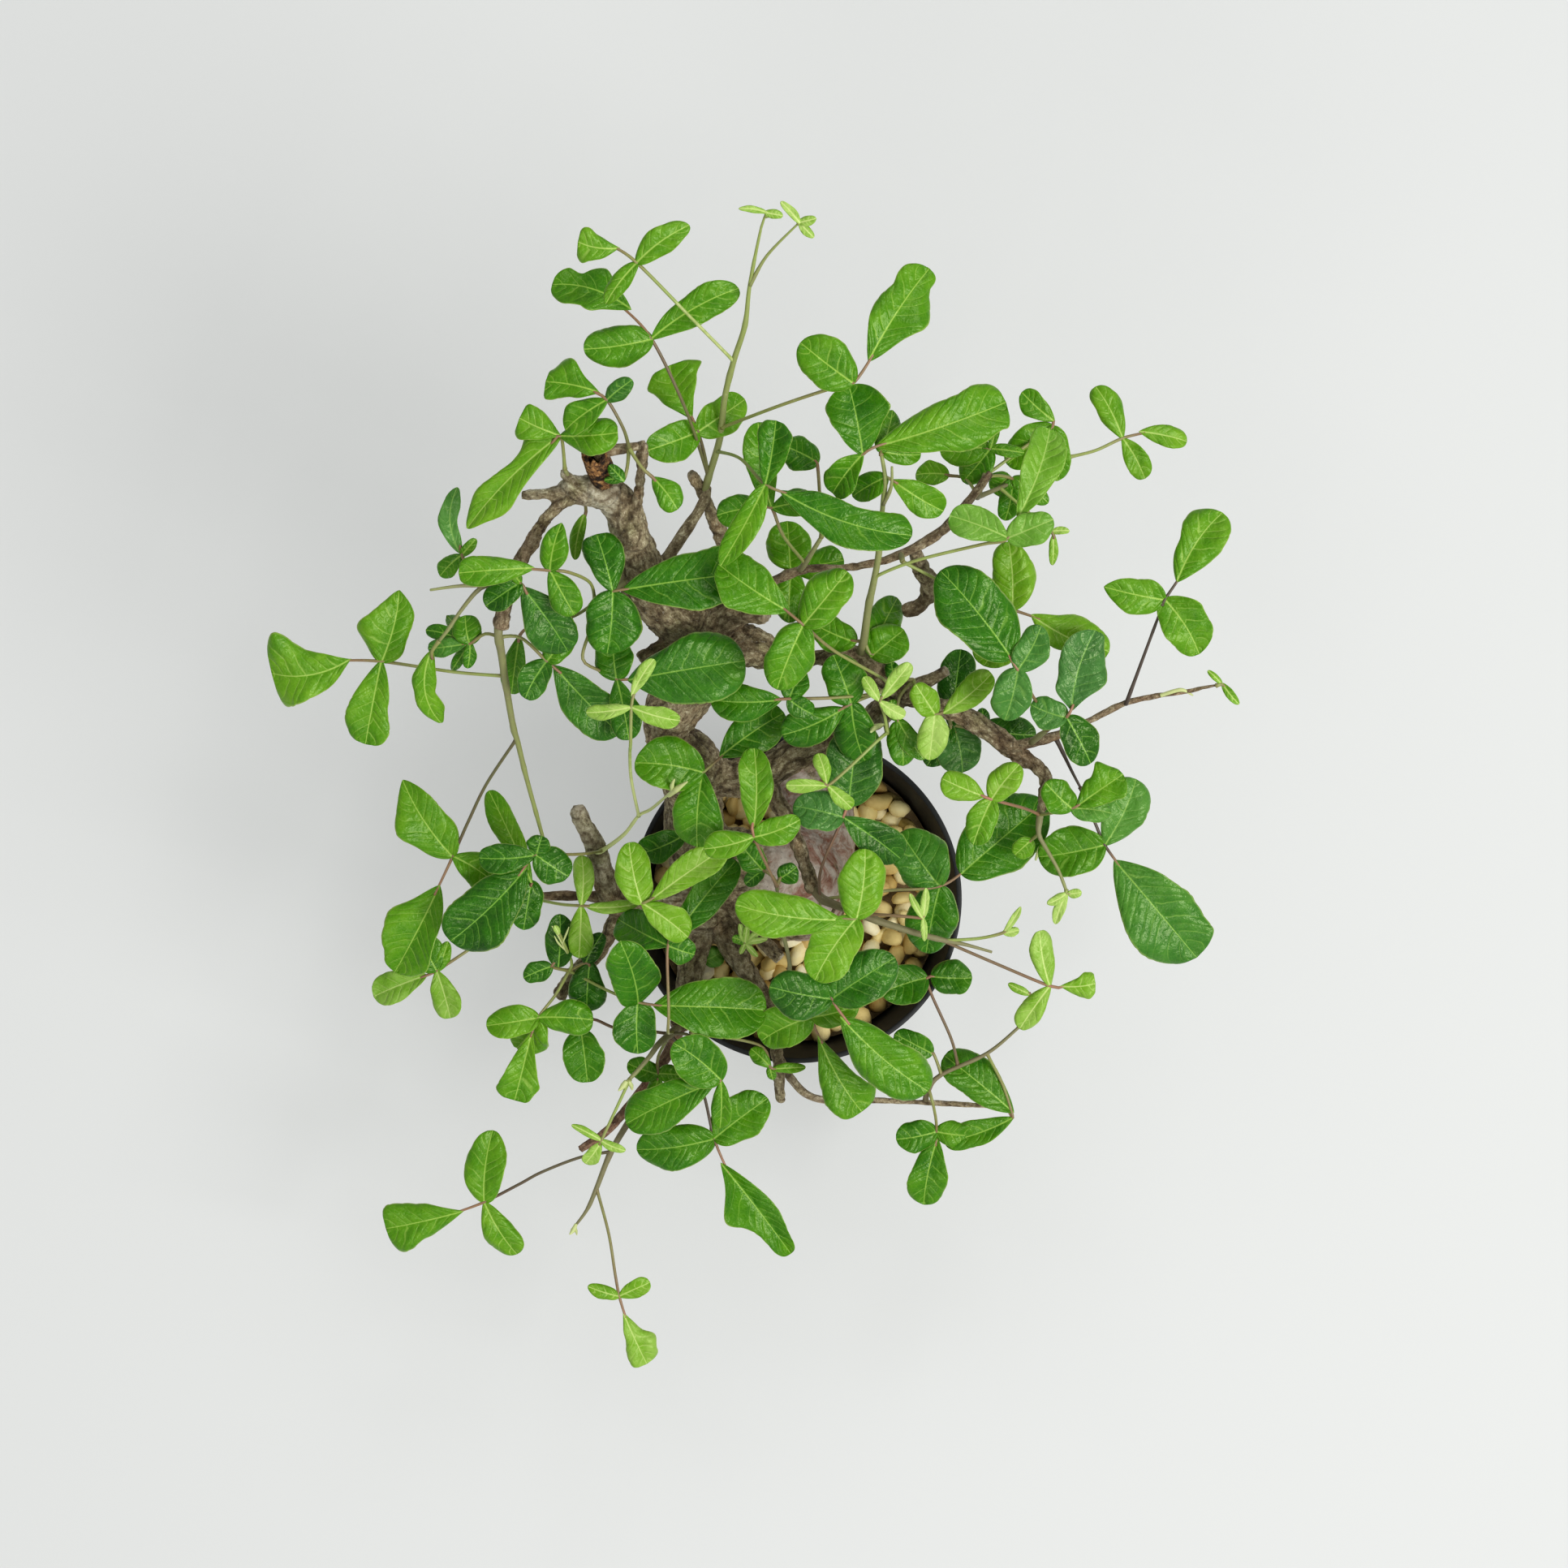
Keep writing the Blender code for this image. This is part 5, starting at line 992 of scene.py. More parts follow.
# Shoots. Each leafy stem grows from the wood with its petioles and three-part leaves. Stems
# are round and green to brown, petioles thin and flushed with red at their joints, and blades
# glossy, crinkled between pale veins, with a thin pale margin.
ROUND = (0.52, 0.50)
OBOVATE = (0.85, 0.46)
LONG = (0.62, 0.55)
FAN = (1.10, 0.26)
SQUARE = (0.80, 0.32)
POINTED = (0.62, 0.82)
SHOOTS = {
    "shoot_tall": {
        "stems": [
            [(867, 610, 203, 1.5), (873, 588, 208, 1.3), (887, 540, 217, 1.3), (893, 490, 226, 1.2),
             (904, 445, 234, 1.2), (918, 400, 242, 1.1), (924, 350, 249, 0.85),
             (938, 280, 259, 0.6),
             (944, 265, 261, 0.5)],
            [(924, 352, 249, 0.75), (945, 315, 254, 0.6), (984, 275, 260, 0.45)],
        ],
        "leaves": [
            ([(904, 445, 234), (850, 390, 249), (785, 324, 256)],
             [(762, 305, 712, 298, 2, 40, FAN), (788, 320, 849, 277, 3, 34, LONG),
              (779, 327, 746, 375, -4, 24, LONG)]),
            ([(873, 588, 208), (845, 505, 229), (803, 418, 240)],
             [(776, 381, 680, 350, -2, 50, OBOVATE), (797, 418, 719, 430, 2, 50, ROUND),
              (814, 410, 910, 355, 4, 42, OBOVATE)]),
            ([(873, 588, 208), (868, 560, 215), (860, 532, 220)],
             [(853, 516, 825, 450, 2, 60, FAN), (854, 532, 797, 555, 6, 48, ROUND),
              (866, 530, 918, 492, -5, 46, ROUND)]),
            ([(889, 527, 220), (960, 500, 236), (1020, 480, 244), (1051, 472, 247)],
             [(1071, 444, 1145, 330, -3, 62, OBOVATE), (1052, 470, 986, 422, 2, 60, ROUND)]),
            ([(882, 556, 214), (912, 565, 225), (943, 597, 233)],
             [(962, 605, 1124, 660, -1, 54, OBOVATE), (943, 592, 956, 518, 5, 40, SQUARE),
              (940, 601, 888, 697, -3, 35, LONG)]),
            ([(944, 267, 261), (944, 262, 262)],
             [(944, 262, 910, 257, 2, 9, LONG), (945, 263, 965, 266, 0, 12, ROUND)]),
            ([(983, 276, 260), (985, 274, 260)],
             [(985, 274, 962, 248, 3, 11, LONG), (985, 274, 1006, 269, 1, 13, LONG),
              (985, 274, 1003, 293, -2, 12, LONG)]),
        ],
    },
    "spray_top_left": {
        "stems": [[(772, 552, 229, 1.0), (775, 552, 236, 0.9)]],
        "leaves": [
            ([(775, 552, 236), (768, 528, 243), (748, 493, 247)],
             [(738, 484, 672, 470, -2, 55, FAN), (742, 493, 696, 530, -3, 38, OBOVATE),
              (748, 500, 779, 468, 3, 25, LONG)]),
            ([(775, 552, 236), (773, 575, 232), (769, 590, 231)],
             [(768, 592, 750, 573, 1, 16, LONG), (767, 593, 744, 592, -1, 11, LONG)]),
            ([(775, 552, 236), (790, 575, 237), (804, 588, 236)],
             [(805, 589, 835, 628, -2, 34, OBOVATE)]),
        ],
    },
    "spray_nub": {
        "stems": [[(704, 598, 222, 1.0), (696, 578, 230, 0.9)]],
        "leaves": [
            ([(696, 578, 230), (691, 537, 239)],
             [(690, 537, 575, 651, -8, 35, LONG), (692, 535, 761, 533, 5, 46, OBOVATE),
              (683, 532, 640, 515, 2, 45, FAN)]),
            ([(705, 600, 219), (718, 612, 212),
              (722, 630, 207)], [(720, 635, 708, 690, -2, 18, LONG)]),
        ],
    },
    "spray_low_left": {
        "stems": [
            [(632, 712, 217, 1.2), (600, 721, 219, 1.0), (586, 730, 219, 0.9), (566, 755, 217, 0.8),
             (552, 776, 216, 0.8), (541, 790, 214, 0.8)],
            [(601, 721, 219, 0.8), (566, 722, 222, 0.7), (530, 727, 224, 0.6)],
        ],
        "leaves": [
            ([(541, 790, 214), (532, 803, 212)], [(532, 803, 544, 892, -14, 30, LONG)]),
            ([(594, 724, 219), (578, 702, 220), (569, 684, 221)],
             [(567, 680, 563, 600, -1, 25, LONG), (566, 684, 542, 710, -4, 25, OBOVATE),
              (572, 682, 587, 664, 0, 14, ROUND)]),
            ([(618, 716, 218), (626, 719, 221), (641, 718, 223)],
             [(644, 724, 700, 803, -10, 60, OBOVATE), (641, 720, 598, 747, -2, 38, ROUND),
              (643, 716, 628, 701, 3, 14, ROUND)]),
        ],
    },
    "spray_fork": {
        "stems": [[(782, 706, 201, 1.5), (762, 722, 207, 1.1), (733, 742, 209, 1.1)]],
        "leaves": [
            ([(733, 742, 209), (755, 729, 217)],
             [(768, 727, 930, 705, 0, 75, OBOVATE), (755, 733, 748, 806, -5, 70, ROUND),
              (753, 725, 735, 658, 1, 50, SQUARE)]),
            ([(733, 742, 209), (727, 718, 217), (700, 705, 225), (678, 703, 227)],
             [(657, 700, 565, 706, 3, 38, SQUARE), (677, 698, 692, 644, 1, 36, POINTED),
              (680, 706, 708, 758, -3, 40, OBOVATE)]),
            ([(733, 742, 209), (727, 775, 207), (718, 812, 205), (740, 827, 204), (760, 837, 203)],
             [(775, 838, 918, 814, 1, 88, OBOVATE), (760, 833, 756, 782, 1, 48, ROUND),
              (762, 842, 775, 912, -1, 40, OBOVATE)]),
            ([(733, 742, 209), (705, 760, 204), (655, 772, 198), (641, 782, 194)],
             [(640, 784, 630, 856, -12, 32, OBOVATE)]),
        ],
    },
    "shoot_left": {
        "stems": [
            [(615, 768, 213, 1.8), (614, 782, 211, 1.6), (618, 806, 205, 1.5), (622, 835, 198, 1.4),
             (632, 894, 182, 1.3), (638, 915, 176, 1.2), (648, 956, 166, 1.1),
             (662, 1007, 154, 1.0),
             (670, 1036, 148, 0.9)],
        ],
        "leaves": [
            ([(615, 785, 210), (642, 786, 208), (674, 815, 206)],
             [(683, 821, 765, 905, -12, 62, OBOVATE), (670, 818, 647, 861, -3, 38, ROUND),
              (676, 812, 703, 780, 2, 34, ROUND)]),
            ([(622, 833, 198), (560, 828, 198), (470, 815, 197)],
             [(431, 812, 334, 830, -3, 92, FAN), (468, 807, 492, 727, 2, 60, POINTED),
              (468, 818, 450, 917, -5, 54, SQUARE)]),
            ([(615, 785, 210), (598, 781, 206), (579, 793, 203)],
             [(574, 793, 527, 799, -2, 24, OBOVATE), (578, 791, 573, 758, 1, 37, ROUND),
              (578, 796, 576, 824, -3, 17, LONG), (566, 800, 557, 826, -8, 15, LONG),
              (564, 785, 524, 776, -4, 20, OBOVATE), (566, 778, 550, 758, -9, 22, ROUND)]),
            ([(636, 911, 177), (600, 965, 166), (578, 1010, 157), (558, 1055, 150)],
             [(541, 1092, 486, 1198, -8, 68, OBOVATE), (545, 1053, 496, 961, 4, 58, POINTED),
              (563, 1059, 612, 1090, -4, 44, OBOVATE)]),
        ],
    },
    "spray_stub": {
        "stems": [
            [(733, 1050, 127, 1.0), (742, 1048, 133, 0.9), (769, 1028, 141, 0.8),
             (787, 1005, 149, 0.7),
             (802, 997, 153, 0.7), (825, 978, 171, 0.6), (840, 969, 179, 0.4)],
        ],
        "leaves": [
            ([(787, 1005, 149), (778, 962, 178), (776, 931, 200), (777, 914, 211), (778, 871, 215)],
             [(779, 857, 806, 812, 2, 18, OBOVATE), (775, 870, 722, 878, -1, 20, OBOVATE),
              (781, 871, 838, 888, 0, 26, OBOVATE)]),
            ([(742, 1048, 133), (720, 1052, 146), (690, 1053, 155), (661, 1053, 159)],
             [(648, 1070, 555, 1160, -3, 78, OBOVATE), (657, 1050, 590, 1057, 1, 38, OBOVATE),
              (663, 1055, 701, 1080, -3, 46, ROUND), (662, 1050, 668, 1030, 2, 30, ROUND)]),
        ],
    },
    "spray_twig_end": {
        "stems": [[(672, 1104, 117, 1.2), (656, 1107, 121, 1.1)]],
        "leaves": [
            ([(656, 1107, 121), (690, 1114, 128), (716, 1116, 132)],
             [(724, 1117, 788, 1113, 2, 16, LONG), (717, 1111, 717, 1054, 2, 27, OBOVATE),
              (717, 1121, 713, 1181, -3, 32, OBOVATE)]),
            ([(656, 1107, 121), (655, 1088, 133)],
             [(655, 1086, 645, 1146, -4, 40, ROUND), (650, 1080, 602, 974, 0, 32, OBOVATE)]),
            ([(656, 1107, 121), (618, 1142, 126), (575, 1172, 130), (538, 1196, 131)],
             [(525, 1202, 460, 1228, -3, 40, OBOVATE), (535, 1193, 507, 1147, 2, 44, ROUND),
              (539, 1203, 555, 1255, -4, 36, OBOVATE), (553, 1196, 552, 1160, 1, 18, LONG)]),
        ],
    },
    "spray_spur": {
        "stems": [[(706, 1200, 115, 1.4), (701, 1196, 120, 1.2)]],
        "leaves": [
            ([(701, 1196, 120), (752, 1222, 127), (786, 1235, 131)],
             [(806, 1239, 945, 1245, -5, 78, OBOVATE), (784, 1230, 765, 1161, 18, 62, ROUND),
              (786, 1243, 786, 1299, -4, 54, ROUND)]),
            ([(701, 1196, 120), (685, 1225, 123), (663, 1254, 125)],
             [(656, 1269, 634, 1356, -4, 46, FAN), (656, 1253, 599, 1264, 1, 40, ROUND),
              (669, 1254, 731, 1257, 1, 44, OBOVATE), (664, 1248, 636, 1292, -7, 52, ROUND)]),
            ([(701, 1196, 120), (679, 1191, 125)],
             [(688, 1190, 690, 1126, 2, 38, ROUND), (677, 1193, 645, 1205, -1, 27, ROUND)]),
            ([(701, 1196, 120), (722, 1186, 124)],
             [(727, 1184, 723, 1246, -4, 48, OBOVATE), (726, 1180, 742, 1150, 3, 26, ROUND)]),
            ([(701, 1196, 120), (704, 1184, 125), (688, 1148, 134)],
             [(688, 1150, 683, 1140, 2, 8, LONG)]),
        ],
    },
    "spray_bright": {
        "stems": [[(776, 1119, 112, 1.3), (778, 1111, 121, 1.1), (781, 1105, 139, 1.0)]],
        "leaves": [
            ([(781, 1105, 139), (791, 1113, 152)],
             [(802, 1109, 896, 1043, 5, 40, OBOVATE), (786, 1108, 775, 1038, 3, 45, ROUND),
              (795, 1118, 848, 1155, -3, 42, OBOVATE)]),
        ],
    },
    "spray_knot": {
        "stems": [[(830, 985, 132, 1.4), (839, 982, 149, 1.2), (846, 975, 164, 1.1),
                   (858, 960, 171, 1.0)]],
        "leaves": [
            ([(856, 962, 170), (866, 952, 174)],
             [(888, 932, 966, 878, 1, 56, OBOVATE), (859, 946, 782, 940, 3, 66, ROUND),
              (869, 959, 859, 1044, -6, 64, OBOVATE)]),
            ([(846, 975, 164), (846, 1000, 152), (848, 1022, 144)],
             [(847, 1026, 788, 1052, -3, 38, OBOVATE)]),
        ],
    },
    "spray_inner": {
        "stems": [[(946, 1232, 102, 1.2), (962, 1222, 110, 1.0), (973, 1192, 122, 0.9),
                   (964, 1145, 142, 0.9), (957, 1092, 161, 0.9)]],
        "leaves": [
            ([(957, 1092, 161), (929, 1031, 179)],
             [(928, 1021, 929, 922, 6, 43, OBOVATE), (935, 1028, 986, 1010, 1, 36, ROUND),
              (925, 1032, 867, 1046, -1, 36, OBOVATE)]),
            ([(957, 1092, 161), (952, 1080, 160), (940, 1072, 158)],
             [(940, 1072, 912, 1040, 2, 34, ROUND), (942, 1076, 918, 1090, -2, 20, LONG)]),
            ([(957, 1092, 161), (961, 1082, 160)], [(961, 1082, 982, 1068, 0, 28, ROUND)]),
        ],
    },
    "shoot_front": {
        "stems": [
            [(838, 1264, 111, 1.9), (826, 1274, 116, 1.6), (811, 1287, 119, 1.4),
             (801, 1301, 120, 1.2),
             (783, 1322, 120, 1.0), (772, 1333, 121, 0.8)],
        ],
        "leaves": [
            ([(830, 1271, 115), (825, 1273, 122), (823, 1270, 136), (824, 1246, 142),
              (823, 1165, 147)],
             [(830, 1157, 907, 1060, 0, 46, OBOVATE), (818, 1163, 760, 1132, -14, 50, OBOVATE),
              (826, 1163, 856, 1176, -2, 36, ROUND)]),
            ([(826, 1274, 116), (850, 1276, 118), (870, 1300, 124), (888, 1331, 128)],
             [(880, 1334, 771, 1385, -7, 58, OBOVATE), (885, 1328, 830, 1285, 5, 60, ROUND),
              (890, 1337, 887, 1391, -4, 26, OBOVATE)]),
            ([(826, 1274, 116), (845, 1300, 115), (866, 1345, 114), (880, 1403, 112)],
             [(889, 1434, 975, 1546, -8, 48, OBOVATE), (874, 1405, 784, 1417, -3, 56, ROUND),
              (886, 1405, 946, 1353, 2, 58, ROUND)]),
            ([(826, 1274, 116), (811, 1302, 114), (811, 1323, 113)],
             [(811, 1328, 799, 1358, -2, 20, LONG), (807, 1322, 773, 1310, 0, 28, ROUND),
              (815, 1323, 839, 1325, 0, 23, ROUND)]),
            ([(776, 1330, 121), (764, 1356, 120), (741, 1405, 119)],
             [(740, 1408, 721, 1434, -2, 20, OBOVATE), (738, 1403, 704, 1386, 1, 10, LONG),
              (744, 1405, 771, 1418, 0, 12, LONG)]),
            ([(826, 1274, 116), (795, 1270, 115), (759, 1267, 114), (731, 1256, 115),
              (718, 1265, 115)],
             [(716, 1269, 724, 1334, -3, 52, ROUND)]),
            ([(850, 1272, 116), (934, 1287, 112), (949, 1315, 112)],
             [(952, 1317, 993, 1315, -1, 13, LONG), (946, 1316, 925, 1292, 0, 20, OBOVATE),
              (949, 1318, 953, 1331, -2, 12, LONG)]),
            ([(850, 1204, 105), (860, 1194, 101),
              (867, 1185, 99)], [(868, 1184, 891, 1172, 0, 28, ROUND)]),
        ],
    },
    "shoot_low": {
        "stems": [
            [(790, 1346, 103, 1.7), (786, 1363, 98, 1.5), (754, 1417, 95, 1.3),
             (735, 1464, 92, 1.2),
             (723, 1491, 90, 0.9), (705, 1515, 89, 0.6)],
        ],
        "leaves": [
            ([(753, 1419, 95), (715, 1426, 96), (668, 1444, 97), (640, 1459, 97), (597, 1481, 97)],
             [(571, 1492, 475, 1514, -4, 60, FAN), (595, 1477, 607, 1393, 3, 50, ROUND),
              (599, 1492, 637, 1546, -4, 40, OBOVATE)]),
            ([(735, 1464, 92), (750, 1520, 93), (758, 1570, 93), (763, 1597, 93)],
             [(768, 1617, 797, 1681, -5, 38, FAN), (758, 1598, 724, 1585, 1, 18, LONG),
              (767, 1597, 801, 1580, 1, 24, OBOVATE)]),
        ],
    },
    "shoot_right": {
        "stems": [
            [(1000, 1090, 152, 1.8), (1012, 1107, 153, 1.7), (1040, 1119, 153, 1.6),
             (1080, 1134, 153, 1.5), (1130, 1150, 153, 1.4), (1165, 1159, 153, 1.2),
             (1190, 1164, 153, 0.9), (1222, 1173, 152, 0.6)],
        ],
        "leaves": [
            ([(1010, 1105, 153), (1012, 1070, 160), (1039, 1007, 168)],
             [(1046, 992, 1061, 888, 6, 72, ROUND), (1035, 1006, 977, 993, 1, 50, ROUND),
              (1042, 1009, 1110, 1058, -8, 48, OBOVATE)]),
            ([(1040, 1119, 153), (1047, 1126, 160), (1055, 1132, 166)],
             [(1036, 1133, 906, 1115, 3, 57, OBOVATE), (1058, 1128, 1066, 1046, 3, 58, ROUND),
              (1052, 1140, 1004, 1208, -4, 62, ROUND)]),
            ([(1014, 1108, 153), (1050, 1103, 152), (1098, 1097, 150), (1158, 1092, 149)],
             [(1185, 1076, 1288, 988, -2, 82, ROUND), (1157, 1086, 1110, 1025, 0, 68, ROUND),
              (1161, 1098, 1141, 1175, -8, 62, ROUND)]),
            ([(1030, 1115, 153), (1020, 1145, 150), (1020, 1200, 147), (1025, 1231, 147)],
             [(1036, 1253, 1144, 1345, -8, 68, OBOVATE), (1019, 1230, 948, 1216, 3, 60, ROUND),
              (1030, 1229, 1103, 1180, 1, 64, ROUND)]),
            ([(1012, 1107, 153), (1004, 1150, 143), (1000, 1200, 133), (1000, 1253, 127)],
             [(1008, 1276, 1062, 1370, -7, 56, FAN), (992, 1255, 937, 1283, -7, 54, ROUND),
              (1005, 1250, 1058, 1238, 1, 36, ROUND)]),
            ([(1157, 1157, 153), (1224, 1186, 152), (1294, 1215, 151)],
             [(1307, 1215, 1350, 1212, 1, 30, FAN), (1295, 1210, 1281, 1147, 4, 30, OBOVATE),
              (1294, 1222, 1256, 1268, -3, 30, OBOVATE)]),
            ([(1058, 1126, 153), (1100, 1128, 157), (1137, 1131, 159)],
             [(1137, 1131, 1121, 1101, 2, 9, LONG), (1138, 1130, 1141, 1094, 2, 11, LONG),
              (1137, 1133, 1139, 1160, -1, 9, LONG)]),
            ([(1165, 1159, 153), (1208, 1156, 154), (1237, 1149, 155)],
             [(1238, 1147, 1258, 1117, 2, 9, LONG), (1239, 1149, 1256, 1146, -1, 12, ROUND)]),
        ],
    },
    "spray_centre": {
        "stems": [[(1085, 877, 165, 1.6), (1091, 890, 174, 1.3), (1093, 903, 187, 1.1)]],
        "leaves": [
            ([(1093, 903, 187), (1082, 912, 191), (1046, 946, 192), (1020, 968, 192)],
             [(1018, 965, 1008, 928, 2, 20, OBOVATE), (1014, 971, 968, 968, 0, 18, OBOVATE),
              (1023, 971, 1050, 996, -2, 20, OBOVATE)]),
            ([(1093, 903, 187), (1090, 882, 191), (1084, 864, 195)],
             [(1086, 861, 1122, 817, 2, 21, OBOVATE), (1082, 861, 1064, 834, 2, 16, OBOVATE),
              (1087, 864, 1115, 883, -1, 18, OBOVATE)]),
        ],
    },
    "spray_gnarl": {
        "stems": [[(1100, 848, 176, 1.5), (1092, 850, 184, 1.2), (1074, 856, 187, 1.0)]],
        "leaves": [
            ([(1074, 856, 187), (1049, 867, 189)],
             [(1039, 873, 963, 906, -3, 48, OBOVATE), (1046, 862, 1027, 807, 4, 52, ROUND),
              (1051, 871, 1066, 938, -14, 50, ROUND)]),
            ([(1074, 856, 187), (1021, 860, 193), (972, 861, 195)],
             [(962, 862, 875, 862, -3, 48, OBOVATE), (974, 858, 986, 822, 0, 34, ROUND),
              (976, 864, 1002, 880, -2, 28, ROUND)]),
            ([(1092, 850, 184), (1090, 838, 190), (1028, 802, 212), (990, 770, 223)],
             [(971, 753, 885, 695, 2, 62, OBOVATE), (997, 762, 1044, 704, 4, 54, ROUND),
              (985, 774, 957, 850, -6, 58, ROUND)]),
        ],
    },
    "spray_bud": {
        "stems": [[(1118, 846, 174, 1.4), (1125, 838, 182, 1.1)]],
        "leaves": [
            ([(1125, 838, 182), (1135, 860, 184), (1152, 880, 186)],
             [(1163, 878, 1222, 830, 4, 36, OBOVATE), (1151, 877, 1128, 843, 4, 34, ROUND),
              (1153, 884, 1145, 937, -3, 38, ROUND)]),
            ([(1125, 838, 182), (1108, 860, 180), (1106, 886, 178)],
             [(1106, 890, 1113, 944, -3, 38, ROUND), (1108, 889, 1139, 936, -2, 26, LONG),
              (1104, 884, 1098, 862, 2, 20, ROUND)]),
            ([(1125, 838, 182), (1098, 834, 184)], [(1100, 836, 1098, 815, 1, 20, ROUND)]),
        ],
    },
    "spray_shade": {
        "stems": [[(1168, 875, 168, 1.4), (1170, 884, 158, 1.1), (1171, 892, 154, 1.0)]],
        "leaves": [
            ([(1171, 892, 154), (1172, 897, 154)],
             [(1176, 898, 1186, 952, -3, 56, ROUND), (1172, 892, 1184, 800, 2, 46, OBOVATE),
              (1168, 902, 1142, 944, -3, 34, ROUND)]),
            ([(1171, 892, 154), (1195, 898, 154), (1212, 900, 154)],
             [(1212, 899, 1277, 906, -3, 44, ROUND), (1212, 897, 1210, 872, -1, 18, ROUND)]),
        ],
    },
    "shoot_up": {
        "stems": [
            [(1060, 806, 182, 1.9), (1064, 792, 190, 1.6), (1070, 748, 201, 1.5),
             (1077, 715, 209, 1.4),
             (1083, 680, 215, 1.3), (1088, 620, 223, 1.1), (1091, 592, 226, 1.0),
             (1086, 560, 228, 0.9)],
            [(1088, 622, 223, 0.8), (1098, 600, 227, 0.7), (1099, 575, 230, 0.6)],
        ],
        "leaves": [
            ([(1076, 718, 208), (1082, 709, 211), (1131, 690, 214), (1209, 671, 217),
              (1242, 663, 219)],
             [(1254, 637, 1294, 528, -2, 50, SQUARE), (1238, 661, 1170, 635, 1, 44, OBOVATE),
              (1246, 662, 1298, 640, 2, 42, ROUND)]),
            ([(1091, 591, 226), (1092, 588, 226)],
             [(1100, 592, 1163, 630, -5, 40, OBOVATE), (1087, 591, 1050, 612, -8, 34, ROUND)]),
            ([(1086, 561, 228), (1085, 556, 228)],
             [(1086, 556, 1135, 560, -6, 27, ROUND), (1085, 553, 1100, 505, -4, 30, ROUND)]),
            ([(1065, 790, 190), (1058, 790, 189)], [(1054, 791, 1000, 767, -3, 42, ROUND)]),
            ([(1065, 790, 190), (1072, 806, 189)],
             [(1074, 809, 1114, 776, -2, 50, ROUND), (1072, 790, 1106, 736, -12, 44, ROUND)]),
        ],
    },
    "spray_high": {
        "stems": [[(985, 702, 199, 1.4), (992, 694, 205, 1.1), (1012, 662, 211, 1.0)]],
        "leaves": [
            ([(1012, 662, 211), (1040, 602, 222), (1063, 560, 230)],
             [(1080, 550, 1240, 495, -2, 70, SQUARE), (1063, 557, 1046, 474, 4, 70, OBOVATE),
              (1062, 562, 1026, 608, -7, 42, OBOVATE)]),
            ([(992, 694, 205), (965, 660, 212), (951, 626, 216)],
             [(945, 625, 883, 635, -2, 38, OBOVATE), (954, 622, 1004, 616, 1, 36, OBOVATE),
              (951, 620, 934, 520, 2, 40, OBOVATE)]),
            ([(1012, 662, 211), (1010, 610, 212), (1007, 572, 213)],
             [(1007, 570, 962, 548, -1, 42, ROUND)]),
        ],
    },
    "spray_under": {
        "stems": [[(948, 720, 195, 1.3), (958, 712, 186, 1.1), (968, 704, 180, 1.0)]],
        "leaves": [
            ([(968, 704, 180), (975, 702, 178)],
             [(974, 700, 970, 642, 3, 56, ROUND), (978, 706, 972, 768, -3, 40, ROUND),
              (982, 702, 1040, 690, 1, 44, OBOVATE)]),
        ],
    },
    "spray_cross": {
        "stems": [[(1110, 681, 203, 1.3), (1112, 692, 207, 1.1)]],
        "leaves": [
            ([(1112, 692, 207), (1153, 713, 202), (1190, 731, 196), (1247, 751, 190)],
             [(1272, 758, 1367, 803, -5, 54, OBOVATE), (1250, 745, 1243, 667, 3, 54, ROUND),
              (1246, 757, 1212, 821, -6, 50, OBOVATE)]),
        ],
    },
    "spray_far_up": {
        "stems": [
            [(1204, 606, 199, 1.4), (1205, 612, 193, 1.1), (1212, 588, 189, 1.0),
             (1220, 553, 189, 0.9)],
            [(1205, 612, 193, 1.0), (1232, 601, 182, 0.9), (1318, 563, 170, 0.8)],
        ],
        "leaves": [
            ([(1218, 560, 189), (1220, 553, 190)],
             [(1218, 552, 1158, 556, -3, 42, ROUND), (1217, 560, 1186, 594, -5, 40, ROUND),
              (1226, 552, 1262, 558, 1, 17, LONG), (1221, 549, 1228, 516, 3, 12, LONG)]),
            ([(1212, 588, 189), (1255, 556, 188), (1297, 526, 188)],
             [(1298, 518, 1259, 483, 2, 30, OBOVATE), (1300, 530, 1303, 593, -5, 42, ROUND),
              (1289, 532, 1240, 572, -5, 46, ROUND)]),
            ([(1212, 588, 189), (1232, 586, 184), (1248, 590, 181)],
             [(1244, 588, 1222, 606, -3, 34, ROUND), (1248, 594, 1238, 642, -5, 30, ROUND),
              (1252, 596, 1292, 620, -3, 26, ROUND)]),
            ([(1205, 612, 193), (1190, 590, 185), (1170, 586, 182)],
             [(1168, 585, 1128, 585, -3, 30, ROUND)]),
            ([(1318, 563, 170), (1350, 555, 166), (1383, 540, 164)],
             [(1405, 532, 1463, 544, -2, 28, OBOVATE), (1381, 531, 1350, 476, 2, 34, OBOVATE),
              (1383, 544, 1411, 590, -3, 30, OBOVATE)]),
            ([(1232, 601, 182), (1268, 632, 184), (1296, 655, 186)],
             [(1298, 660, 1297, 697, -3, 12, LONG), (1300, 652, 1318, 654, 1, 10, LONG)]),
        ],
    },
    "spray_edge": {
        "stems": [[(1268, 917, 166, 1.5), (1284, 904, 173, 1.2), (1290, 900, 174, 1.1)]],
        "leaves": [
            ([(1290, 900, 174), (1284, 878, 186), (1270, 853, 198), (1254, 825, 206)],
             [(1245, 810, 1159, 703, 3, 82, ROUND), (1257, 822, 1283, 771, 2, 42, ROUND),
              (1253, 829, 1238, 888, -5, 50, ROUND)]),
            ([(1290, 900, 174), (1314, 884, 193)],
             [(1321, 874, 1350, 777, 3, 56, OBOVATE), (1312, 880, 1270, 868, 0, 40, ROUND),
              (1318, 888, 1344, 941, -4, 46, ROUND)]),
        ],
    },
    "spray_outer": {
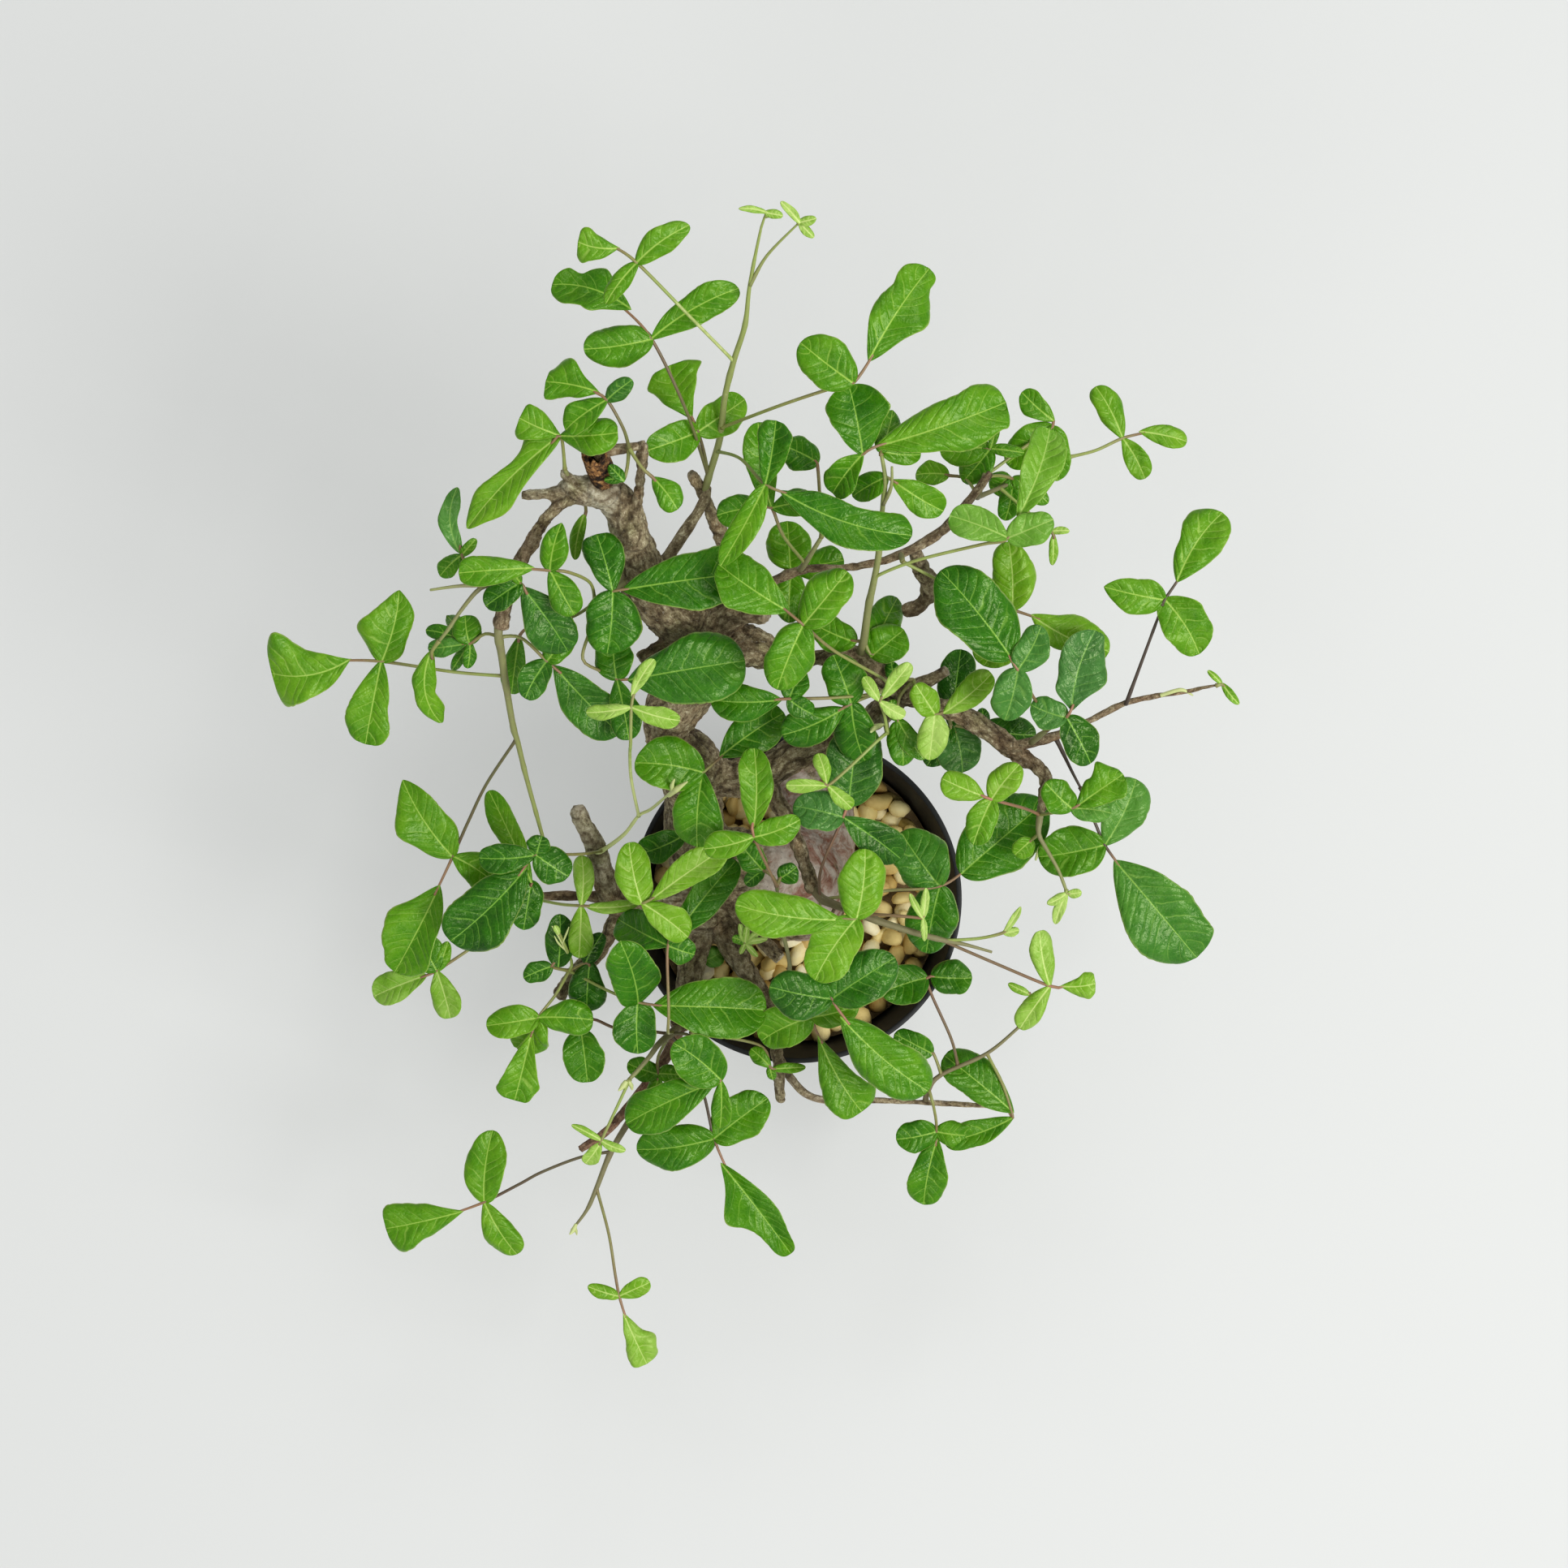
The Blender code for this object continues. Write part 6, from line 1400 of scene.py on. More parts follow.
        "stems": [[(1300, 908, 168, 1.1), (1307, 922, 166, 0.8), (1320, 949, 163, 0.7),
                   (1331, 970, 161, 0.65)]],
        "leaves": [
            ([(1331, 970, 161), (1351, 1018, 158), (1361, 1041, 157)],
             [(1374, 1061, 1475, 1180, -6, 92, OBOVATE), (1368, 1036, 1400, 960, 2, 58, OBOVATE),
              (1352, 1043, 1279, 1056, -4, 62, ROUND)]),
        ],
    },
    "spray_far_right": {
        "stems": [[(1388, 866, 174, 0.95), (1392, 855, 178, 0.75), (1435, 739, 190, 0.6)]],
        "leaves": [
            ([(1432, 746, 190), (1435, 739, 190)],
             [(1451, 716, 1506, 631, 1, 56, OBOVATE), (1430, 737, 1360, 723, 1, 46, POINTED),
              (1439, 743, 1478, 806, -3, 58, ROUND)]),
            ([(1498, 845, 181), (1505, 843, 181)],
             [(1507, 843, 1527, 868, 0, 11, LONG), (1506, 842, 1488, 826, 1, 8, LONG)]),
        ],
    },
    "shoot_dropping": {
        "stems": [
            [(1283, 988, 163, 1.4), (1281, 1008, 164, 1.3), (1280, 1028, 164, 1.0),
             (1290, 1047, 163, 0.9),
             (1304, 1072, 162, 0.8), (1314, 1098, 161, 0.7)],
        ],
        "leaves": [
            ([(1281, 1004, 164), (1262, 996, 171), (1222, 985, 178)],
             [(1212, 981, 1160, 959, 1, 36, OBOVATE), (1224, 982, 1256, 942, 3, 37, ROUND),
              (1221, 989, 1199, 1041, -3, 38, ROUND)]),
            ([(1281, 1004, 164), (1300, 1001, 172), (1321, 996, 177)],
             [(1328, 993, 1384, 954, 2, 44, OBOVATE), (1318, 993, 1288, 964, 3, 41, ROUND),
              (1325, 998, 1369, 1002, -2, 31, ROUND)]),
            ([(1280, 1028, 164), (1272, 1034, 160)], [(1271, 1035, 1250, 1054, -3, 27, ROUND)]),
            ([(1314, 1096, 161), (1314, 1101, 161)],
             [(1317, 1101, 1333, 1099, 1, 12, ROUND), (1312, 1104, 1290, 1114, 0, 12, LONG),
              (1313, 1106, 1300, 1139, -2, 14, LONG)]),
        ],
    },
    "spray_trailing": {
        "stems": [
            [(1140, 1358, 86, 1.3), (1144, 1342, 90, 1.1), (1160, 1324, 91, 1.0),
             (1216, 1298, 92, 0.9),
             (1255, 1266, 93, 0.8)],
        ],
        "leaves": [
            ([(1144, 1342, 90), (1149, 1358, 91), (1153, 1378, 86), (1154, 1394, 82)],
             [(1155, 1404, 1138, 1485, -5, 48, OBOVATE), (1150, 1398, 1104, 1404, 0, 40, ROUND),
              (1159, 1395, 1200, 1399, 1, 33, ROUND)]),
            ([(1216, 1298, 92), (1236, 1338, 87), (1248, 1377, 84)],
             [(1248, 1370, 1164, 1301, 3, 52, OBOVATE), (1246, 1385, 1163, 1407, -3, 34, OBOVATE)]),
            ([(1180, 1312, 91), (1172, 1280, 95), (1148, 1226, 99), (1142, 1205, 100)],
             [(1148, 1203, 1198, 1205, -1, 44, ROUND), (1138, 1209, 1086, 1224, 3, 50, ROUND)]),
            ([(1160, 1324, 91), (1150, 1298, 92)], [(1148, 1298, 1102, 1274, 1, 34, ROUND)]),
            ([(1255, 1266, 93), (1270, 1228, 93)], [(1268, 1225, 1242, 1212, 1, 11, LONG)]),
        ],
    },
    "sprout": {
        "stems": [[(928, 1150, 114, 1.2), (925, 1163, 119, 1.0), (921, 1165, 121, 0.9)]],
        "leaves": [
            ([(921, 1165, 121), (918, 1162, 123)],
             [(917, 1160, 902, 1155, 1, 13, ROUND), (921, 1158, 911, 1138, 2, 10, LONG),
              (925, 1162, 938, 1146, 1, 9, LONG), (926, 1163, 934, 1179, -1, 8, LONG),
              (923, 1160, 921, 1139, 3, 9, LONG), (927, 1162, 946, 1157, 1, 8, LONG),
              (924, 1165, 912, 1176, 0, 7, LONG)]),
        ],
    },
}
TONES = {
    "shoot_tall": (0.60, 0.45, 0.50, 0.48, 0.42, 1.0, 1.0),
    "spray_top_left": (0.45, 0.45),
    "spray_nub": (0.55,),
    "spray_low_left": (0.60, 0.40, 0.40),
    "spray_fork": (0.30, 0.45, 0.28, 0.40),
    "shoot_left": (0.35, 0.55, 0.32, 0.48),
    "spray_stub": (0.88, 0.15),
    "spray_twig_end": (0.80, 0.25, 0.50),
    "spray_spur": (0.32, 0.50, 0.20, 0.12, 0.95),
    "spray_bright": (0.82,),
    "spray_knot": (0.38, 0.22),
    "spray_inner": (0.58, 0.20, 0.20),
    "shoot_front": (0.22, 0.35, 0.36, 0.40, 0.92, 0.30, 0.50, 0.90),
    "shoot_low": (0.55, 0.70),
    "shoot_right": (0.15, 0.62, 0.22, 0.40, 0.45, 0.82, 0.95, 0.92),
    "spray_centre": (0.84, 0.86),
    "spray_gnarl": (0.30, 0.20, 0.50),
    "spray_bud": (0.76, 0.30, 0.25),
    "spray_shade": (0.15, 0.18),
    "shoot_up": (0.68, 0.42, 0.35, 0.40, 0.45),
    "spray_high": (0.50, 0.45, 0.40),
    "spray_under": (0.45,),
    "spray_cross": (0.60,),
    "spray_far_up": (0.46, 0.48, 0.35, 0.45, 0.62, 0.85),
    "spray_edge": (0.24, 0.12),
    "spray_outer": (0.30,),
    "spray_far_right": (0.58,),
    "shoot_dropping": (0.64, 0.38, 0.55, 0.95),
    "spray_trailing": (0.38, 0.38, 0.35, 0.35, 0.75),
    "sprout": (0.92,),
}
BROWN_STEMS = {
    "shoot_tall": 0.25, "shoot_left": 0.35, "shoot_right": 0.60, "shoot_up": 0.35,
    "shoot_low": 0.60, "shoot_front": 0.55, "spray_stub": -0.08, "shoot_dropping": 0.45,
    "spray_trailing": 0.66, "spray_far_right": 0.70, "spray_outer": 0.70,
}
FOLDS = {
    (943, 592): 38, (889, 1434): 34, (541, 1092): 24, (776, 381): 26, (690, 537): 24,
    (1062, 562): 30, (531, 803): 24, (1254, 637): 22, (1158, 1226): 20,
}
STALKS = {
    (1046, 992): (0.62, 0.40), (928, 1021): (0.52, 0.10), (1036, 1253): (0.50, 0.50),
    (1137, 1131): (0.50, 0.0), (1148, 1203): (0.46, 0.35), (1212, 981): (0.66, 0.10),
    (762, 305): (0.04, 0.0), (776, 381): (0.30, 0.50), (853, 516): (0.30, 0.50),
    (962, 605): (0.12, 0.20), (738, 484): (0.28, 0.40), (571, 1492): (0.36, 0.70),
    (768, 1617): (0.34, 0.10), (889, 1434): (0.40, 0.75), (880, 1334): (0.36, 0.55),
    (779, 857): (-0.02, 0.0), (1374, 1061): (0.36, 0.85), (1451, 716): (0.30, 0.85),
    (1245, 810): (0.44, 0.10), (541, 1092): (0.30, 0.60), (716, 1269): (0.50, 0.30),
    (1307, 1215): (0.48, 0.25), (806, 1239): (0.20, 0.0), (1321, 874): (0.44, 0.10),
}
DARK_STEMS = {"spray_far_right": 0.90, "spray_outer": 0.90, "shoot_low": 0.10, "spray_far_up": 0.30}
BUDS = {
    "spray_stub": (((824, 980, 170, 0.7), (834, 972, 177, 1.0), (847, 963, 181, 0.2)),
                   ((828, 977, 172, 0.4), (828, 968, 178, 0.7), (831, 960, 181, 0.2))),
    "shoot_low": (((710, 1508, 90, 0.5), (706, 1516, 90, 0.8), (702, 1521, 91, 0.2)),
                  ((708, 1510, 90, 0.3), (710, 1517, 90, 0.5), (711, 1522, 91, 0.1))),
    "shoot_front": (((772, 1332, 121, 0.7), (768, 1338, 121, 1.0), (762, 1344, 122, 0.2)),
                    ((774, 1330, 121, 0.5), (778, 1338, 121, 0.7), (779, 1343, 122, 0.2))),
    "spray_centre": (((1088, 893, 180, 0.5), (1078, 896, 184, 1.0), (1073, 902, 188, 0.3)),),
    "spray_spur": (((704, 1184, 125, 0.40), (692, 1160, 131, 0.45), (680, 1141, 136, 0.15)),
                   ((693, 1162, 131, 0.25), (698, 1150, 133, 0.35), (701, 1142, 135, 0.10)),
                   ((698, 1172, 128, 0.25), (688, 1162, 131, 0.35), (683, 1153, 133, 0.10))),
    "shoot_right": (((1276, 1060, 152, 0.3), (1279, 1050, 153, 0.6), (1280, 1043, 154, 0.2)),),
    "spray_far_right": (((1430, 857, 177, 0.6), (1455, 850, 179, 0.6), (1470, 857, 178, 0.2)),),
}
SHAPES = {
    (889, 1434): (((-1, 0.36, 0.95, 0.15), (-1, 0.80, -0.35, 0.20), (1, 0.80, -0.32, 0.2)), -0.03),
    (571, 1492): (((1, 0.92, 0.10, 0.08), (-1, 0.55, -0.10, 0.10), (1, 0.60, -0.08, 0.08)), 0.0),
    (768, 1617): (((1, 0.60, 0.45, 0.12), (-1, 0.45, -0.20, 0.15)), 0.0),
    (431, 812): (((1, 0.55, -0.35, 0.25), (-1, 0.80, 0.15, 0.12)), 0.06),
    (468, 807): (((1, 0.42, 0.40, 0.20), (-1, 0.45, -0.30, 0.25)), -0.02),
    (468, 818): (((-1, 0.75, 0.18, 0.14), (1, 0.55, -0.12, 0.15)), -0.03),
    (776, 381): (((1, 0.45, 0.25, 0.10), (-1, 0.40, 0.30, 0.12), (-1, 0.70, -0.30, 0.10)), -0.05),
    (690, 537): (((-1, 0.16, 1.30, 0.10), (-1, 0.42, -0.10, 0.08), (1, 0.70, 0.55, 0.18),
                   (-1, 0.75, 0.35, 0.15)), -0.07),
    (532, 803): (((-1, 0.35, 0.25, 0.12), (1, 0.55, -0.30, 0.10), (1, 0.80, 0.30, 0.10)), -0.15),
    (655, 700): (((-1, 0.60, 0.10, 0.10), (1, 0.75, 0.15, 0.12)), 0.02),
    (762, 305): (((1, 0.85, 0.15, 0.10), (-1, 0.55, -0.12, 0.12)), 0.05),
    (1080, 550): (((1, 0.80, 0.10, 0.10), (-1, 0.97, 0.30, 0.05), (-1, 0.45, -0.08, 0.10)), -0.02),
    (1063, 557): (((-1, 0.62, 0.16, 0.12), (1, 0.40, -0.12, 0.12), (1, 0.75, 0.10, 0.12)), 0.0),
    (1071, 444): (((-1, 0.52, 0.34, 0.14), (-1, 0.85, -0.25, 0.10), (1, 0.35, 0.10, 0.12),
                   (1, 0.70, -0.20, 0.12)), 0.02),
    (853, 516): (((1, 0.75, 0.20, 0.10), (-1, 0.85, 0.30, 0.08)), 0.05),
    (738, 484): (((1, 0.60, -0.35, 0.30), (-1, 0.55, 0.35, 0.15), (-1, 0.92, -0.30, 0.10)), 0.0),
    (1374, 1061): (((1, 0.55, 0.05, 0.10), (1, 0.92, 0.12, 0.06), (-1, 0.50, 0.04, 0.10)), 0.0),
    (1321, 874): (((-1, 0.42, 0.45, 0.18), (-1, 0.88, -0.15, 0.08), (1, 0.15, 0.60, 0.14)), 0.03),
    (1368, 1036): (((1, 0.80, 0.15, 0.10), (-1, 0.50, 0.12, 0.10)), 0.0),
    (1451, 716): (((-1, 0.60, 0.12, 0.14), (1, 0.85, 0.12, 0.08), (1, 0.45, -0.10, 0.12)), 0.02),
    (1328, 993): (((1, 0.75, 0.45, 0.10), (-1, 0.80, 0.15, 0.10), (1, 0.50, -0.15, 0.08)), 0.0),
    (1008, 1276): (((-1, 0.70, 0.15, 0.10), (1, 0.85, 0.12, 0.08)), 0.0),
    (1272, 758): (((1, 0.45, 0.20, 0.15), (-1, 0.60, -0.30, 0.20)), -0.08),
    (1185, 1076): (((1, 0.75, 0.18, 0.12), (-1, 0.45, 0.10, 0.12)), 0.03),
    (656, 1269): (((1, 0.75, 0.15, 0.08), (-1, 0.90, 0.10, 0.06)), 0.0),
    (541, 1092): (((-1, 0.45, 0.25, 0.14), (1, 0.80, 0.15, 0.12), (-1, 0.85, -0.20, 0.10)), 0.04),
    (545, 1053): (((1, 0.58, 0.34, 0.22), (-1, 0.50, -0.08, 0.20)), 0.0),
    (567, 680): (((1, 0.50, 0.20, 0.20), (-1, 0.50, -0.30, 0.20)), 0.14),
    (768, 727): (((-1, 0.55, 0.12, 0.15), (1, 0.60, -0.12, 0.15)), 0.03),
    (962, 605): (((1, 0.56, -0.14, 0.12), (1, 0.90, 0.25, 0.09), (-1, 0.45, 0.16, 0.18),
                   (1, 0.22, 0.30, 0.12)), -0.02),
    (943, 592): (((1, 0.80, 0.12, 0.10), (-1, 0.85, 0.25, 0.10)), 0.02),
    (971, 753): (((1, 0.70, 0.15, 0.12), (-1, 0.50, 0.15, 0.12)), 0.0),
    (1245, 810): (((1, 0.72, 0.08, 0.12), (-1, 0.62, 0.06, 0.12)), 0.0),
    (1307, 1215): (((1, 0.70, 0.25, 0.10), (-1, 0.80, 0.20, 0.10)), 0.0),
}
# Tone of each listed leaflet, and its share of painted sheen, a pale bluish reflection painted into
# its colour.
LOOKS = {
    (768, 592): (0.22, 0.0), (767, 593): (0.25, 0.0), (1507, 843): (0.70, 0.0),
    (1506, 842): (0.70, 0.0), (868, 1184): (0.45, 0.4), (917, 1160): (0.40, 0.0),
    (1019, 1230): (0.13, 0.10), (1030, 1229): (0.15, 0.10), (1035, 1006): (0.14, 0.60),
    (1042, 1009): (0.11, 0.10), (1046, 992): (0.14, 0.20), (1157, 1086): (0.28, 0.25),
    (1257, 822): (0.25, 0.55), (1253, 829): (0.25, 0.60), (1312, 880): (0.22, 0.60),
    (1176, 898): (0.20, 0.55), (1368, 1036): (0.40, 0.60), (1325, 998): (0.45, 0.55),
    (1374, 1061): (0.30, 0.35), (748, 500): (0.20, 0.30), (525, 1202): (0.78, 0.20),
    (539, 1203): (0.78, 0.10), (535, 1193): (0.35, 0.0), (650, 1080): (0.50, 0.0),
    (962, 605): (0.26, 0.0), (943, 592): (0.30, 0.0), (644, 724): (0.10, 0.15),
    (641, 720): (0.12, 0.0), (567, 680): (0.35, 0.8), (1321, 874): (0.15, 0.7),
    (1080, 550): (0.52, 0.0), (1063, 557): (0.30, 0.0), (768, 727): (0.28, 0.0),
    (775, 838): (0.22, 0.15), (755, 733): (0.18, 0.0), (753, 725): (0.16, 0.0),
    (971, 753): (0.42, 0.0), (683, 821): (0.18, 0.1), (670, 818): (0.18, 0.1),
    (760, 833): (0.25, 0.0), (574, 793): (0.30, 0.4), (1238, 661): (0.60, 0.45),
    (1246, 662): (0.60, 0.45), (1254, 637): (0.62, 0.25),
}
STEM, PETIOLE, BLADE = 0, 1, 2
BLADE_THICKNESS = 0.00036
BLADE_FOLD_DEGREES = 17
BLADE_ROLL = math.radians(11)
BLADE_ARCH = 0.045
BLADE_TWIST = 0.24
BLADE_SWAY = 0.045
BLADE_CUP = (0.06, 0.46)
BLADE_SINK = 0.0005
EDGE_WAVE = 0.060
EDGE_RIPPLE = 0.022
EDGE_LIFT = 0.20
TIP_NOTCH = 0.045
TIP_DROOP = 0.05
TIP_SINK = 0.03
MIDRIB_WAVE = 0.035
RIM_THINNING = 0.45
FULL_RELIEF_WIDTH = 0.011
JOINT_REACH = 0.0050
PETIOLE_RADIUS = 0.00048
PETIOLE_SIDES = 8
STEM_SIDES = 10
STEM_SLIMNESS = 0.80
STEM_TAPER = 0.20
STEM_NODE = 0.10
STEM_BROWN = 0.45
STEM_STEP = 0.0016
PETIOLE_STEP = 0.0014
PETIOLE_SWELL = 0.55
BUD_STEP = 0.0005
BUD_TONE = -0.03
JOINT_RED = 0.52
TONE_SPREAD = 0.08
VEIN_SPACING = 0.0033
VEIN_ADVANCE = 0.17
CRINKLE = 0.00022
WRINKLE = 0.00017
SCALLOP = 0.026
ROWS_PER_METRE = 2100
LANES_PER_METRE = 700
LEAF_GREENS = (
    (0.0, (0.009, 0.066, 0.004)), (0.24, (0.028, 0.145, 0.003)), (0.48, (0.074, 0.225, 0.003)),
    (0.74, (0.155, 0.325, 0.014)), (1.0, (0.330, 0.480, 0.115)))
VEIN_GREENS = ((0.0, (0.13, 0.30, 0.04)), (0.5, (0.27, 0.43, 0.07)), (1.0, (0.50, 0.60, 0.22)))
MARGIN_GREEN = (0.40, 0.50, 0.14, 1)
UNDER_GREEN = (0.24, 0.40, 0.13, 1)
PAINTED_SHEEN_GREEN = (0.112, 0.255, 0.092, 1)
LEAF_SHEEN = (0.94, 1.0, 0.66, 1)
PALE_STEM = (0.50, 0.55, 0.24)
DARK_STEM = (0.060, 0.042, 0.036, 1)
STEM_DOTS = (0.5, 0.45, 0.33, 1)


def half_width(share, outline):
    """Half width of a blade at a share of its length, as a share of its greatest."""
    start, close = outline
    peak = start / (start + close)
    top = peak ** start * (1 - peak) ** close
    return share ** start * (1 - share) ** close / top


def lean(across, down):
    """Small roll of a blade, fixed by where its base is seen."""
    return BLADE_ROLL * math.sin(across * 1.7 + down * 2.3)


def lobed(s, v, lobes):
    """Share that lobes and bites, as (side, place, amount, spread), add to the half width."""
    result = 0 * s + 0 * v
    for side, at, amount, spread in lobes:
        swell = amount * np.exp(-((s - at) / spread) ** 2)
        result = result + swell * (v > 0 if side > 0 else v < 0)
    return result


def blade(base, tip, width, outline, roll, fold, skin, chance, lobes, bend):
    """Closed thin blade: points, faces, and each point's vein, cell and rib places and skin."""
    length = (tip - base).length
    along = (tip - base).normalized()
    across = Vector((0, 0, 1)).cross(along).normalized()
    up = along.cross(across)
    rows = int(min(max(length * ROWS_PER_METRE, 8), 68))
    lanes = 2 * int(min(max(width * LANES_PER_METRE, 3), 14))
    even = np.linspace(0, 1, rows + 1)
    s = (0.55 * even + 0.45 * (1 - np.cos(np.pi * even)) / 2)[1:-1, None]
    v = np.linspace(-1, 1, lanes + 1)[None, :]
    v = np.sign(v) * np.abs(v) ** 0.85
    veins = max(5.0, min(10.0, round(length / VEIN_SPACING)))
    left = np.where(v > 0, 1.0, 0.0)
    q = veins * (s - VEIN_ADVANCE * np.abs(v) - 0.05 * v ** 2) + 0.5 * left
    phase = [chance.uniform(0, math.tau) for _ in range(8)]
    q = q + 0.20 * np.sin(1.9 * q + phase[4] + 2.1 * left) + 0.10 * np.sin(4.3 * q + phase[5])
    bulge = np.abs(np.sin(np.pi * q)) ** 0.8
    pace = chance.uniform(6.0, 9.5)
    lopsided = chance.uniform(-0.08, 0.08)
    uneven = EDGE_WAVE * np.sin(pace * s + phase[0] + 2.6 * left) * np.clip(s * 3, 0, 1)
    ripple = np.sin(15.0 * s + phase[1] + 1.9 * left) * np.clip(s * 2, 0, 1)
    uneven = uneven + EDGE_RIPPLE * ripple
    scallop = SCALLOP * (bulge - 0.65) * np.clip((s - 0.22) * 3, 0, 1)
    shape = 1 + uneven + scallop + lobed(s, v, lobes) + lopsided * np.sign(v) * np.sin(np.pi * s)
    half = width / 2 * half_width(s, outline) * shape
    notch = -TIP_NOTCH * chance.random() * np.exp(-(v / 0.28) ** 2) * s ** 8
    sway = (bend + chance.uniform(-BLADE_SWAY, BLADE_SWAY)) * length * 4 * s * (1 - s)
    x = length * (s + notch) + 0 * v
    y = v * half + sway
    twist = chance.uniform(-BLADE_TWIST, BLADE_TWIST)
    rise = np.tan(fold) * (np.sqrt(v ** 2 + 0.010) - 0.10) * half
    rise = rise + (np.tan(roll) + twist * (s - 0.5)) * v * half
    rise = rise - chance.uniform(*BLADE_CUP) * half * v ** 4
    rise = rise + EDGE_LIFT * half * v ** 2 * np.sin(pace * s + phase[2] + 2.2 * left)
    rise = rise + MIDRIB_WAVE * width * np.sin(6.5 * s + phase[3]) * np.sqrt(s * (1 - s))
    rise = rise + BLADE_ARCH * length * 4 * s * (1 - s)
    rise = rise - chance.uniform(0.0, TIP_DROOP) * length * s ** 4
    size = min(1.0, width / FULL_RELIEF_WIDTH)
    panels = (bulge - 0.6) * np.clip(np.abs(v) * 5, 0, 1) * (1 - 0.8 * v ** 6)
    rise = rise + CRINKLE * size * panels
    grid = np.stack([x + 0 * rise, y + 0 * rise, rise], axis=-1).reshape(-1, 3)
    axes = np.array([tuple(along), tuple(across), tuple(up)])
    middle = grid @ axes + np.array(tuple(base))
    lift = np.array(tuple(up))
    middle = middle + lift * wrinkled(middle, s, v, size)[:, None]
    end = tip - up * chance.uniform(0.0, TIP_SINK) * length
    sheet = np.vstack([middle, [tuple(base)], [tuple(end)]])
    rim = np.append((np.abs(v) ** 3 + 0 * s).reshape(-1), [0, 1])
    thick = BLADE_THICKNESS / 2 * (1 - RIM_THINNING * rim)
    points = np.vstack([sheet + lift * thick[:, None], sheet - lift * thick[:, None]])
    shift = np.array([chance.uniform(0, 30), chance.uniform(0, 30)])
    vein_place = np.stack([q, v + 0 * s], axis=-1).reshape(-1, 2)
    vein_place = np.vstack([vein_place, [[0.5, 0], [veins + 0.5, 1]]])
    cell_place = np.vstack([grid[:, :2], [[0, 0], [length, 0]]]) * 1000 + shift
    ribs = np.stack([s + 0 * v, v * half * 1000], axis=-1).reshape(-1, 2)
    ribs = np.vstack([ribs, [[0, 0], [1, 0]]])
    pitch = np.full(len(sheet), length * 1000 / veins)
    notes = np.column_stack([vein_place, cell_place, ribs, np.full(len(sheet), skin[0]), pitch])
    under = np.concatenate([np.zeros(len(sheet)), np.ones(len(sheet))])
    # Share of painted sheen, a pale bluish reflection painted into the blade's colour.
    sheen_share = np.full(2 * len(sheet), skin[1])
    faces = blade_faces(rows - 1, lanes + 1, len(sheet))
    return points, faces, np.column_stack([np.vstack([notes, notes]), under, sheen_share])


def wrinkled(places, s, v, size):
    """Quilting of a blade between its veins, weaker towards the margin."""
    raw = np.array([
        noise.noise(Vector(p) * 330) + 0.65 * noise.noise(Vector(p) * 640) for p in places])
    fade = (1 - 0.7 * np.abs(v) ** 4 + 0 * s).reshape(-1)
    return WRINKLE * size * raw * fade


def blade_faces(rows, lanes, lower):
    """Faces of a blade's upper and lower sheets and the rim between them."""
    start, end = rows * lanes, rows * lanes + 1
    top = []
    for i in range(rows - 1):
        for j in range(lanes - 1):
            a = i * lanes + j
            top.append((a, a + lanes, a + lanes + 1, a + 1))
    for j in range(lanes - 1):
        top.append((start, j, j + 1))
        a = (rows - 1) * lanes + j
        top.append((a, end, a + 1))
    edge = [start] + [i * lanes for i in range(rows)] + [end]
    edge += [i * lanes + lanes - 1 for i in reversed(range(rows))]
    faces = list(top)
    faces += [tuple(i + lower for i in reversed(face)) for face in top]
    for k, a in enumerate(edge):
        b = edge[(k + 1) % len(edge)]
        faces.append((b, a, a + lower, b + lower))
    return faces


def leaf_shapes(petiole, leaflets, tone, chance):
    """A leaf's petiole as a path, and its blades. make_shoot gives the petiole its flush of red."""
    joint = spot(*petiole[-1])
    path = [(*point, PETIOLE_RADIUS * 1000) for point in petiole]
    base_x, base_y, tip_x, tip_y, rise, _, _ = leaflets[0]
    end_height = petiole[-1][2] + rise * 0.12
    far = [base_x + (tip_x - base_x) * 0.10, base_y + (tip_y - base_y) * 0.10]
    path.append((*far, end_height, PETIOLE_RADIUS * 620))
    blades = []
    for i, (base_x, base_y, tip_x, tip_y, rise, width, outline) in enumerate(leaflets):
        tip = spot(tip_x, tip_y, petiole[-1][2] + rise)
        base = spot(base_x, base_y, petiole[-1][2] + rise * 0.1)
        near = (base - joint).length < JOINT_REACH and i > 0
        start = joint if near else base
        start = start - (tip - start).normalized() * BLADE_SINK
        scale = (VIEW_HEIGHT - petiole[-1][2] / 1000) / VIEW_FOCAL_PIXELS
        fold = math.radians(FOLDS.get((base_x, base_y), BLADE_FOLD_DEGREES))
        leaf_tone = min(max(tone + chance.uniform(-TONE_SPREAD, TONE_SPREAD), 0), 1)
        skin = LOOKS.get((base_x, base_y), (leaf_tone, 0.0))
        lobes, bend = SHAPES.get((base_x, base_y), ((), 0.0))
        blades.append(blade(
            start, tip, width * scale, outline, lean(base_x, base_y), fold, skin, chance, lobes,
            bend))
    return path, blades


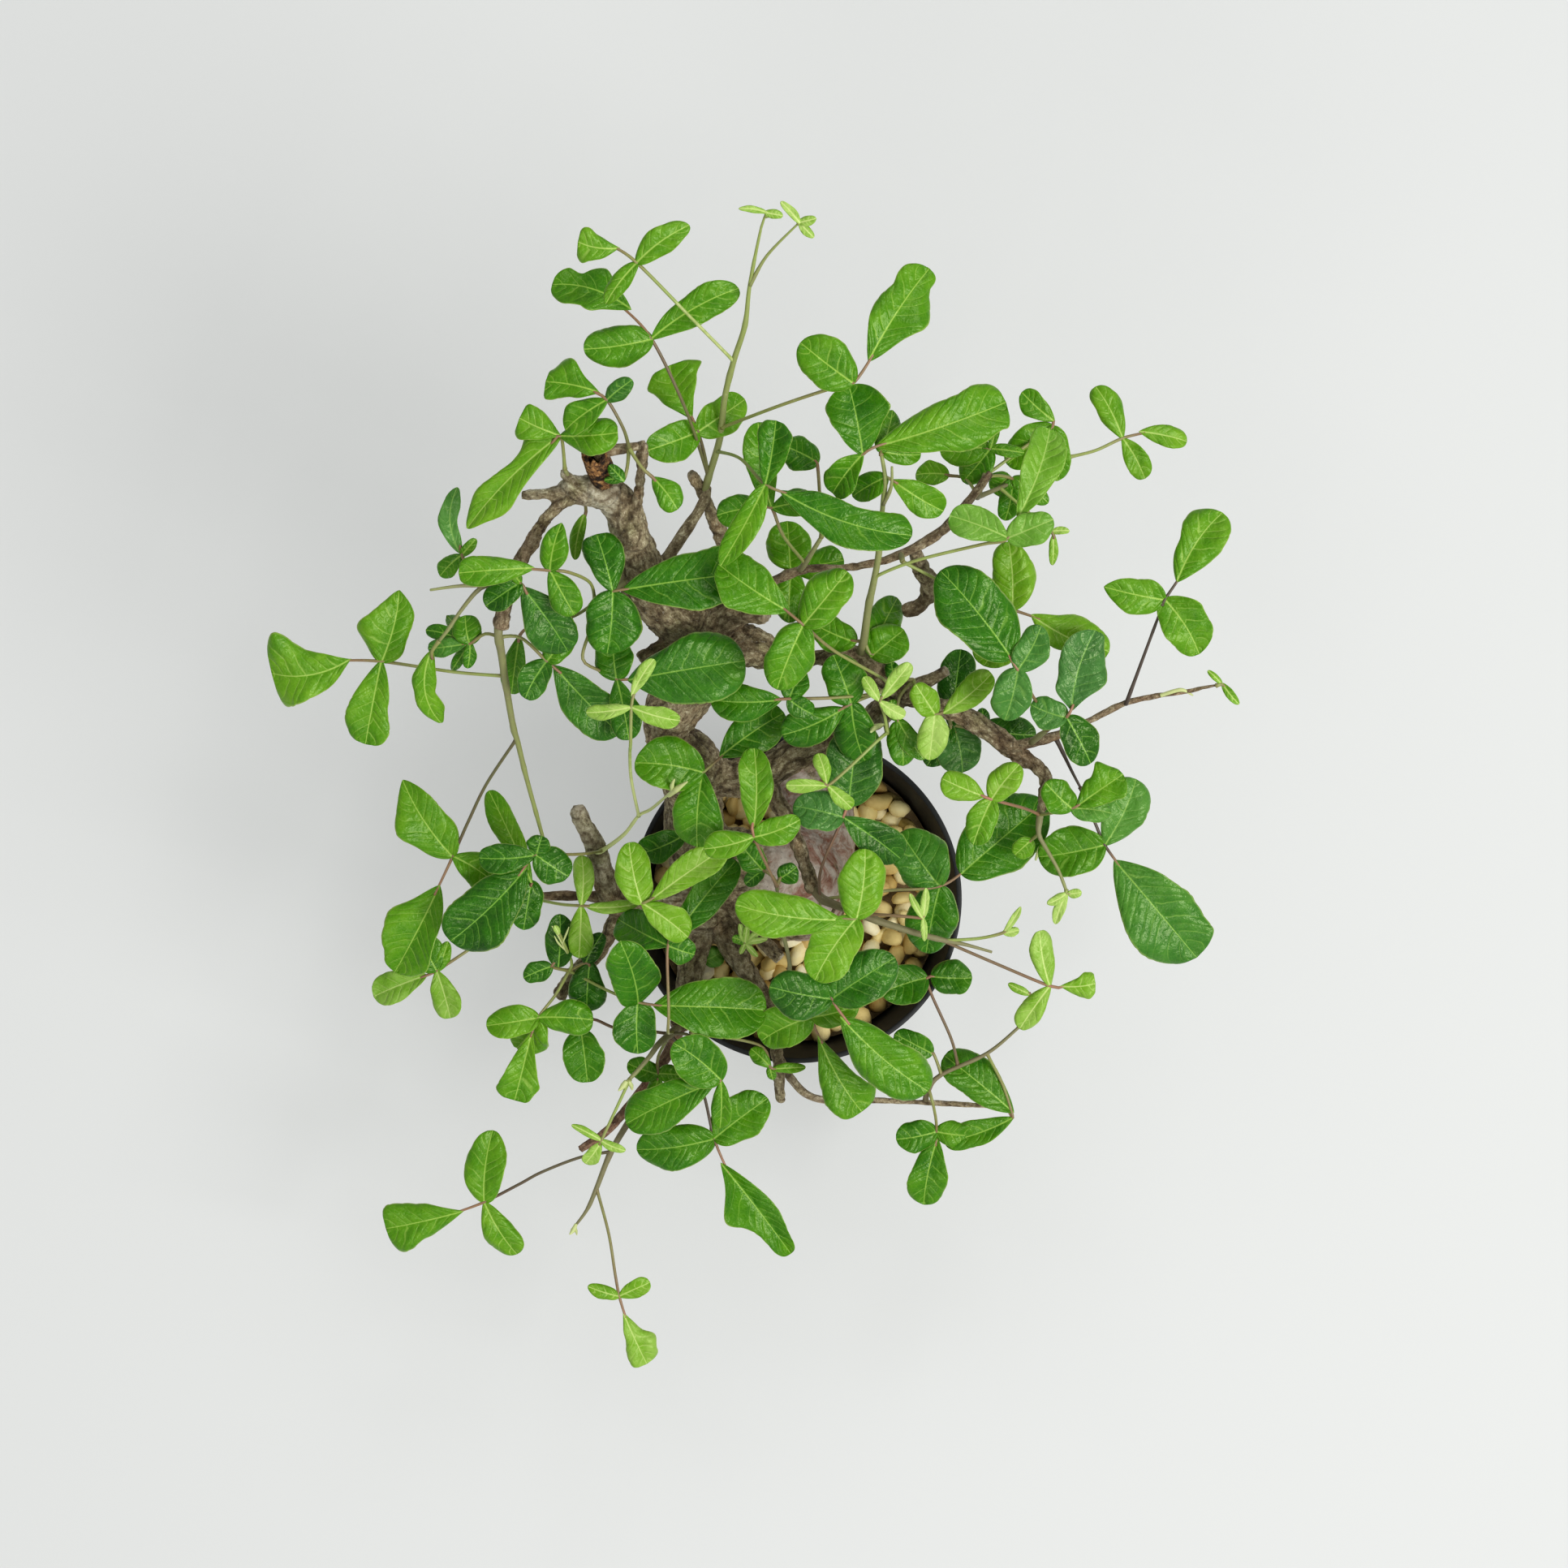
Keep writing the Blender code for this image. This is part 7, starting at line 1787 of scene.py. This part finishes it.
def make_shoot(name, shoot, tones, brownness):
    """One shoot as a single mesh with its stems, petioles and blades."""
    chance = random.Random(name)
    points, faces, marks, notes = [], [], [], []

    def add(shape, shape_notes, mark):
        shift = len(points)
        points.extend(tuple(p) for p in shape[0])
        faces.extend(tuple(i + shift for i in face) for face in shape[1])
        marks.extend([mark] * len(shape[1]))
        notes.extend(tuple(row) for row in shape_notes)

    def stem_note(tone, shade=0.0):
        return (0,) * 6 + (tone, 0, 0, shade)

    dark = DARK_STEMS.get(name, 0.0)
    for bud in BUDS.get(name, ()):
        shape = tube(route(bud, BUD_STEP), STEM_SIDES, 0.3)
        add(shape, [stem_note(BUD_TONE)] * len(shape[0]), STEM)
    for i, stem in enumerate(shoot["stems"]):
        path = route(stem, STEM_STEP)
        if i == 0 and len(path) > 6:
            path = path[1:]
        path = slimmed(path)
        tones_along = [brownness + 0.25 * (0.5 - k / len(path)) for k in range(len(path))]
        rings = [tone for tone in tones_along for _ in range(STEM_SIDES)]
        rings += [rings[0], rings[-1]]
        add(tube(path, STEM_SIDES, 0.4), [stem_note(tone, dark) for tone in rings], STEM)
    for i, (petiole, leaflets) in enumerate(shoot["leaves"]):
        tone = tones[i] if i < len(tones) else tones[-1]
        path_points, blades = leaf_shapes(petiole, leaflets, tone, chance)
        path = route(path_points, PETIOLE_STEP)
        path = [(p, r * petiole_swell(k, len(path))) for k, (p, r) in enumerate(path)]
        flush = []
        start, shade = STALKS.get(leaflets[0][:2], (0.36 - 0.25 * tone, 0.0))
        for k in range(len(path)):
            share = k / (len(path) - 1)
            red = start + (JOINT_RED - 0.30 * max(tone - 0.4, 0)) * share ** 3 + 0.15 * math.exp(-k)
            near_joint = min(1, max(0, (0.84 - share) * 8))
            flush += [stem_note(red, shade * near_joint)] * PETIOLE_SIDES
        flush += [flush[0], flush[-1]]
        add(tube(path, PETIOLE_SIDES, 0.5), flush, PETIOLE)
        for made in blades:
            add(made[:2], made[2], BLADE)
    mesh = bpy.data.meshes.new(name + "_leaves")
    mesh.from_pydata(points, [], faces)
    for finish in (stem_finish, petiole_finish, leaf_finish):
        mesh.materials.append(finish)
    mesh.polygons.foreach_set("material_index", marks)
    paint(mesh, np.array(notes))
    mesh.shade_smooth()
    return placed(name + "_leaves", mesh)


def slimmed(path):
    """Stem drawn finer than its solid, tapering to its tip, with faint swellings."""
    result = []
    for k, (place_at, radius) in enumerate(path):
        share = k / max(len(path) - 1, 1)
        node = STEM_NODE * max(0.0, math.sin(k * 0.55)) ** 6
        result.append((place_at, radius * (STEM_SLIMNESS - STEM_TAPER * share + node)))
    return result


def petiole_swell(k, count):
    """Petioles thicken a little at the stem and at the joint of their leaflets."""
    ends = min(k, count - 1 - k)
    return 1 + PETIOLE_SWELL * math.exp(-ends / 1.2)


def paint(mesh, notes):
    """Write the vein, cell and rib places as UV maps, and the rest as attributes."""
    corners = np.empty(len(mesh.loops), dtype=np.int64)
    mesh.loops.foreach_get("vertex_index", corners)
    for name, columns in (("Veins", (0, 1)), ("Cells", (2, 3)), ("Ribs", (4, 5))):
        layer = mesh.uv_layers.new(name=name)
        layer.data.foreach_set("uv", notes[corners][:, columns].astype(np.float32).ravel())
    # The last attribute holds painted sheen on blades, and a dark colour of their own on stems and
    # petioles.
    for name, column in (("Tone", 6), ("Pitch", 7), ("Under", 8), ("SheenAndDark", 9)):
        layer = mesh.attributes.new(name, "FLOAT", "POINT")
        layer.data.foreach_set("value", notes[:, column].astype(np.float32))


def make_leaf_finish():
    """Glossy green blade: midrib, side veins and fine net, pale margin, duller underside, and a
    painted bluish sheen on some.
    """
    leaf = Finish("glossy_leaf")
    tone, under = leaf.noted("Tone"), leaf.noted("Under")
    vein_map, cell_map, rib_map = (
        leaf.node("ShaderNodeUVMap", {"uv_map": name}).outputs[0]
        for name in ("Veins", "Cells", "Ribs"))
    vein_place = leaf.node("ShaderNodeSeparateXYZ", Vector=vein_map).outputs
    rib_place = leaf.node("ShaderNodeSeparateXYZ", Vector=rib_map).outputs
    away = leaf.math("ABSOLUTE", vein_place[1])
    from_rib = leaf.math("ABSOLUTE", rib_place[1])

    order = leaf.add(vein_place[0], leaf.swing(leaf.grain(0.16, 1.6, 0.5, cell_map), 0.62))
    side_mm = leaf.math("MULTIPLY", leaf.math("PINGPONG", order, 0.5), leaf.noted("Pitch"))
    side_vein = leaf.ramp(side_mm, (0.0, WHITE), (0.09, (0.85, 0.85, 0.85)), (0.21, BLACK))
    side_vein = leaf.math("MULTIPLY", side_vein, leaf.remap(away, 0.45, 0.95, 1.0, 0.1))
    taper = leaf.math("SUBTRACT", 0.36, leaf.scaled(rib_place[0], 0.20))
    midrib = leaf.ramp(leaf.math("DIVIDE", from_rib, taper), (0.45, WHITE), (1.0, BLACK))
    cells = leaf.node(
        "ShaderNodeTexVoronoi", {"feature": "DISTANCE_TO_EDGE"}, Scale=0.85,
        Vector=cell_map).outputs[0]
    net = leaf.ramp(cells, (0.0, WHITE), (0.09, BLACK))
    veins = leaf.math("MAXIMUM", midrib, leaf.scaled(side_vein, 0.60))
    veins = leaf.math("MAXIMUM", veins, leaf.scaled(net, 0.13))

    cloud = leaf.math("SUBTRACT", leaf.grain(34.0, 3.0, 0.6), 0.5)
    blotch = leaf.math("SUBTRACT", leaf.grain(0.16, 5.0, 0.65, cell_map), 0.5)
    green = leaf.ramp(leaf.add(tone, leaf.scaled(leaf.add(cloud, blotch), 0.55)), *LEAF_GREENS)
    colour = leaf.mix(veins, green, leaf.ramp(tone, *VEIN_GREENS))
    margin = leaf.ramp(away, (0.945, BLACK), (0.985, WHITE))
    colour = leaf.mix(leaf.scaled(margin, 0.50), colour, MARGIN_GREEN)
    below = leaf.mix(0.5, colour, UNDER_GREEN)
    # Painted sheen: a pale bluish reflection painted into the colour of the leaflets that carry it.
    painted_sheen = leaf.math("MULTIPLY", leaf.noted("SheenAndDark"), leaf.add(0.55, blotch))
    colour = leaf.mix(painted_sheen, colour, PAINTED_SHEEN_GREEN)
    leaf.give("Base Color", leaf.mix(under, colour, below))

    rough = leaf.add(0.215, leaf.scaled(leaf.grain(1.5, 4.0, 0.6, cell_map), 0.12))
    rough = leaf.add(leaf.add(rough, leaf.scaled(tone, 0.14)), leaf.scaled(under, 0.30))
    leaf.give("Roughness", rough)
    leaf.give("Specular IOR Level", 0.40)
    leaf.give("Specular Tint", LEAF_SHEEN)

    panel = leaf.ramp(
        side_mm, (0.0, BLACK), (0.30, (0.50, 0.50, 0.50)), (0.75, (0.85, 0.85, 0.85)), (1.0, WHITE))
    share = leaf.remap(leaf.grain(0.13, 2.0, 0.5, cell_map), 0.35, 0.65, 0.03, 0.18)
    quilt = leaf.math("MINIMUM", panel, leaf.remap(from_rib, 0.0, 1.1))
    relief = leaf.math("MULTIPLY", quilt, share)
    relief = leaf.add(relief, leaf.scaled(leaf.math("MINIMUM", cells, 0.30), 0.13))
    relief = leaf.add(relief, leaf.scaled(leaf.grain(0.24, 2.0, 0.5, cell_map, 0.4), 0.55))
    crumple = leaf.grain(0.55, 2.5, 0.55, cell_map, 0.7)
    leathery = leaf.remap(tone, 0.1, 0.75, 0.34, 0.10)
    leaf.bump(leaf.add(relief, leaf.math("MULTIPLY", crumple, leathery)), 1.0, 0.0010)
    return leaf.material


def make_stem_finish(name, low, middle, high, gloss):
    """Streaked skin from green to brown or red by tone, with pale dots."""
    stem = Finish(name)
    streak = stem.grain(420.0, 5.0, 0.6)
    mixed = stem.add(stem.noted("Tone"), stem.swing(streak, 0.30))
    colour = stem.ramp(mixed, (0.0, PALE_STEM), (0.12, low), (0.5, middle), (1.0, high))
    dots = stem.ramp(stem.grain(1700.0, 2.0, 0.5), (0.66, BLACK), (0.72, WHITE))
    colour = stem.mix(stem.scaled(dots, 0.3), colour, STEM_DOTS)
    stem.give("Base Color", stem.mix(stem.noted("SheenAndDark"), colour, DARK_STEM))
    stem.give("Roughness", gloss)
    stem.bump(streak, 0.5, 0.0003)
    return stem.material


stem_finish = make_stem_finish(
    "shoot_bark", (0.27, 0.33, 0.09), (0.22, 0.21, 0.10), (0.15, 0.095, 0.060), 0.55)
petiole_finish = make_stem_finish(
    "flushed_petiole", (0.27, 0.35, 0.09), (0.22, 0.15, 0.075), (0.36, 0.175, 0.11), 0.42)
leaf_finish = make_leaf_finish()
for shoot_name, shoot in SHOOTS.items():
    brownness = BROWN_STEMS.get(shoot_name, STEM_BROWN)
    piece = make_shoot(shoot_name, shoot, TONES[shoot_name], brownness)
    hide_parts(shoot_name)
    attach(piece, "root")
